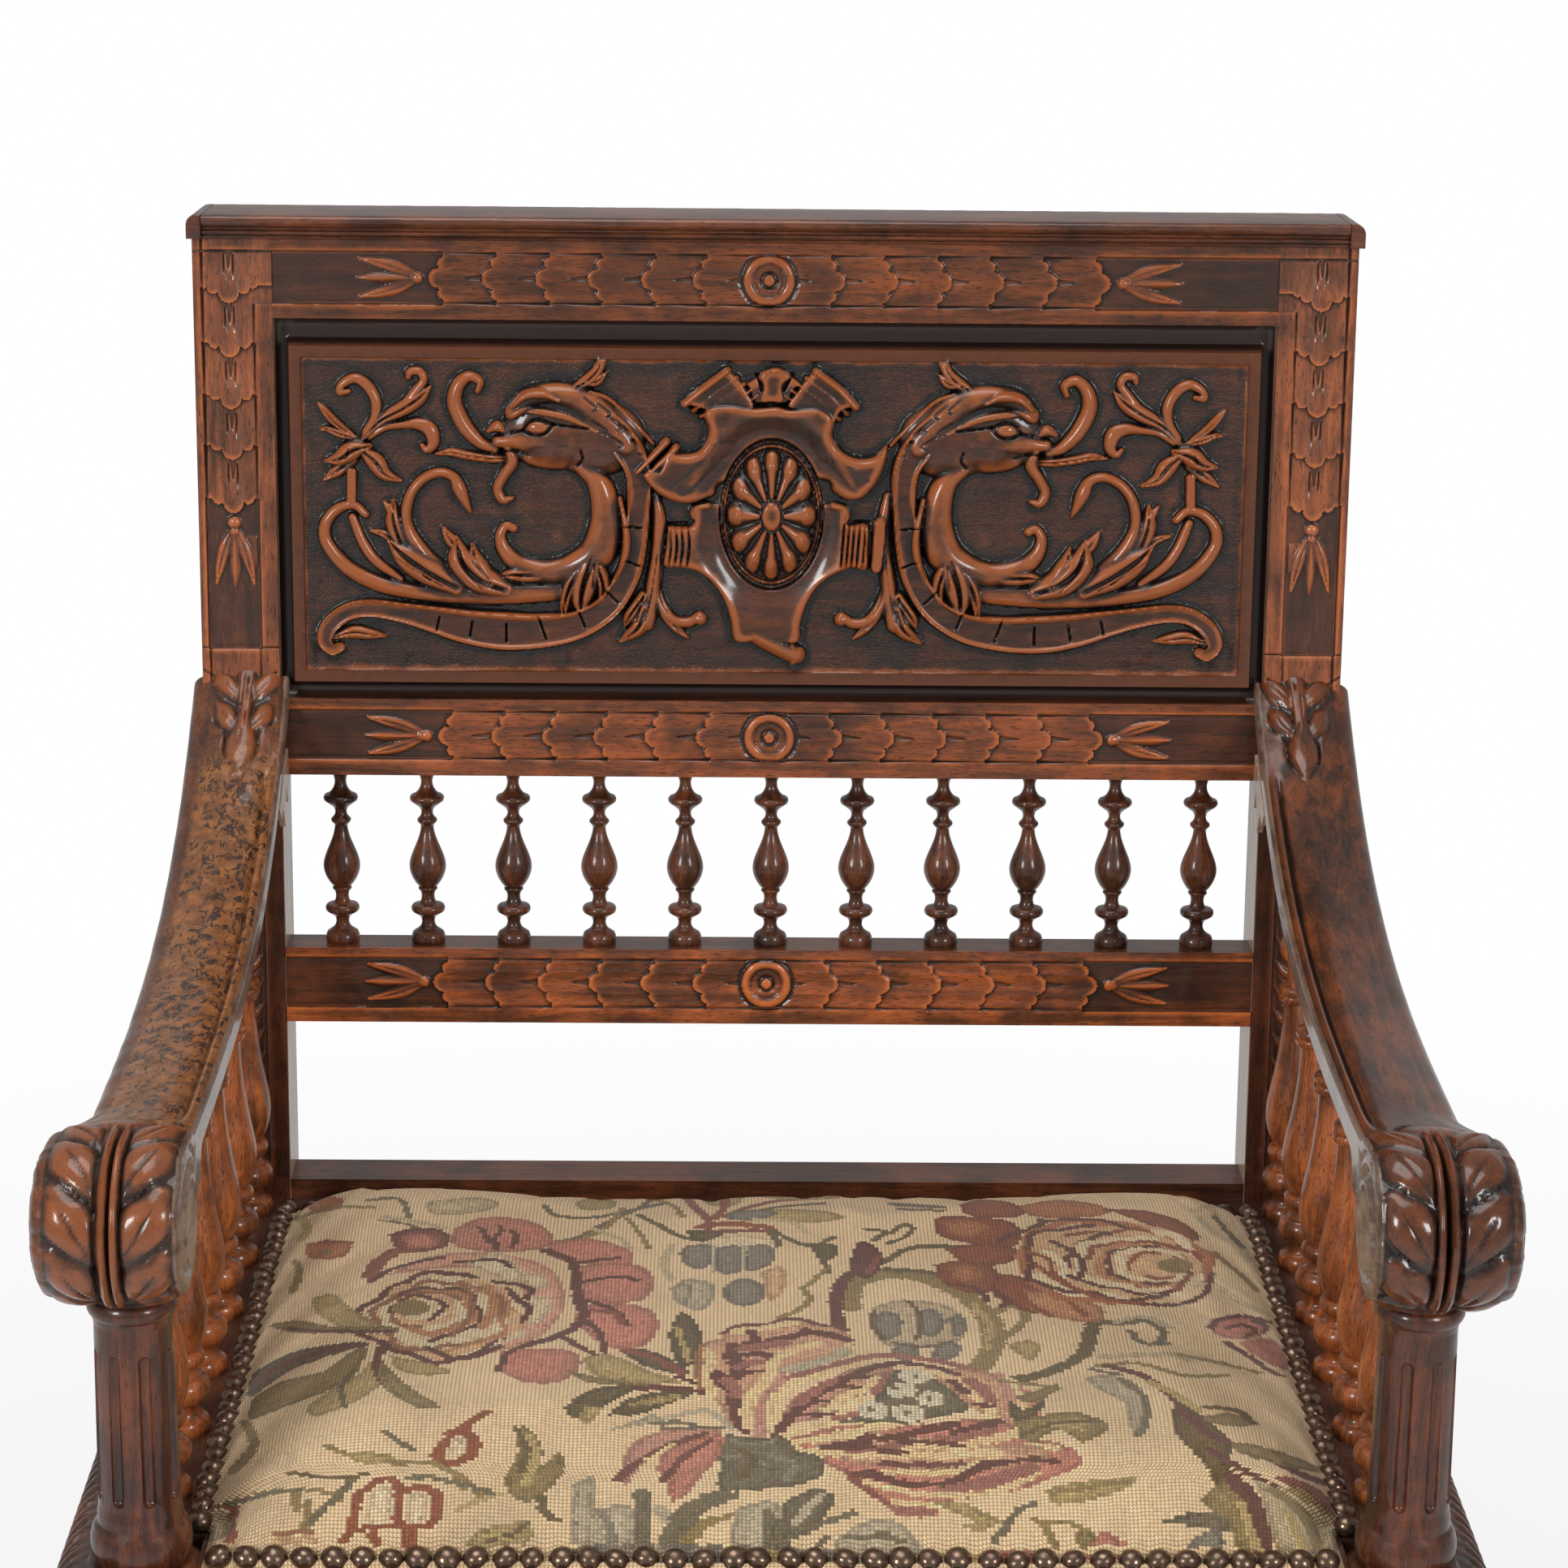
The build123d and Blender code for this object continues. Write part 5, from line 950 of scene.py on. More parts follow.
# %% Leaves at the root and round the scroll, drawn across (u, -25 to 25) and along (s)
def arm_carving(side):
    """The heights over one arm's outline. Both are drawn alike, with the hand's small differences."""
    hand = np.random.default_rng(20 + side)
    arm = Carving(across_u * 25, along_s)

    def stroke(points, form="round", add=False):
        jitter = hand.normal(0, 0.5, (len(points), 2))
        arm.ridge([(x + a, s + b, w, h) for (x, s, w, h), (a, b) in zip(points, jitter)], form, add)

    def laid(text, e, s=0.0, size=1.0, wide=1.0, high=1.0):
        """A stroke's points mirrored by e, moved on by s and scaled in length, width and height."""
        return [(e * x, s + v * size, w * wide, h * high) for x, v, w, h in stroke_of(text)]

    def lobe(e, s, size, height):
        """One full lobe of a leaf, creased along its middle, with a deep eye between it and the next."""
        stroke(laid("4,1.5,0.5,0.45 11,0.6,1,1 16.5,-0.4,0.95,1.05 21,-1.15,0.5,0.7", e, s, size, size, height))
        arm.groove(laid("7,1.2,0.7,0.9 13,0.3,0.9,1.3 18,-0.5,0.6,0.7", e, s, size))
        arm.groove(laid("4.6,2.5,1.3,0.6 8.4,1.9,2.2,1 12.6,1.5,1.3,0.7 20,0.9,1,0.5 26,0.4,0.8,0.4", e, s, size, 1,
                        height))

    # root: a broad stem that ends in a rounded drop, between two pairs of lobes
    dish = smooth((66 - arm.V) / 26) * smooth((arm.V + 8) / 6)
    arm.H += 0.5 * dish
    for e in (-1, 1):
        for s, reach in ((4, 18), (25, 15)):
            stroke([*laid("4,13,4,1.2 10,8,7,3", e, s), (e * reach, s, 6, 2.8), (e * (reach + 4), s - 6, 2, 1.2)])
            arm.groove([*laid("6,11,0.7,0.9 12,5,0.8,1.2", e, s), (e * reach, s - 1, 0.5, 0.5)])
            arm.groove(laid("5.4,18,1.2,2.2 9.5,15,2,3 15,10,1.1,1.8 21,5,0.8,1.2", e, s))
    stroke(stroke_of("0,-4,8,2.6 0,12,6.2,3 0,30,5,3.2 0,42,9,3.2 0,52,9.5,3 0,62,4,1.4"))
    for e in (-1, 1):
        arm.groove(laid("1.6,2,0.6,0.8 1.8,24,0.6,1 0.8,44,0.4,0.4", e))
        arm.groove(laid("10.8,40,0.9,1.6 11.4,48,1.1,1.8 9,57,0.9,1.5 3,65,0.8,1.2", e))

    # scroll: a full leaf over the whole width, its tip on the arm, its lobes side by side
    tip = S_SCROLL - 36
    edge = abs(arm.X) / 25
    leaf = smooth((arm.V - tip - 4) / 9) * smooth((along_s[ROLL_END] - 16 - arm.V) / 12)
    arm.H += 0.6 * leaf
    stroke(laid("0,-2,4,0.8 0,6,12,2.6 0,14,15,3.4 0,22,12,2.4", 1, tip))
    for e in (-1, 1):
        arm.groove(laid("0,-5,0.7,0.9 8,-2.5,0.8,1.2 14,4,1,1.5 16,12,0.8,1.2", e, tip))
        for s, size, height in ((22, 8.6, 3.4), (48, 10.4, 4.6), (75, 10.6, 4.8), (102, 10.0, 4.2), (128, 9.4, 3.4)):
            lobe(e, tip + s, size, height)
    for e in (-2.1, 2.1):
        stroke(laid("1,12,1.5,3.2 1,30,1.9,4.2 1,80,2.2,5.2 1,140,2.4,4.4", e, tip))
    arm.groove(laid("0,18,0.8,1.6 0,80,0.9,2.2 0,140,0.9,1.8", 1, tip))
    for e in (-1, 1):
        arm.groove(laid("4.9,20,0.9,1.8 5.2,80,1,2.2 5.2,140,1,1.8", e, tip))

    # a bead and quirk along the edge towards the sitter
    run = smooth((arm.V - 60) / 20) * smooth((S_SCROLL - 34 - arm.V) / 26)
    arm.H -= run * 1.9 * hump(arm.X + 18.6, 1.3)
    arm.H += run * 0.9 * hump(arm.X + 22.6, 1.9)
    # the broad crown of the upper face, and the unevenness of use
    arm.H -= 2.6 * (1 - leaf) * is_top[:, None] * edge ** 2.4 + 1.5 * leaf * edge ** 3
    worn = blurred(hand.normal(size=arm.H.shape), 3)
    arm.H += (1.6 if side < 0 else 0.5) * worn * is_top[:, None]
    arm.marks["plain"] = np.clip(1 - leaf - dish, 0, 1) * is_top[:, None]
    return arm


# %% Both arms
SIDE_W = np.array([1, 0.86, 0.72, 0.6, 0.5, 0.42, 0.37, 0.33, 0.29, 0.25, 0.2, 0.14, 0.08, 0.03])


def arm_piece(name, side):
    """One arm: core, inner side, upper face, outer side and core again at every station."""
    arm = arm_carving(side)
    columns, marks = [], {"lift": [], "plain": [], "pale": []}
    lift = arm.H - blurred(arm.H, 3)

    def volute(points):
        r = np.hypot(points[:, 0] - CENTRE[0], points[:, 1] - CENTRE[1])
        return (2.0 * smooth((21 - r) / 1.6) - 1.2 * hump(r - 22.4, 1.0)
                + 0.8 * hump(r - 26.5, 2.4) - 0.9 * hump(r - 30.2, 0.9))

    def add(points, x, **given):
        columns.append(np.column_stack([x, BACK_Y - points[:, 0], points[:, 1]]))
        for title, values in marks.items():
            values.append(np.broadcast_to(given.get(title, 0.0), len(points)))

    def side_face(x, sign, shares, drop):
        for w in shares:
            points = outline + w * (cores - outline) - normal * (drop * (1 - w))[:, None]
            add(points, x + sign * volute(points) - (undercut * w if sign < 0 else 0), pale=1.0 if sign < 0 else 0.0)

    edge_in, edge_out = arm.H[:, 0], arm.H[:, -1]
    side_face(low_x, -1, SIDE_W, round_in - edge_in * 0.9)
    for t in np.radians([20, 50, 75]):
        add(outline + normal * (edge_in - round_in * (1 - math.sin(t)))[:, None],
            low_x + round_in * (1 - math.cos(t)), pale=0.6)
    for i, u in enumerate(across_u):
        x = low_x + round_in + (u + 1) / 2 * (high_x - low_x - round_in - round_out)
        add(outline + normal * arm.H[:, i][:, None], x, lift=lift[:, i], plain=arm.marks["plain"][:, i])
    for t in np.radians([75, 58, 40, 22, 8]):
        add(outline + normal * (edge_out - round_out * (1 - math.sin(t)))[:, None],
            high_x - round_out * (1 - math.cos(t)), lift=0.1)
    side_face(high_x, 1, SIDE_W[::-1], round_out - edge_out * 0.9)

    grid = np.stack(columns, 1)
    rows, cols = grid.shape[:2]
    points = grid.reshape(-1, 3) * MM
    points[:, 0] *= side
    quads = closed_grid(rows, cols, wrap_rows=True)
    if side > 0:
        quads = quads[:, [0, 3, 2, 1]]
    marks = {title: np.stack(values, 1) for title, values in marks.items()}
    piece = make_mesh(name, points, quads, (), marks)
    open_edges = outward(piece, weld=True)
    piece.data.shade_smooth()
    piece.data.set_sharp_from_angle(angle=math.radians(70))
    print(name, "-", len(piece.data.polygons) * 2, "triangles,", open_edges, "open edges")
    return piece


# %% [markdown]
# Hands have worn one arm to bare, cracked, orange wood, and the other keeps its polish and figure.
# Cracks in old walnut are short and wriggle across the grain, so they are the thin contour lines of
# a noise. The faces towards the sitter are rubbed pale.

# %% Finishes of the arms
def bare_side(n, place, colour, height):
    """Pale, dusty wood where the finish has gone from the sides."""
    pale = n.mark("pale")
    rubbed = n.ramp(n.noise(n.place(place, (1, 0.3, 1)), 110, 4, 0.65), 0.34, 0.60)
    dust = n.mix(rubbed, (0.10, 0.063, 0.045, 1), (0.29, 0.210, 0.155, 1))
    return n.mix(n.times(pale, 0.86), colour, dust), height


def worn_arm(n, place, colour, height):
    """Short dark cracks and pits, and pale bare sides."""
    plain = n.mark("plain")
    stretched = n.place(place, (1.0, 0.5, 0.65))
    wriggle = n.noise(stretched, 135, 2.5, 0.6, 0.9)
    line = n.ramp(n.math("ABSOLUTE", n.math("SUBTRACT", wriggle, 0.5)), 0.062, 0.022)
    patch = n.ramp(n.noise(n.place(place, (1, 0.4, 0.6)), 30, 3, 0.6), 0.36, 0.50)
    cut = n.ramp(n.noise(place, 150, 2, 0.5), 0.44, 0.52)
    pit = n.ramp(n.noise(n.place(place, (1.1, 0.45, 0.6)), 260, 2, 0.5), 0.63, 0.68)
    line = n.times(n.times(line, patch), cut)
    cracks = n.times(n.math("MAXIMUM", line, pit), plain)
    light = n.ramp(n.noise(place, 120, 4, 0.6), 0.35, 0.7)
    bare = n.mix(light, (0.19, 0.070, 0.022, 1), (0.40, 0.150, 0.042, 1))
    colour = n.mix(n.times(plain, 0.75), colour, bare)
    colour = n.mix(n.times(cracks, 0.92), colour, (0.022, 0.012, 0.010, 1))
    height = n.math("SUBTRACT", height, n.times(cracks, 4.0))
    return bare_side(n, place, colour, height)


worn_walnut = walnut("worn walnut of the left arm", "y", dark=(0.07, 0.027, 0.014), light=(0.26, 0.092, 0.030),
                     worn=(0.40, 0.140, 0.045), wear=0.7, soot=0.72, stain=0.35, rough=(0.40, 0.26), bump=0.5,
                     extra=worn_arm)
smooth_walnut = walnut("polished walnut of the right arm", "y", dark=(0.022, 0.009, 0.006),
                       light=(0.26, 0.080, 0.020), worn=(0.24, 0.080, 0.028), wear=0.45, soot=0.8, stain=0.5,
                       rough=(0.30, 0.20), extra=bare_side)
dress(arm_piece("arm_worn", -1), "arm_walnut", worn_walnut, "arm_left")
dress(arm_piece("arm_polished", 1), "arm_walnut", smooth_walnut, "arm_right")


# %% The pointed drops under the arms' roots
DROP_X, DROP_THICK = 250.2, 3.0


def drop_piece(name, side):
    """A thin plate with two points that hangs from the arm's inner edge where it meets the stile."""
    line = np.array(stroke_of("1,684 1,664 7,657 13,668 21,648 30,661 38,657 44,664 24,676"))
    near = np.column_stack([np.full(len(line), side * DROP_X), BACK_Y - line[:, 0], line[:, 1]])
    points = np.concatenate([near, near + (side * DROP_THICK, 0, 0)]) * MM
    m = len(line)
    ring = np.arange(m)
    nxt = (ring + 1) % m
    piece = make_mesh(name, points, np.stack([ring, nxt, m + nxt, m + ring], -1), [ring, m + ring], sharp=30)
    outward(piece)
    return dress(piece, "arm_walnut", bare_walnut)


bare_walnut = plain_walnut("bare walnut of the drops", "z", (0.34, 0.24, 0.17), (0.58, 0.45, 0.34), 0.15, (0.6, 0.5))
drop_piece("arm_drop_left", -1)
drop_piece("arm_drop_right", 1)

# %% [markdown]
# ## The needlepoint seat
# The cover is canvas worked in wool, stuffed hard and nailed down along its hem. The shape comes
# from a cloth simulation: a domed sheet is pinned at the hem and blown up a little, as stuffing
# would. Then a finer sheet with one face for each stitch is laid over the result, because the
# flowers of needlepoint are steps of whole stitches, not smooth outlines.

# %% The domed sheet
HEM_HALF, HEM_BACK, HEM_FRONT = 259.5, 20.0, 420.0
DOME_RISE, PITCH = 33.4, 1.82


def half_width(depth):
    """Half the cover's width: it draws in beside the blocks of the front legs."""
    return HEM_HALF - 9.8 * smooth((depth - 374) / 10)


def edge_distance(x, depth):
    """How far a place lies in from the hem, with the corners rounded."""
    sides = [half_width(depth) - abs(x), depth - HEM_BACK, HEM_FRONT - depth]
    return -9.0 * np.log(sum(np.exp(-np.clip(s, -40, 400) / 9.0) for s in sides))


def dome_height(x, depth):
    """Height of the cover over the seat boards."""
    e = edge_distance(x, depth)
    hem = 0.3 + 4.2 * smooth(e / 2.4)
    inner = np.clip(e - 7.0, 0, None)
    lumps = 0.9 * np.sin(x / 47 + 0.6) * np.sin(depth / 39) + 0.7 * np.sin(x / 29 + depth / 61)
    return hem + (DOME_RISE + lumps) * (1 - np.exp(-(inner / 25.0) ** 0.95))


def spaced(low, high, rise_at, pitch):
    """Places from low to high whose spacing along the domed sheet is even."""
    fine = np.linspace(low, high, 2000)
    walked = np.concatenate([[0], np.cumsum(np.hypot(np.diff(fine), np.diff(rise_at(fine))))])
    count = int(walked[-1] / pitch) + 1
    return np.interp(np.linspace(0, walked[-1], count), walked, fine)


def sheet_points(pitch):
    """Rows and columns of points over the cover, even along both ways."""
    share = spaced(-HEM_HALF, HEM_HALF, lambda x: dome_height(x, 220.0), pitch) / HEM_HALF
    depth = spaced(HEM_BACK, HEM_FRONT, lambda d: dome_height(0.0, d), pitch)
    share, depth = np.meshgrid(share, depth[::-1])
    x = share * half_width(depth)
    return x, depth, LEDGE_TOP + dome_height(x, depth)


# %% Blow it up with cloth
MOST_PUFF, CLOTH_FRAMES = 7.0, 20


def puffed(x, depth, z):
    """How far each point of the coarse sheet moves under a little pressure, with the hem held."""
    points = np.stack([x, BACK_Y - depth, z], -1).reshape(-1, 3) * MM
    sheet = make_mesh("cover_trial", points, closed_grid(*x.shape))
    held = sheet.vertex_groups.new(name="held")
    near = np.clip(1.25 - (edge_distance(x, depth).ravel() - 6) / 12, 0, 1)
    for index in np.nonzero(near > 0)[0]:
        held.add([int(index)], float(near[index]), "REPLACE")
    cloth = sheet.modifiers.new("cloth", "CLOTH")
    wool = cloth.settings
    wool.quality, wool.mass = 5, 0.2
    wool.tension_stiffness = wool.compression_stiffness = 12
    wool.shear_stiffness, wool.bending_stiffness = 4, 0.4
    wool.vertex_group_mass = "held"
    wool.use_pressure, wool.uniform_pressure_force = True, 2.2
    wool.shrink_min = -0.012
    wool.effector_weights.gravity = 0
    scene = bpy.context.scene
    scene.frame_start, scene.frame_end = 1, CLOTH_FRAMES
    cloth.point_cache.frame_start, cloth.point_cache.frame_end = 1, CLOTH_FRAMES
    for frame_number in range(1, CLOTH_FRAMES + 1):
        scene.frame_set(frame_number)
    settled = sheet.evaluated_get(bpy.context.evaluated_depsgraph_get()).data
    result = np.empty(len(settled.vertices) * 3)
    settled.vertices.foreach_get("co", result)
    moved = (result.reshape(-1, 3) - points) / MM
    scene.frame_set(1)
    bpy.data.objects.remove(sheet)
    length = np.linalg.norm(moved, axis=1, keepdims=True)
    moved *= np.minimum(1, MOST_PUFF / np.maximum(length, 1e-6))
    print("cloth moved up to", round(float(length.max()), 1), "mm, kept to", MOST_PUFF)
    return moved.reshape(*x.shape, 3)


def resampled(field, rows, cols):
    """A grid of values read at more rows and columns."""
    r, c = np.linspace(0, field.shape[0] - 1, rows), np.linspace(0, field.shape[1] - 1, cols)
    r0, c0 = np.minimum(r.astype(int), field.shape[0] - 2), np.minimum(c.astype(int), field.shape[1] - 2)
    fr, fc = (r - r0)[:, None, None], (c - c0)[None, :, None]
    a, b = field[r0][:, c0], field[r0][:, c0 + 1]
    d, e = field[r0 + 1][:, c0], field[r0 + 1][:, c0 + 1]
    return a * (1 - fr) * (1 - fc) + b * (1 - fr) * fc + d * fr * (1 - fc) + e * fr * fc


cover_x, cover_depth, cover_z = sheet_points(PITCH)
rows, cols = cover_x.shape
cover = np.stack([cover_x, BACK_Y - cover_depth, cover_z], -1)
cover += resampled(puffed(*sheet_points(6.0)), rows, cols)
edge = edge_distance(cover_x, cover_depth)
pull = hump(edge - 8.5, 4.5)
from_ends = np.minimum(cover_depth - HEM_BACK, HEM_FRONT - cover_depth)
along_edge = np.where(half_width(cover_depth) - abs(cover_x) < from_ends, cover_depth, cover_x)
cover[..., 2] -= 0.9 * pull * (1 + np.cos(along_edge * 2 * math.pi / 12.6))
cover[..., 2] = np.maximum(cover[..., 2], LEDGE_TOP + 0.3)
print("cover:", rows - 1, "by", cols - 1, "stitches, crown", round(float(cover[..., 2].max() - LEDGE_TOP), 1), "mm up")

# %% [markdown]
# The chart below is the worker's pattern: F fills a petal or leaf, L works a line of a given width,
# O an oval and R a ring with a waving edge, and such a letter and a wool hold until the next. A path
# is its first place and the steps that follow, in half stitches on a flat sheet from the back left
# corner. The sheet is then laid on the dome as someone standing in front sees it.

# %% Wools
WOOL = {
    "cream": (0.58, 0.435, 0.27), "ivory": (0.64, 0.50, 0.33), "corn": (0.60, 0.44, 0.24), "tan": (0.54, 0.34, 0.19),
    "brick": (0.40, 0.19, 0.095), "rust": (0.21, 0.062, 0.030), "clay": (0.34, 0.13, 0.06),
    "pink": (0.42, 0.17, 0.125), "peach": (0.54, 0.28, 0.20), "wine": (0.19, 0.062, 0.045),
    "plum": (0.10, 0.035, 0.026), "bark": (0.24, 0.11, 0.06), "rose": (0.26, 0.105, 0.085),
    "blush": (0.42, 0.215, 0.165), "fig": (0.13, 0.045, 0.038), "moss": (0.22, 0.16, 0.065),
    "fern": (0.36, 0.27, 0.115), "pine": (0.105, 0.078, 0.035), "peat": (0.12, 0.075, 0.028),
    "sage": (0.13, 0.108, 0.068), "straw": (0.42, 0.335, 0.205), "shell": (0.46, 0.26, 0.165),
    "pearl": (0.52, 0.465, 0.35), "stone": (0.40, 0.31, 0.205), "slate": (0.19, 0.165, 0.13),
    "ash": (0.37, 0.315, 0.225),
}

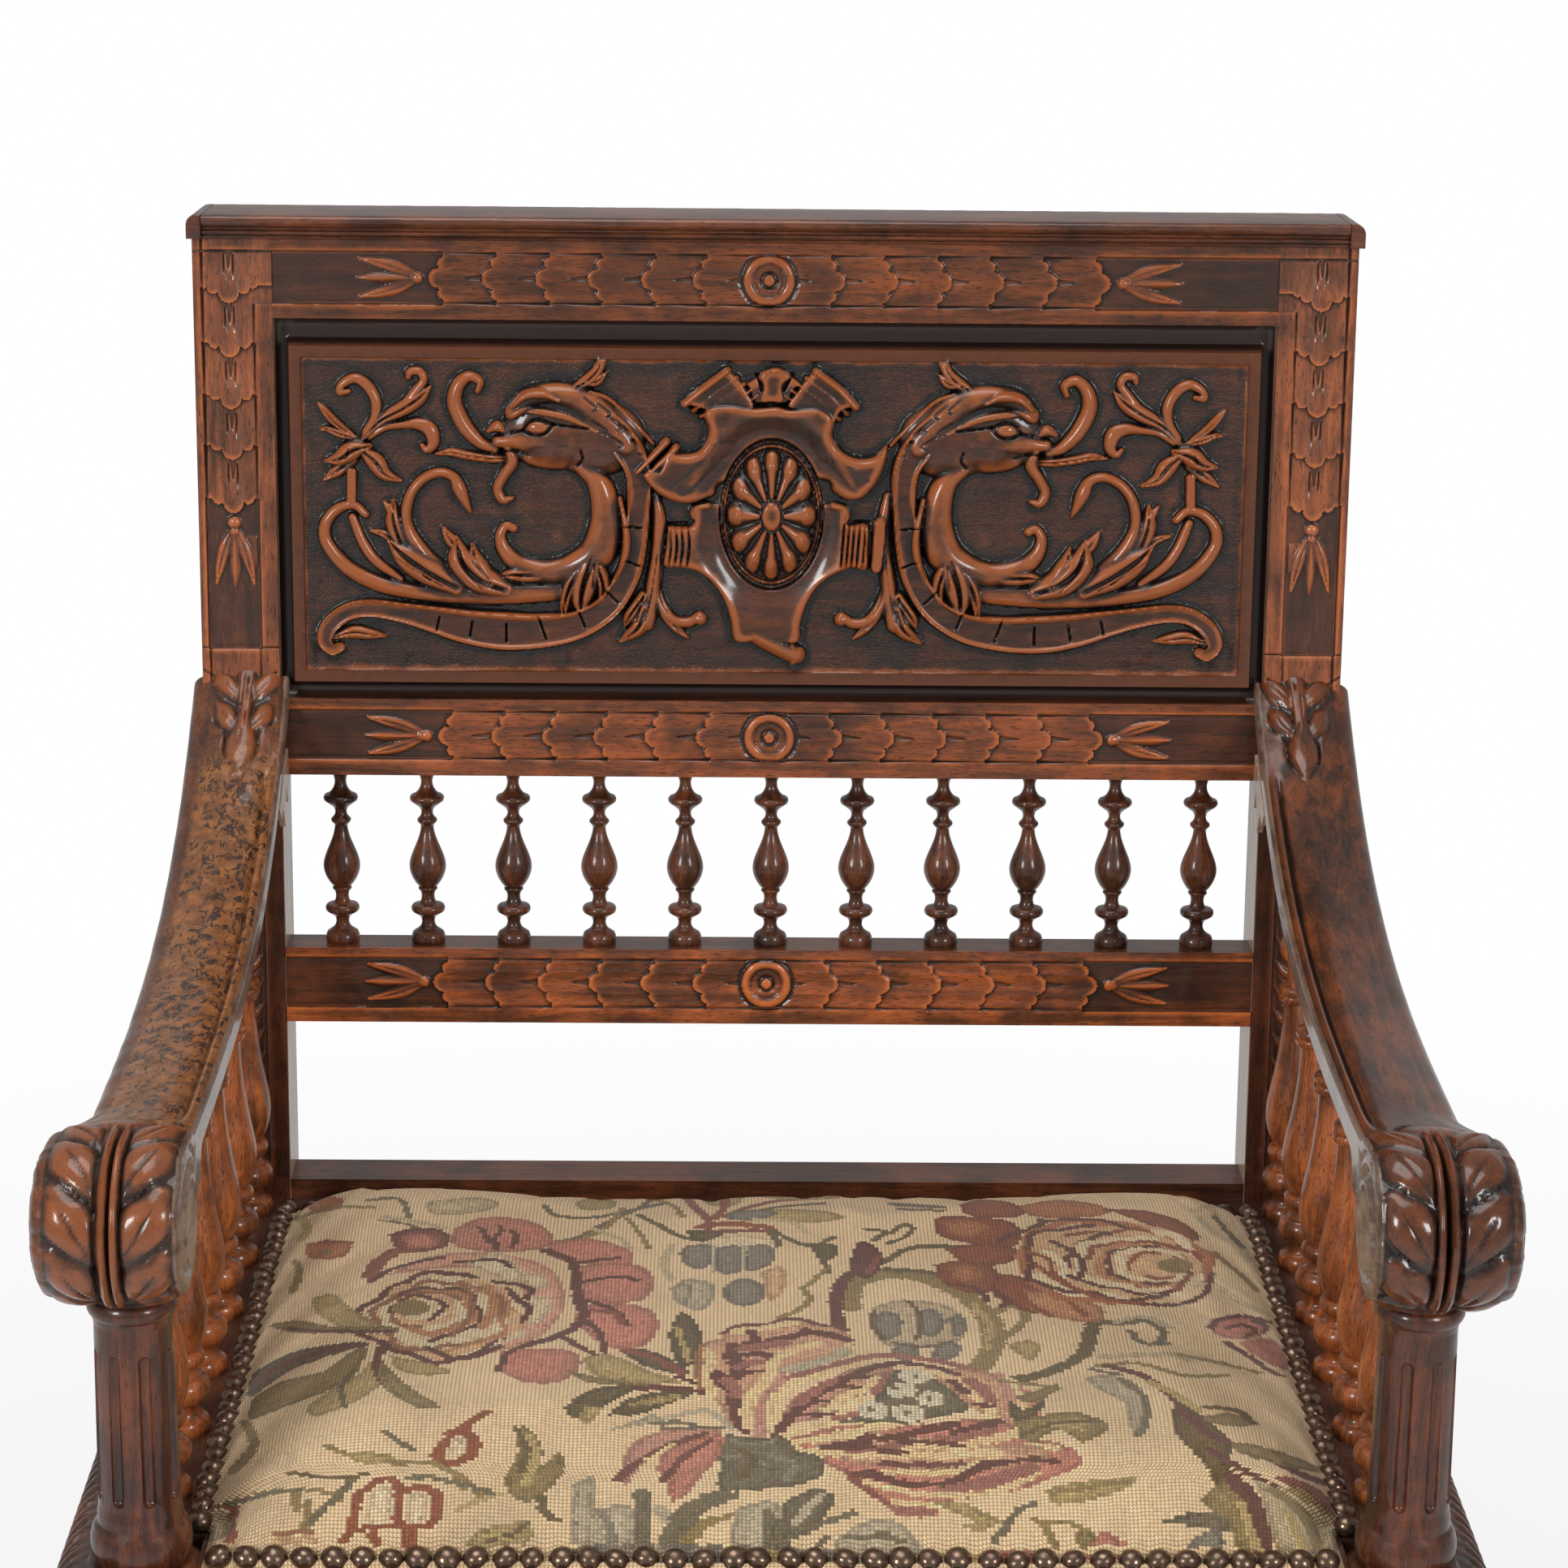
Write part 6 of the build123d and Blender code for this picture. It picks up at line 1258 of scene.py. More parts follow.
# %% The chart
CHART = """
F straw 95,88 26,-7 15,9 -11,13 -26,2;
L sage 2 62,86 17,-2 7,26 -5,8; 1.6 70,114 18,7 8,8;
straw 3 73,110 19,7 14,9;
F fern 178,88 10,-7 13,5 -2,10 -16,2;
L sage 2.2 161,92 8,15 21,2 20,-10 19,-11; 2.2 167,147 16,-11 16,-22 18,-22 4,-14;
moss 2 205,96 -7,25 -15,21;
pine 2.4 215,106 12,15 11,14 12,6;
moss 1.8 208,110 8,22 5,19; 2 220,81 14,11 5,15;
straw 2.5 190,125 15,14 6,15;
wine 3 240,75 5,17 8,18 0,16;
F fern 246,69 11,-4 15,5 -2,19 -13,3 -7,-8;
L rust 3 264,73 -2,22 -5,15;
wine 2.2 262,107 16,-15 19,-9 29,-5;
F fern 282,78 23,-10 25,3 -3,7 -27,4; 264,111 22,-14 30,1 14,8 -14,8 -30,0;
L pine 1.6 267,106 26,-13 26,-6;
F slate 264,103 14,-6 15,4 -11,9 -15,2;
L rust 3.6 249,122 18,-5 21,5;
wine 3 253,129 18,-2 18,0;
F pine 242,126 11,2 8,2 -4,10 -12,1;
L pine 3 289,128 3,19; 2.2 289,126 11,14 11,7 12,-11;
F pine 310,147 13,-2 0,17 -8,4;
L pine 2.2 316,161 3,22;
straw 2.4 279,111 21,3 8,15; 3 234,147 -4,25 4,22;
F ivory 253,140 18,-7 19,8 -8,10 -26,0;
slate 238,158 5,-10 12,0 2,13 -4,16 -10,0; 258,151 12,-3 4,17 -4,19 -10,0 -3,-18; 275,147 13,1 1,20 -7,12 -9,-2;
L ash 1.4 256,148 1,35; 1.4 274,147 -1,32;
F ash 234,205 9,-12 14,7 0,20 -8,14 -11,-10;
L slate 1.4 240,200 5,5 -3,19;
F slate 262,205 9,-13 12,8 0,20 -10,8 -9,-7;
tan 283,183 11,-8 1,30 -9,16;
L moss 2.4 305,205 3,16 -8,14 -7,7; 2 319,177 -14,28;
pine 2.2 342,124 10,4 -8,12; 2 355,129 8,-13 4,9 -6,11 -9,8; 2.6 350,169 13,-18 15,-4 18,1;
sage 2.6 357,88 13,2 15,2; 2 361,95 24,2;
moss 7 330,228 1,-28 17,-15 22,5 19,19 11,25 4,30 -6,29 -6,12;
pine 3 351,179 23,4 19,16;
fern 2.6 395,224 7,26 -2,29;
F stone 342,228 17,-9 23,8 7,22 -4,23 -19,7 -22,-7;
slate 341,242 7,-8 8,8 -2,22 -10,4; 363,235 11,-4 5,18 -7,16 -8,-8; 381,242 7,-4 2,18 -7,8;
L pine 1.6 342,234 -2,16 6,19; 1.6 361,221 6,21 -4,27;
F slate 351,279 9,-6 3,17 -8,5 -6,-6; 374,272 11,3 -3,15 -12,3;
L pine 1.4 350,273 16,5 15,-7;
F plum 335,145 6,-4 8,20 -4,23 -8,7 -6,-15;
L plum 4.2 341,173 -14,21 -5,27 2,51;
wine 2 347,161 -6,23;
moss 3 407,234 8,-8 7,12 -7,19 -12,15;
F fern 410,275 11,-6 6,9 -6,16 -6,-8;
L pine 4.4 407,319 22,-11 19,-22 7,-29 5,-15;
sage 3 460,244 13,4 11,-5 9,13 -4,17; 2.2 476,257 4,15 13,1;
ash 2.6 469,246 15,-7 13,14;
straw 3.4 458,289 33,-3 12,7;
F rust 379,111 10,-6 29,5 9,15 -5,22 -19,-3 -21,-11;
clay 385,114 14,-4 11,11 -11,12 -12,-6;
rust 395,89 12,-8 19,5 3,17 -19,4 -13,-7;
clay 429,89 22,-8 22,6 5,13 -24,7 -20,-4;
rust 476,93 23,3 18,14 9,23 -12,4 -19,-26; 377,173 15,-7 15,6 4,19 -8,19 -15,-4 -9,-15;
clay 385,176 11,-4 6,11 -6,11 -9,-4;
rust 384,151 19,-8 19,7 -4,19 -22,3; 410,184 15,6 12,23 -8,22 -11,-7 -12,-19;
brick 421,206 19,3 23,19 -4,18 -19,-4 -16,-14;
L rust 2.4 421,205 4,18 11,16; 2.4 440,205 8,19 6,14;
plum 2.6 414,139 11,-11 11,-7 4,-11; 2.4 407,205 7,15 -4,7; 2 388,198 11,7 4,15;
O tan 475,166 53,56;
R clay 3.4 473,166 51,53 -150 200 3;
ivory 4 476,167 45,48 -160 60 4;
plum 2.2 473,165 47,51 95 320 5;
rust 2.4 478,167 41,43 -60 130 6;
tan 3 480,168 37,40 -180 180 5;
plum 2.4 484,169 35,38 100 300 4;
ivory 3.4 486,169 31,34 60 320 5;
rust 2.2 488,170 27,31 -100 170 4;
brick 3 490,171 23,27 -180 180 4;
plum 2 492,171 21,24 60 300 5;
ivory 3 495,171 18,21 -180 180 4;
rust 1.8 497,172 14,17 -120 200 4;
tan 2.6 500,172 10,12 -180 180 3;
O moss 508,172 10,10;
L plum 2.2 443,139 11,15 4,18 -4,18; 2 432,121 15,-11 26,0 14,11;
rust 2.4 432,172 15,26 18,18 22,7;
plum 2.2 487,223 18,0 15,-14 7,-26;
ivory 2.4 440,154 7,18 -2,18;
rust 2 429,154 11,11 1,18 10,22;
F wine 79,136 9,-7 15,0 8,10 -1,12 -12,7 -13,0 -4,-11;
pink 85,138 11,-4 9,7 -2,9 -11,3;
L plum 2 79,136 9,-8 15,0 9,11;
wine 5 82,158 -7,14 -3,18;
F pink 114,125 11,-13 18,-2 18,11 8,22 -8,11 -22,4 -18,-4 -9,-11;
L plum 2 133,144 -4,-16 -2,-3; 2 138,154 -2,-15 3,-10 -1,-7; 2 146,151 2,-12 -3,-11;
F pink 165,150 11,-9 18,0 16,13 3,15 -8,8 -22,-5 -14,-7; 179,179 19,-7 18,4 8,14 -2,26 -13,8 -19,-3 -7,-16; 188,228
17,-4 19,10 4,22 -7,22 -16,3 -13,-17 -7,-19; 148,286 17,-4 20,4 4,18 -10,18 -18,0 -12,-14;
L plum 3.4 164,155 15,14 4,21 2,30 4,22 -10,22 -21,15; 2.2 183,172 15,-5 7,-2; 2.2 185,198 20,-8 11,5; 2.2 187,220
18,14 7,19; 2.2 189,245 9,19 3,22; 2.2 179,267 11,15 12,13; 2.4 161,277 -10,12 -3,19;
wine 2.4 194,234 11,4 4,11;
F peach 82,190 12,-18 20,-12 25,1 22,11 13,22 4,33 -6,29 -14,22 -26,15 -11,7 4,-14 22,-22 11,-30 -4,-29 -15,-22 -25,-4;
ivory 121,172 15,-11 11,7 7,22 -7,8 -15,-15; 150,183 15,7 3,15 -10,0; 158,216 14,4 -3,22 -8,11; 154,256 7,8 -14,14
-11,11;
L plum 2 117,172 22,-3 8,10; 2 73,198 9,-15 14,-11 14,-7;
O ivory 114,242 41,52;
R plum 2.6 114,242 42,53 -120 250 4;
tan 3 116,243 36,46 -180 180 5;
brick 2.4 118,243 31,40 -100 90 6;
bark 2.2 112,242 32,42 80 300 5;
ivory 3 112,240 26,34 -180 180 5;
plum 2 110,238 24,32 -90 150 5;
brick 3 110,237 20,26 -160 120 5;
bark 2 106,235 18,23 30 270 4;
tan 2.6 105,234 14,18 -180 180 4;
plum 1.8 101,233 13,16 -60 200 4;
O moss 97,232 10,10;
L plum 2.4 110,282 13,12 11,-1 13,-13;
bark 2 132,205 12,15 1,22;
brick 3.4 136,205 5,22 -4,29;
plum 2.2 139,198 19,7 0,15;
bark 1.8 121,198 8,22 -1,29 -7,18;
F clay 34,150 10,-5 13,2 0,14 -9,8 -12,-3;
O moss 45,159 4,4;
L rust 1.6 34,150 11,-6 13,3;
moss 2.4 30,172 4,18 -2,22;
fern 3 26,110 6,18 -2,15;
F clay 26,88 11,-7 11,5 -3,13 -12,4;
L moss 2.2 24,114 10,-11 14,-7 18,0;
F fern 44,220 11,-4 11,18 15,19 -3,9 -16,-6 -14,-18;
moss 24,256 13,-7 22,7 29,0 4,6 -26,2 -26,0;
L plum 2.2 37,259 22,3 31,0;
F pine 23,315 8,-15 13,-14 15,-7 14,-4 2,5 -16,13 -18,18 -10,19 -7,11;
L plum 3 26,322 14,-22 19,-15 17,-6;
F moss 27,341 13,-19 19,-11 11,-22 8,-7 -3,33 -9,15 -22,22 -16,14;
fern 55,352 11,-22 11,-15 8,-22 7,22 -8,22 -11,15 -14,11;
L plum 2.4 86,278 0,33 9,19 15,18;
F moss 88,300 8,15 11,18 14,19 -11,0 -14,-15 -8,-18;
fern 92,293 18,7 14,11 -14,4 -14,-7;
L pine 1.8 73,352 -3,-22 3,-19;
moss 3 26,370 7,26 -7,29;
F pine 209,284 11,-2 14,11 11,18 -11,-1 -14,-10;
L wine 2.6 210,284 18,9 14,19;
F fern 190,293 15,-3 22,21 15,11 -22,1 -22,-8;
moss 183,308 22,11 22,6 -7,2 -26,-5;
L plum 3 212,330 22,-2 19,5; 2 238,315 11,7;
F pine 183,352 11,-19 15,-7 9,2 -9,13 -11,14 -10,8;
fern 190,363 4,-11 8,0 -6,17;
pine 205,360 11,-19 18,-8 14,1 -14,14 -14,11;
fern 216,348 15,-10 11,0 -15,10;
pine 234,264 4,-22 5,-4 8,26 -2,29 -7,11 -5,-15;
L fern 2 238,256 4,22 3,19;
F ash 205,377 15,-11 7,-7 7,7 -7,4;
L sage 2.2 228,369 14,-1 11,6;
ash 3 234,363 19,-8 11,11 3,8;
F shell 250,279 3,-6 9,-4 2,-7 14,-9 15,-6 15,1 11,5 9,11 2,19 -11,11 -18,11 -11,17 -4,26 -6,22 -6,8 -8,-10 -5,-20
-8,-18 -2,-22;
L corn 3.4 253,283 3,12 -2,20 3,22;
bark 2 251,277 -2,23 2,30;
fig 1.8 262,262 9,-9 15,-2 7,-6 10,-1 9,7 10,3 6,3;
corn 3.6 268,261 14,-5 11,-5 7,-2; 3 327,272 2,15;
plum 3.2 277,261 2,10 -6,6 -6,6 -2,10; 4.4 267,279 1,14 3,12 -4,14; 4.4 259,311 3,11 5,8 2,22 3,15 2,10; 3.2 273,289
9,-2 6,5; 3.4 284,279 4,-9 9,-3 11,-6 11,3 8,6; 2.8 305,257 6,5 11,4; 2 270,311 12,-3;
rose 4.2 273,282 11,-5 10,-3; 4.2 264,319 4,9 1,10; 3 269,304 6,-5 8,-2;
corn 4.4 276,372 -1,-20 3,-19 7,-14; 3.8 286,318 2,-18 5,-11 11,-10 8,-4;
blush 4 281,382 1,-19 2,-19 5,-14 4,-14;
corn 4.4 288,366 1,-18 4,-16 11,-16 15,-11 11,-7;
ash 5 297,306 11,-6 11,-8 6,-8;
rose 3 295,316 13,-8 14,-9 11,-7 15,-4 18,5 15,6 12,9;
F blush 292,369 2,-17 5,-13 12,-13 11,-15 12,-9 11,-3 5,5 -6,15 -14,22 -14,17 -15,10;
shell 306,363 5,-15 11,-18 15,-19 9,0 -5,11 -11,19 -13,16;
L plum 3.6 289,383 4,-13 8,-18 9,-17 9,-11 11,-13 9,-8 11,-5; 2.2 325,317 13,-3; 2.2 311,332 11,-5 10,0; 2.2 302,347
13,-5 8,3; 2.2 293,361 11,-2 12,0;
rose 4 299,347 8,-13 10,-13;
corn 4 341,317 -6,11 -8,7 -6,9; 3.4 314,352 8,-2 8,-9;
rose 3 346,311 -2,11 -5,10; 3.2 318,363 12,-5;
corn 4 295,381 16,-10 19,-4;
F shell 366,304 19,0 15,7 12,11 6,22 2,22 -10,16 -11,-15 -10,-15 -8,-11 -7,-19;
L plum 2.4 352,297 18,5 12,9;
corn 3.2 370,308 11,11 4,11 9,14 4,19; 3.6 408,318 4,19 2,18 -4,19;
plum 3.2 379,319 6,13; 2.6 390,346 8,2;
rose 4 388,318 6,12 4,12;
blush 3 403,311 4,19 0,22;
pink 3 416,330 3,22 -5,22;
F sage 350,305 17,9 11,16 8,21 -12,7 -11,5 -11,6 -22,-2 -12,2 11,-8 8,-17 6,-14;
O pearl 360,314 8,8; 353,330 8,9; 367,340 7,9; 338,353 8,10; 355,356 9,10;
sage 360,314 1,3; 349,327 2,3; 366,339 1,3; 336,353 2,3; 355,356 2,3;
F pink 292,388 30,-17 30,0 36,-8 19,7 7,15 15,5 9,20 -17,17 -18,14 -32,11 -8,15 -15,-1 -13,-19 -9,-18 -15,-17 -14,-12;
shell 304,388 26,-11 36,8 37,7 18,4 -7,18 -33,4 -29,0 -30,-8;
L corn 4.2 293,391 18,-6 19,-9 15,-6; 4.4 297,399 22,3 29,1 26,0 23,-4; 3.4 322,382 16,1; 4.6 355,394 26,-2 15,-7
11,-7 6,-7; 3.4 336,423 16,-2 19,2 14,-9 11,-7; 3.4 331,432 10,6 18,7 29,-1 16,-11 11,-12; 3 414,389 12,6; 3 344,453
22,3;
rose 4.2 325,398 16,-3 12,-7;
plum 4 314,395 12,-5 10,-7; 2.8 322,397 14,-3; 4 342,385 11,-4 13,-7 12,-6; 4 377,379 11,-7 11,-6;
rose 3.6 369,385 12,-2 16,-8;
plum 2.6 351,389 15,0 13,3; 2.6 341,399 11,1;
rose 6.4 372,436 16,-3 12,-8 12,-8;
plum 3.4 329,423 6,0 8,6 12,5 15,-1 9,-8 8,-9 6,-6; 2.8 388,417 11,-6 15,-4 12,3;
fig 3.4 341,412 22,2 15,-2;
wine 2.2 322,421 8,16 11,18;
rose 4 347,462 13,0;
F sage 264,381 14,4 15,0 6,14 12,8 -1,18 -13,11 -19,5 -17,-1 1,-26 -3,-15;
L slate 2 267,388 11,4 11,-4; 2 264,407 11,-4 7,11;
pine 2.4 271,396 7,14 -7,19;
slate 2.4 286,403 11,11 -4,15;
F blush 220,388 14,-11 22,-3 6,7 -20,7 -15,19 -7,18 -4,11 -2,-26;
pink 234,399 15,-14 13,-3 -1,21 -8,22 -8,22 -7,4 -2,-26 -5,-4;
L fig 2.6 212,432 8,-18 14,-18 19,-15; 2.4 234,432 8,-22 14,-22;
corn 2 226,410 12,-18;
sage 2 233,374 20,0 9,0;
rust 3.4 127,390 -3,9 1,13 8,2 6,-7 2,-15 -4,-10 -5,-3 -4,3; 3.2 132,379 5,-9 7,-12;
F ivory 129,388 5,-3 3,11 -3,11 -6,-1;
L sage 2 95,379 8,11 9,11;
moss 2.4 68,396 16,11 19,7 18,0 18,18 8,15;
F fern 79,405 13,-2 11,4 -8,7 -11,-2;
L moss 2 121,414 11,11 7,15;
pine 2.2 55,425 18,4 19,-2;
moss 2.2 40,447 15,-4 18,2 8,9;
F moss 160,374 7,2 7,20 1,22 8,-15 2,22 -11,26 -10,0 -6,-19 5,-29;
L fern 3 166,385 5,22 -3,29;
pine 2 161,377 6,22 -2,22;
moss 2 403,319 15,3 14,4;
F moss 410,337 11,-7 11,-8 -1,8 -13,14;
pine 407,341 7,11 11,-11 -7,18 -11,4;
moss 407,366 14,-7 19,-4 14,15 -14,18 -11,-14 -15,14;
fern 421,366 15,-5 11,9 -11,7;
L pine 2 410,381 19,-15 18,0;
F ash 447,315 11,-4 15,11 3,30 -7,25 -5,-11 1,-22 -11,-14;
L sage 2.4 465,315 10,22 -2,29 -6,15; 2 451,304 14,7;
moss 2.2 454,300 22,-3 22,14 22,0;
plum 3 460,300 16,11 11,19 8,22;
fern 3 480,319 11,14 9,19;
moss 2 498,286 22,11 18,11;
F peat 487,352 8,-4 10,18 8,22 -4,26 4,26 -8,22 -10,0 5,-30 -5,-29 -8,-26;
L plum 3 493,352 12,29 19,18 18,22 11,11; 2.6 502,396 11,18 14,22 11,18;
F moss 502,359 14,-4 11,11 -7,4 -15,-4;
L peat 2.4 505,348 15,4 7,14;
F moss 513,388 14,4 22,18 4,11 -22,-11 -15,-11;
fern 418,440 14,-8 30,-5 -8,13 -18,11 -15,3;
L moss 2 421,443 19,-7 18,-5;
F pink 518,249 9,-10 15,1 7,9 -3,11 -15,7 -11,-6;
peach 535,264 14,3 4,19 -11,7 -9,-15;
pink 531,271 11,22 10,11 1,-22 -7,-15;
L plum 2.4 518,253 6,-11 14,-4 12,8; 2 524,271 9,15 9,18 6,7; 1.8 527,253 8,-4 6,7 -6,9; 1.8 541,244 7,7 -2,7;
straw 3 527,95 11,-7 11,4; 3 529,106 6,22 11,19 3,18;
sage 2 537,103 5,22 6,22;
moss 2 531,154 11,29 7,22;
straw 3 527,198 11,22 11,14;
F ash 190,436 10,-7 2,33 4,25 0,10 -13,-2 -2,-26; 200,466 12,-8 9,4 0,35 -20,0;
L slate 2.6 205,462 4,14 3,20;
sage 4.4 224,445 1,17 1,35;
ash 4.4 233,462 5,11;
sage 7 264,447 -11,8 -7,11 -4,15 -4,17;
moss 4.2 257,473 -7,11 -5,14; 2.2 270,464 -8,7 -9,9;
F ash 270,459 12,-6 8,5 -1,40 -22,0;
sage 308,438 -15,16 -2,19 1,16 13,-9 8,-18 3,-15;
L ash 2.6 311,445 -8,15 -6,16;
sage 3 284,462 1,14 -1,22;
F sage 285,476 8,-6 1,28 -8,0;
L sage 2.8 325,464 -10,7 -9,7 -9,9 -5,7;
F ash 316,491 14,-18 15,0 8,18 0,22 -37,0;
L sage 2.8 338,485 -8,4 -8,0; 2.4 312,490 -4,5; 2.4 341,490 6,3;
F slate 198,498 58,0 59,5 0,10 -117,0;
straw 220,500 14,0 0,13 -14,0;
L plum 2.4 330,425 11,5 11,6;
F fern 363,454 14,-1 11,12 6,8 -9,3 -9,-10; 375,475 14,-2 0,7 -12,0;
L sage 2.4 411,454 -7,6 -5,9 -3,11 -7,14;
moss 2.2 410,471 8,2 8,0; 2.4 414,475 2,9 2,13; 2 429,476 5,5;
F moss 429,484 8,0 0,13 -8,0;
pink 435,495 5,-10 4,-2 4,6 3,7;
sage 470,473 10,-8 11,-3 12,0 2,14 -10,5 -11,-5;
slate 479,497 8,-12 8,-5 1,17;
moss 491,451 11,-18 11,3 1,62 -11,0 -1,-25 -7,-14;
L plum 5.4 509,425 7,26 1,22 -2,30;
fern 2.6 510,454 2,46;
moss 3 522,469 2,31;
F straw 520,429 29,22 5,25 -4,22 -26,0;
L moss 3.4 527,440 11,22 3,36; 3.4 538,436 13,26;
fern 2.4 531,458 3,40;
wine 4 534,427 12,13 8,22;
rust 3 92,442 6,-10 6,0 4,9 0,13 2,21; 3 92,442 -3,7 1,32 8,0 9,0; 2.8 90,483 -4,12; 2.8 99,482 2,14; 3 110,445 4,-5
7,1 4,4 2,13 0,17 -6,5 -9,-1 -2,-4; 4.4 116,484 2,16;
F ivory 95,443 9,-1 2,31 -11,3; 113,448 7,-3 3,28 -9,2;
L rust 3 5,473 8,-9 10,-3 8,1 1,14 2,19;
F straw 7,476 11,-9 11,2 2,22 -16,4;
L sage 2.4 28,458 9,-6 11,-6 12,-2;
moss 2.4 59,447 2,15; 2.4 66,454 2,34;
sage 2.4 69,477 4,-12 6,-14 5,-19;
bark 2 55,488 7,-2 8,0;
F tan 56,491 16,-1 1,7 -18,0;
fern 144,495 6,-12 15,-7 7,1 1,18 -12,4 -14,4;
L pine 2 154,492 11,-5 6,-10; 3 176,451 3,14 5,8;
fern 2.4 138,463 7,-9 10,-7;
sage 2.4 110,430 11,-1 11,5 15,7 5,4;
F fern 271,503 22,0 0,10 -22,0;
pink 388,503 19,0 0,10 -19,0;
L pink 3 432,507 22,1;
fern 3 363,507 18,2;
moss 3 505,507 33,1
"""


def path_of(words, closed=False):
    """A smooth path from its first place and its steps, closed if it is an outline."""
    path = np.cumsum(stroke_of(" ".join(words)), axis=0)
    if closed:
        path = np.vstack([path, path[:1]])
    return curve([(*p, 0) for p in path], 4)[:, :2] if len(path) > 2 else path


def worked(a, b):
    """The colour of every stitch, from the chart."""
    hand = np.random.default_rng(41)
    tone = hand.normal(0, 1, a.shape)
    broad = blurred(hand.normal(size=a.shape), 9) * 14
    colour = np.array(WOOL["cream"]) * (0.99 + 0.05 * broad[..., None])
    for stroke in CHART.split(";"):
        words = stroke.split()
        if words[0] in "FLOR":
            kind = words.pop(0)
        if words[0].isalpha():
            wool = words.pop(0)
        if kind in "FL":
            width = float(words.pop(0)) if kind == "L" else 0.0
            path = path_of(words, kind == "F")
            low, high = path.min(0) - width - 1, path.max(0) + width + 1
            near = (a > low[0]) & (a < high[0]) & (b > low[1]) & (b < high[1])
            depth, inside = nearest(a[near], b[near], path)
            on = inside | (depth < 0.3) if kind == "F" else depth < width * (0.92 + 0.10 * tone[near])
            shade = 0.97 + 0.10 * tone[near]
            if kind == "F":
                shade = 0.80 + 0.26 * smooth(depth / 9) + 0.09 * tone[near]
                shade -= 0.20 * (np.sin(depth * 1.1 + tone[near] * 0.7) > 0.72)
        else:
            width = float(words.pop(0)) if kind == "R" else None
            (cx, cy), (rx, ry) = stroke_of(" ".join(words[:2]))
            near = (abs(a - cx) < rx * 1.15 + 3) & (abs(b - cy) < ry * 1.15 + 3)
            da, db = (a[near] - cx) / rx, (b[near] - cy) / ry
            r, angle = np.hypot(da, db), np.degrees(np.arctan2(-db, da))
            on, shade = r < 1, 0.92 + 0.10 * tone[near]
            if kind == "R":
                start, stop, lobes = map(float, words[2:])
                wave = 1 + 0.075 * np.sin(np.radians(angle) * lobes + cx) + 0.03 * np.sin(np.radians(angle) * 11)
                turned = (angle - start) % 360
                on = (abs(r - wave) * (rx + ry) / 2 < width) & (turned <= stop - start)
                shade = 0.96 + 0.10 * tone[near]
        where = np.argwhere(near)[on]
        colour[where[:, 0], where[:, 1]] = np.array(WOOL[wool]) * shade[on][:, None]
    return np.minimum((1.49, 1.40, 1.27) * colour * (1 + 0.055 * hand.normal(0, 1, a.shape))[..., None], 0.9)


centre = (cover[:-1, :-1] + cover[:-1, 1:] + cover[1:, 1:] + cover[1:, :-1]) / 4
EYE = np.array([-21.9, -1790.3, 1262.9])
SHEET_Z = SEAT_LINE + 27
reach = (SHEET_Z - EYE[2]) / (centre[..., 2] - EYE[2])
seen = EYE[:2] + (centre[..., :2] - EYE[:2]) * reach[..., None]
wools = worked((seen[..., 0] + 262) * 1.0989, (BACK_Y - 5 - seen[..., 1]) * 1.0989)
print("stitches worked:", wools.shape[0] * wools.shape[1], "in", len(WOOL), "wools")

# %% The cover as one closed piece
MAP_STITCHES = 400.0
ring, quads, fan = closed_sheet(rows, cols)
flat = cover.reshape(-1, 3)
skirt = flat[ring].copy()
skirt[:, 2] = LEDGE_TOP + 0.1
hub = np.array([[0, BACK_Y - 220, LEDGE_TOP + 0.1]])
seat = make_mesh("needlepoint_cover", np.concatenate([flat, skirt, hub]) * MM, quads, fan)
outward(seat)
seat.data.shade_smooth()
faces = len(seat.data.polygons)
stitches = (rows - 1) * (cols - 1)
per_face = np.full((faces, 4), 1.0, np.float32)
per_face[:stitches, :3] = wools.reshape(-1, 3)
per_face[stitches:, :3] = (0.30, 0.22, 0.14)
sizes = np.empty(faces, np.int32)
seat.data.polygons.foreach_get("loop_total", sizes)
layer = seat.data.color_attributes.new("wool", "FLOAT_COLOR", "CORNER")
layer.data.foreach_set("color", np.repeat(per_face, sizes, axis=0).ravel())
corner = np.empty(len(seat.data.loops), np.int32)
seat.data.loops.foreach_get("vertex_index", corner)
spot = np.stack(np.meshgrid(np.arange(cols), np.arange(rows)), -1).reshape(-1, 2)
spot = np.concatenate([spot, np.zeros((len(ring) + 1, 2))])
uv = seat.data.uv_layers.new(name="stitches")
uv.data.foreach_set("uv", (spot[corner] / MAP_STITCHES).astype(np.float32).ravel())
print("cover mesh:", faces, "faces")


# %% The needlepoint's finish
wool_finish = bpy.data.materials.new("needlepoint wool")
n = empty(wool_finish)
place = n("TexCoord").outputs["Object"]
count = n("VectorMath", {0: n("UVMap", uv_map="stitches"), 3: MAP_STITCHES}, operation="SCALE")
parts = n("SeparateXYZ", {0: count})
up_share = n.math("FRACT", parts.outputs[1])
leaning = n.math("ADD", parts.outputs[0], n.times(up_share, 0.35))
across_share = n.math("FRACT", leaning)
bow_a = n.math("SINE", n.times(across_share, math.pi))
bow_b = n.math("SINE", n.times(up_share, math.pi))
loop = n.times(n.math("POWER", bow_a, 0.7), n.math("POWER", bow_b, 0.5))
fibre = n.noise(place, 2600, 3, 0.6)
fuzz = n.noise(place, 300, 4, 0.65)
gap = n.ramp(loop, 0.62, 0.20)
tone = n("Attribute", attribute_name="wool").outputs["Color"]
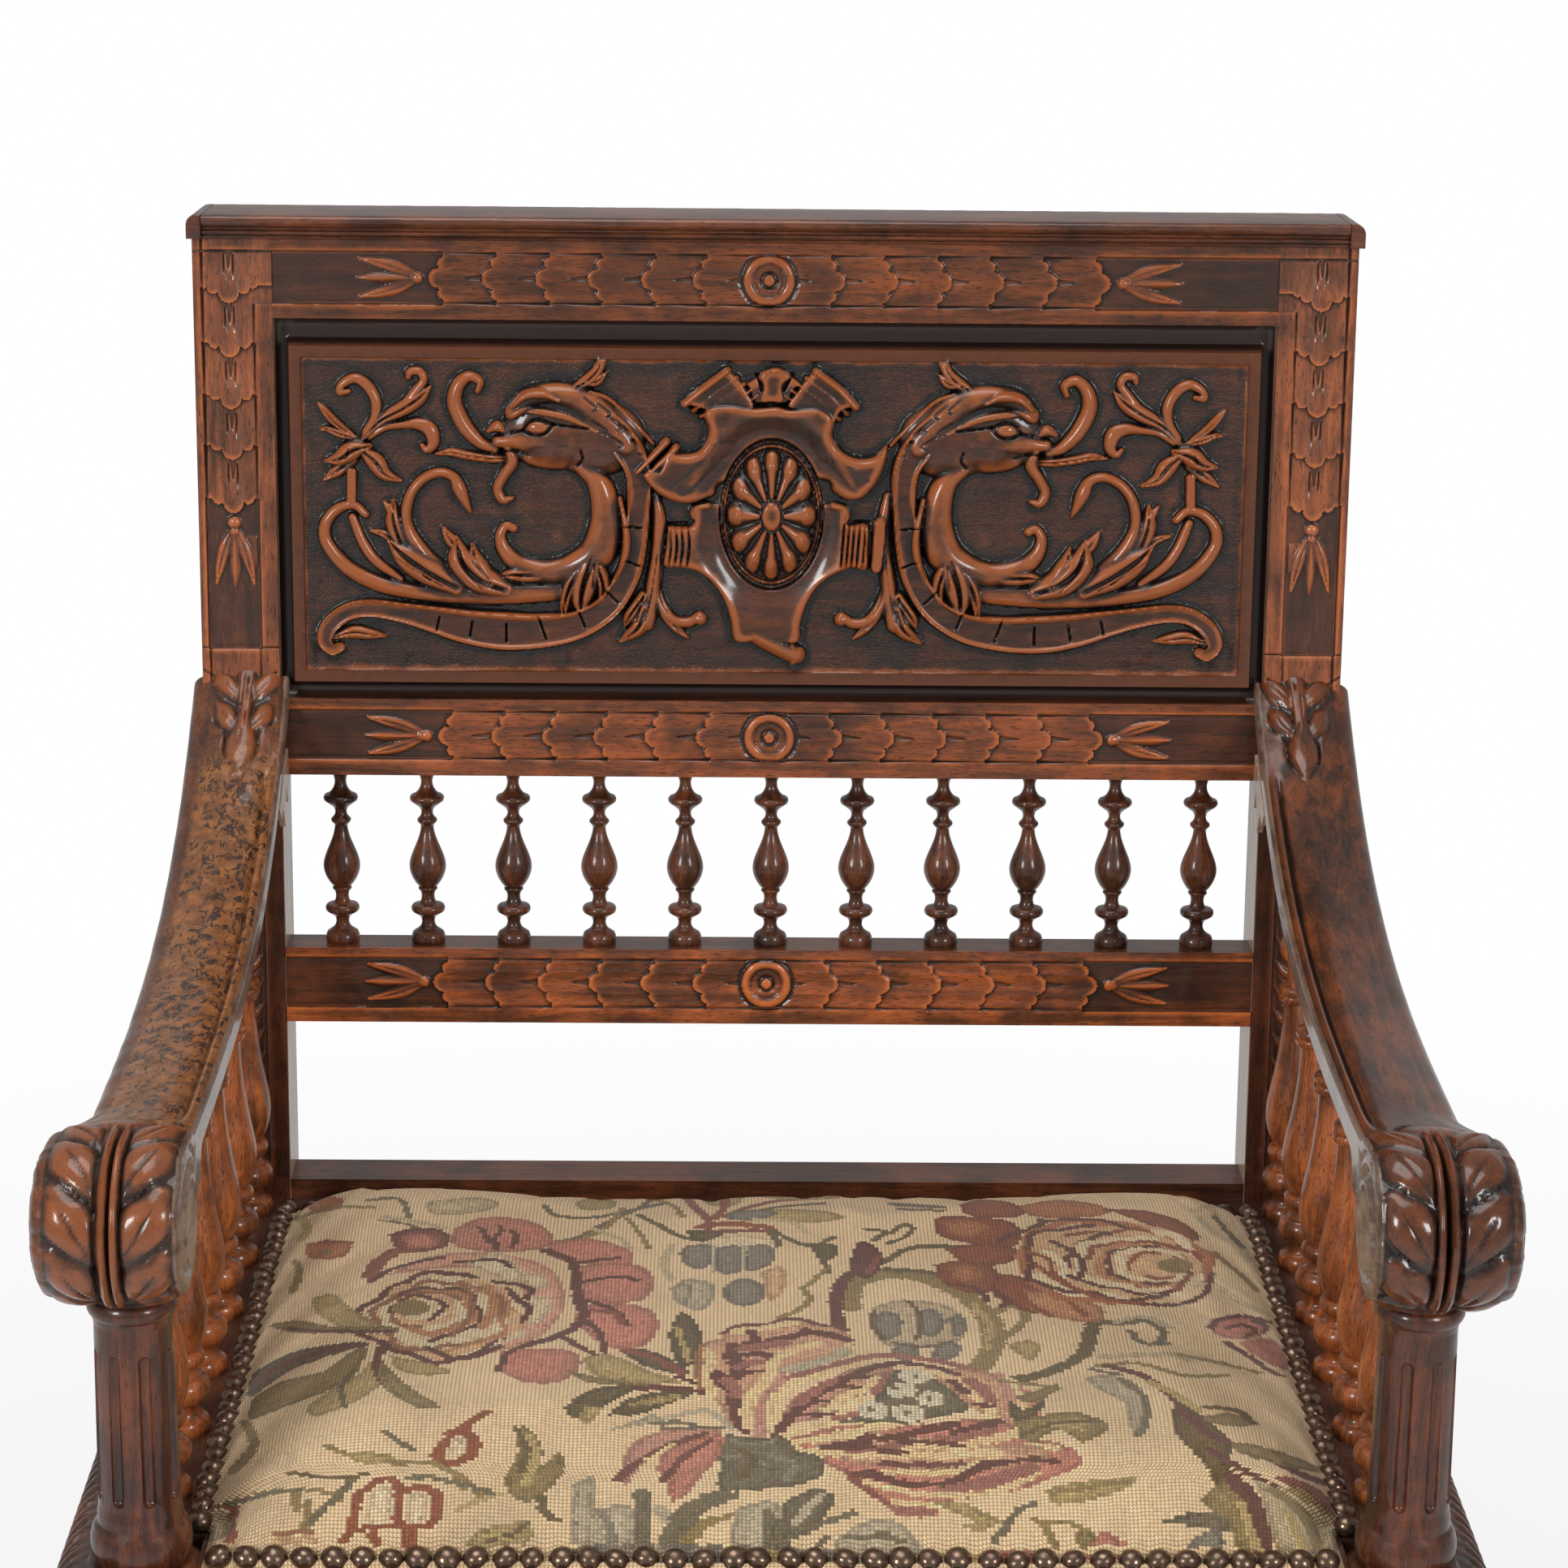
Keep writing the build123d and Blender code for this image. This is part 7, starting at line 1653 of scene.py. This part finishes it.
soiled = n.mix(n.times(n.ramp(n.noise(place, 17, 3, 0.5), 0.45, 0.75), 0.22), tone, (0.20, 0.15, 0.10, 1))
shaded = n.mix(n.times(gap, 0.85), soiled, n.mix(0.72, soiled, (0.045, 0.030, 0.020, 1)))
lively = n.mix(n.times(n.math("SUBTRACT", fibre, 0.35), 0.5, True), shaded,
               n.mix(0.5, shaded, (0.75, 0.64, 0.48, 1)))
relief = n("Bump", {"Strength": 0.75, "Distance": 0.0007,
                    "Height": n.math("ADD", n.math("ADD", loop, n.times(fibre, 0.25)),
                                     n.times(fuzz, 0.25))})
shader = n("BsdfPrincipled", {"Base Color": lively, "Roughness": 0.92, "Normal": relief,
                              "Specular IOR Level": 0.2, "Sheen Weight": 0.18, "Sheen Roughness": 0.5})
n.end(shader)
dress(seat, "needlepoint", wool_finish, "seat_cover", "seat_stuffing")

# %% [markdown]
# ## Nails
# Over a hundred domed nails run round the hem, side by side, no two quite level. A Geometry Nodes
# tree puts one dome on each place and turns it a little by chance, with a fixed seed.

# %% Places of the nails
NAIL_X, NAIL_BACK, NAIL_FRONT, NAIL_LAST_SIDE, NAIL_LAST_FRONT = 255.1, 26.0, 414.0, 379.0, 241.8
ROW, SIDE_ROW = 40, 29
spots = [(x, NAIL_FRONT) for x in np.linspace(-NAIL_LAST_FRONT, NAIL_LAST_FRONT, ROW)]
spots += [(x, NAIL_BACK) for x in np.linspace(-NAIL_X, NAIL_X, ROW + 2)[1:-1]]
spots += [(side * NAIL_X, d) for side in (-1, 1) for d in np.linspace(NAIL_BACK, NAIL_LAST_SIDE, SIDE_ROW)]
spots = np.array(spots)
spots += np.random.default_rng(8).normal(0, 0.45, spots.shape)
nail_points = np.column_stack([spots[:, 0], BACK_Y - spots[:, 1], np.full(len(spots), LEDGE_TOP + 4.2)]) * MM
lean = np.zeros_like(nail_points)
lean[:ROW, 0], lean[ROW:2 * ROW, 0] = 0.50, -0.30
lean[2 * ROW:-SIDE_ROW, 1], lean[-SIDE_ROW:, 1] = 0.10, -0.10
print("nails:", len(nail_points))


# %% A tree that puts a dome on each place
def applied(piece, tree, values):
    """Run a tree on a piece and keep the result as a plain mesh."""
    modifier = piece.modifiers.new(tree.name, "NODES")
    modifier.node_group = tree
    for item in tree.interface.items_tree:
        if item.in_out == "INPUT" and item.name in values:
            modifier[item.identifier] = values[item.name]
    depsgraph = bpy.context.evaluated_depsgraph_get()
    mesh = bpy.data.meshes.new_from_object(piece.evaluated_get(depsgraph))
    piece.modifiers.remove(modifier)
    piece.data = mesh
    return piece


domes, n, given, result = group(
    "domed nails", "Geometry Geometry, Radius Float, Rise Float, Tilt Float, Seed Int, Finish Material",
    "Geometry Geometry", "GeometryNodeTree")
ball = n("GeometryNodeMeshUVSphere", {"Segments": 16, "Rings": 10, "Radius": 1.0}).outputs["Mesh"]
size = n("CombineXYZ", {0: given["Radius"], 1: given["Radius"], 2: given["Rise"]})
dome = n("GeometryNodeTransform", {"Geometry": ball, "Scale": size})
high_turn = n("CombineXYZ", {0: given["Tilt"], 1: given["Tilt"], 2: 3.1})
low_turn = n("VectorMath", {0: high_turn, 3: -1.0}, operation="SCALE")
chance = n("FunctionNodeRandomValue", {0: low_turn, 1: high_turn, "Seed": given["Seed"]},
           data_type="FLOAT_VECTOR")
grown = n("FunctionNodeRandomValue", {2: 0.93, 3: 1.06, "Seed": given["Seed"]}).outputs[1]
leaning = n("GeometryNodeInputNamedAttribute", {"Name": "lean"}, data_type="FLOAT_VECTOR").outputs["Attribute"]
turned = n("VectorMath", {0: leaning, 1: chance})
placed = n("GeometryNodeInstanceOnPoints", {"Points": given["Geometry"], "Instance": dome, "Rotation": turned,
                                            "Scale": grown})
real = n("GeometryNodeRealizeInstances", {0: placed})
real = n("GeometryNodeSetShadeSmooth", {0: real})
n.fed(result, {0: n("GeometryNodeSetMaterial", {"Geometry": real, "Material": given["Finish"]})})

# %% Brass that has gone brown, and the nails themselves
brass = bpy.data.materials.new("aged nail brass")
n = empty(brass)
place = n("TexCoord").outputs["Object"]
age = n.ramp(n.noise(place, 260, 4, 0.6), 0.36, 0.66)
tone = n.mix(age, (0.22, 0.145, 0.10, 1), (0.115, 0.072, 0.052, 1))
gloss = n("MapRange", {0: age, 1: 0.0, 2: 1.0, 3: 0.20, 4: 0.36})
relief = n("Bump", {"Strength": 0.25, "Distance": 0.0003, "Height": n.noise(place, 700, 3, 0.6)})
n.end(n("BsdfPrincipled", {"Base Color": tone, "Metallic": 0.85, "Roughness": gloss, "Normal": relief}))
nails = make_mesh("seat_nail_row", nail_points, [])
nails.data.attributes.new("lean", "FLOAT_VECTOR", "POINT").data.foreach_set("vector", lean.astype(np.float32).ravel())
nails = applied(nails, domes, {"Radius": 0.0061, "Rise": 0.0050, "Tilt": 0.11, "Seed": 3, "Finish": brass})
dress(nails, "nail_brass", brass, "seat_nails")
print("nail faces:", len(nails.data.polygons))

# %% [markdown]
# ## Gadrooned mouldings
# The seat's edge is a rounded moulding cut into slanting lobes. It is a profile pushed along each
# side; every lobe is a swelling that repeats with the distance along, shifted with the height.

# %% The moulding's outline and its lobes
LOBE, LOBE_DEPTH, NOSE_CENTRE = 10.5, 2.4, np.array([4.0, 421.0])
swing = np.linspace(0.15, math.pi - 0.15, 13)
nose = [(4.8 + 11.2 * math.sin(t), 421.5 - 12.5 * math.cos(t)) for t in swing]
nose = np.array([(0, 409), (4.8, 409), *nose, (6, 433.9), (0, 433.9)])
nose[:, 1] -= 0.9
cut = np.array([0, 0.2] + [1.0] * 13 + [0.2, 0])
shift = np.linspace(0, 1, len(nose))


def gadroon(name, place, length, *nodes):
    """A run of moulding. place turns (along, out, z) in millimetres into points."""
    def station(s):
        phase = (s + shift * 9) / LOBE
        drop = LOBE_DEPTH * cut * (1 - np.sqrt(abs(np.sin(math.pi * phase))))

        def ring(section):
            toward = NOSE_CENTRE - section
            toward /= np.hypot(*toward.T)[:, None] + 1e-9
            p = section + toward * drop[:, None]
            return place(s, np.maximum(p[:, 0], 0), p[:, 1])
        return ring
    stations = [station(s) for s in np.linspace(-length / 2, length / 2, int(length / 1.25))]
    piece = swept(name, nose, stations, sharp=50)
    outward(piece)
    return dress(piece, "walnut", moulding_walnut, *nodes)


TURNED_SHEEN = (0.34, 0.26)
moulding_walnut = plain_walnut("walnut of the gadroons", "x", (0.055, 0.020, 0.011), (0.25, 0.088, 0.036), 0.5,
                               TURNED_SHEEN)
LEG_OUT, FRONT = 300.0, 434.0


def front_place(s, out, z):
    return np.stack([s / LEG_OUT * (LEG_OUT + out), np.full(len(out), BACK_Y - FRONT) - out, z], -1) * MM


gadroon("front_gadroons", front_place, 2 * LEG_OUT, "front_seat_moulding")
for side, node in ((-1, "left_seat_moulding"), (1, "right_seat_moulding")):
    def side_place(s, out, z, side=side):
        depth = (s / FRONT + 0.5) * (FRONT + out)
        return np.stack([side * (LEG_OUT + out), BACK_Y - depth, z], -1) * MM
    gadroon(node.replace("seat_moulding", "gadroons"), side_place, FRONT, node)
print("gadrooned on three sides")

# %% [markdown]
# ## The joiner's own pieces
# Boards, turned balusters, posts and stretchers already have their right shape in the frame, so they only take a
# finish. The grain runs along each one.

# %% Bare edges inside the stiles, where the finish has worn through to pale wood
def bare_inside(n, place, colour, height):
    """Pale, scuffed wood on the stile's faces towards the sitter."""
    x = n.math("ABSOLUTE", n("SeparateXYZ", {0: place}).outputs[0])
    inner = n.math("LESS_THAN", x, (HALF_INSIDE + 0.4) * MM)
    above = n.math("GREATER_THAN", n("SeparateXYZ", {0: place}).outputs[2], LEDGE_TOP * MM)
    rubbed = n.ramp(n.noise(n.place(place, (1, 1, 0.12)), 180, 4, 0.6), 0.30, 0.62)
    mask = n.times(n.times(inner, above), n.math("ADD", 0.45, n.times(rubbed, 0.5)))
    return n.mix(mask, colour, (0.50, 0.37, 0.28, 1)), height


stile_plain = plain_walnut("walnut of the stiles", "z", (0.06, 0.022, 0.012), (0.26, 0.088, 0.036), 0.25,
                           extra=bare_inside)
back_baluster = plain_walnut("walnut of the back balusters", "z", (0.05, 0.018, 0.010), (0.27, 0.095, 0.038), 0.5,
                             TURNED_SHEEN)
side_baluster = plain_walnut("walnut of the side balusters", "z", (0.13, 0.042, 0.015), (0.56, 0.200, 0.060), 0.45,
                             TURNED_SHEEN)
post_walnut = plain_walnut("walnut of the front legs", "z", (0.045, 0.015, 0.008), (0.24, 0.076, 0.028), 0.5,
                           (0.36, 0.28))
ledge_walnut, rail_walnut = {}, {}
for along, boards, rails in (("x", "seat boards", "plain rails"), ("y", "side boards", "side rails")):
    ledge_walnut[along] = plain_walnut("walnut of the " + boards, along, (0.05, 0.02, 0.012), (0.19, 0.085, 0.048),
                                       0.4, (0.5, 0.4))
    rail_walnut[along] = plain_walnut("walnut of the " + rails, along, (0.060, 0.022, 0.010), (0.26, 0.090, 0.034),
                                      0.45)
beech = plain_walnut("beech of the corner blocks", "x", (0.36, 0.24, 0.13), (0.56, 0.40, 0.24), 0.06, (0.65, 0.55))
webbing = plain_walnut("jute webbing", "x", (0.30, 0.20, 0.11), (0.50, 0.36, 0.21), 0.1, (0.9, 0.85))

FINISHES = (
    (stile_plain, "rear_stile"), (back_baluster, "back_baluster"), (side_baluster, "side_baluster"),
    (post_walnut, "front_leg front_foot tenon_pegs"), (ledge_walnut["x"], "back_seat_ledge front_seat_ledge"),
    (ledge_walnut["y"], "left_seat_ledge right_seat_ledge"), (beech, "corner_blocks"),
    (rail_walnut["x"], "crest_rail mid_rail lower_rail back_seat_rail front_seat_rail cross_stretcher"
                       " crest_cap carved_panel front_seat_moulding"),
    (rail_walnut["y"], "left_seat_rail right_seat_rail side_stretcher arm_left arm_right left_seat_moulding"
                       " right_seat_moulding"),
    (webbing, "seat_webbing seat_hessian seat_stuffing seat_cover seat_nails"),
)
FINISH = {start: finish for finish, starts in FINISHES for start in starts.split()}
finished = 0
for node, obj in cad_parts.items():
    match = [key for key in FINISH if node.startswith(key)]
    obj.data.materials.clear()
    obj.data.materials.append(FINISH[max(match, key=len)])
    finished += 1
print(finished, "pieces of the frame have a finish")

# %% [markdown]
# ## Floor, light and camera
# The chair stands on a pale floor in a white room. Two soft lamps beside the camera give polished
# wood and nails something to reflect, and a broad one above fills the shadows. The camera stands a
# little lower than a standing person's eyes, in front of the middle, and looks down on the seat.

# %% Floor and backdrop
# The floor turns plain white away from the chair, so that it has no horizon, and keeps the shadow.
def seen_as_white(n, glossy):
    """How far a ray sees the backdrop and not its light: fully from the camera and through glass."""
    path = n("LightPath").outputs
    seen = n.math("ADD", path["Is Camera Ray"], n.times(path["Is Glossy Ray"], glossy))
    return n.math("ADD", seen, path["Is Transmission Ray"], True)


paint = bpy.data.materials.new("pale floor")
n = empty(paint)
distance = n("VectorMath", {0: n("TexCoord").outputs["Object"]}, operation="LENGTH").outputs["Value"]
share = n("MapRange", {0: distance, 1: 0.4, 2: 2.0, 3: 0.80, 4: 1.0}, interpolation_type="SMOOTHSTEP")
matt = n("BsdfPrincipled", {"Base Color": (0.84, 0.84, 0.84, 1), "Roughness": 0.9})
white = n("Emission", {"Color": (1, 1, 1, 1), "Strength": 1.0})
n.end(n("MixShader", {0: n.times(seen_as_white(n, 0.4), share), 1: matt, 2: white}))
floor = make_mesh("floor", [(-6, -6, 0), (6, -6, 0), (6, 6, 0), (-6, 6, 0)], [(0, 1, 2, 3)])
floor.data.materials.append(paint)

world = bpy.data.worlds.new("studio")
n = empty(world)
room = n("Background", {"Color": (1.0, 0.99, 0.98, 1), "Strength": 0.28})
back = n("Background", {"Color": (1, 1, 1, 1), "Strength": 1.0})
n.end(n("MixShader", {0: seen_as_white(n, 0.15), 1: room, 2: back}), "OutputWorld")
bpy.context.scene.world = world
print("floor and world are white to the camera")


# %% Lamps
def lamp(name, place, aim, size, power, colour=(1, 1, 1)):
    """A soft rectangular lamp that points at a place."""
    light = bpy.data.lights.new(name, "AREA")
    light.shape = "RECTANGLE"
    light.size, light.size_y = size
    light.energy = power
    light.color = colour
    obj = bpy.data.objects.new(name, light)
    obj.location = place
    obj.rotation_euler = (Vector(aim) - Vector(place)).to_track_quat("-Z", "Y").to_euler()
    bpy.context.scene.collection.objects.link(obj)
    return obj


lamp("left lamp", (-1.35, -1.75, 1.45), (0, 0, 0.6), (0.45, 0.6), 20)
lamp("right lamp", (1.35, -1.75, 1.45), (0, 0, 0.6), (0.45, 0.6), 16)
lamp("top lamp", (-0.2, -0.2, 2.7), (0, 0, 0.6), (1.5, 1.3), 22)

# %% Camera
DIP, YAW, ROLL = 0.2922, 0.0142, 0.0106
ahead = Vector((math.sin(YAW) * math.cos(DIP), math.cos(YAW) * math.cos(DIP), -math.sin(DIP)))
level = Vector((math.cos(YAW), -math.sin(YAW), 0))
above = level.cross(ahead)
turned_right = level * math.cos(ROLL) + above * math.sin(ROLL)
turned_up = above * math.cos(ROLL) - level * math.sin(ROLL)
lens = bpy.data.cameras.new("camera")
lens.sensor_fit, lens.sensor_width, lens.sensor_height = "HORIZONTAL", 36.0, 36.0
lens.lens = 91.605
camera = bpy.data.objects.new("camera", lens)
turn = Matrix((turned_right, turned_up, -ahead)).transposed().to_4x4()
camera.matrix_world = Matrix.Translation((-0.0219, -1.79031, 1.2629)) @ turn
bpy.context.scene.collection.objects.link(camera)
bpy.context.scene.camera = camera
bpy.context.scene.view_settings.view_transform = "Standard"
print("camera at", [round(v, 3) for v in camera.location])
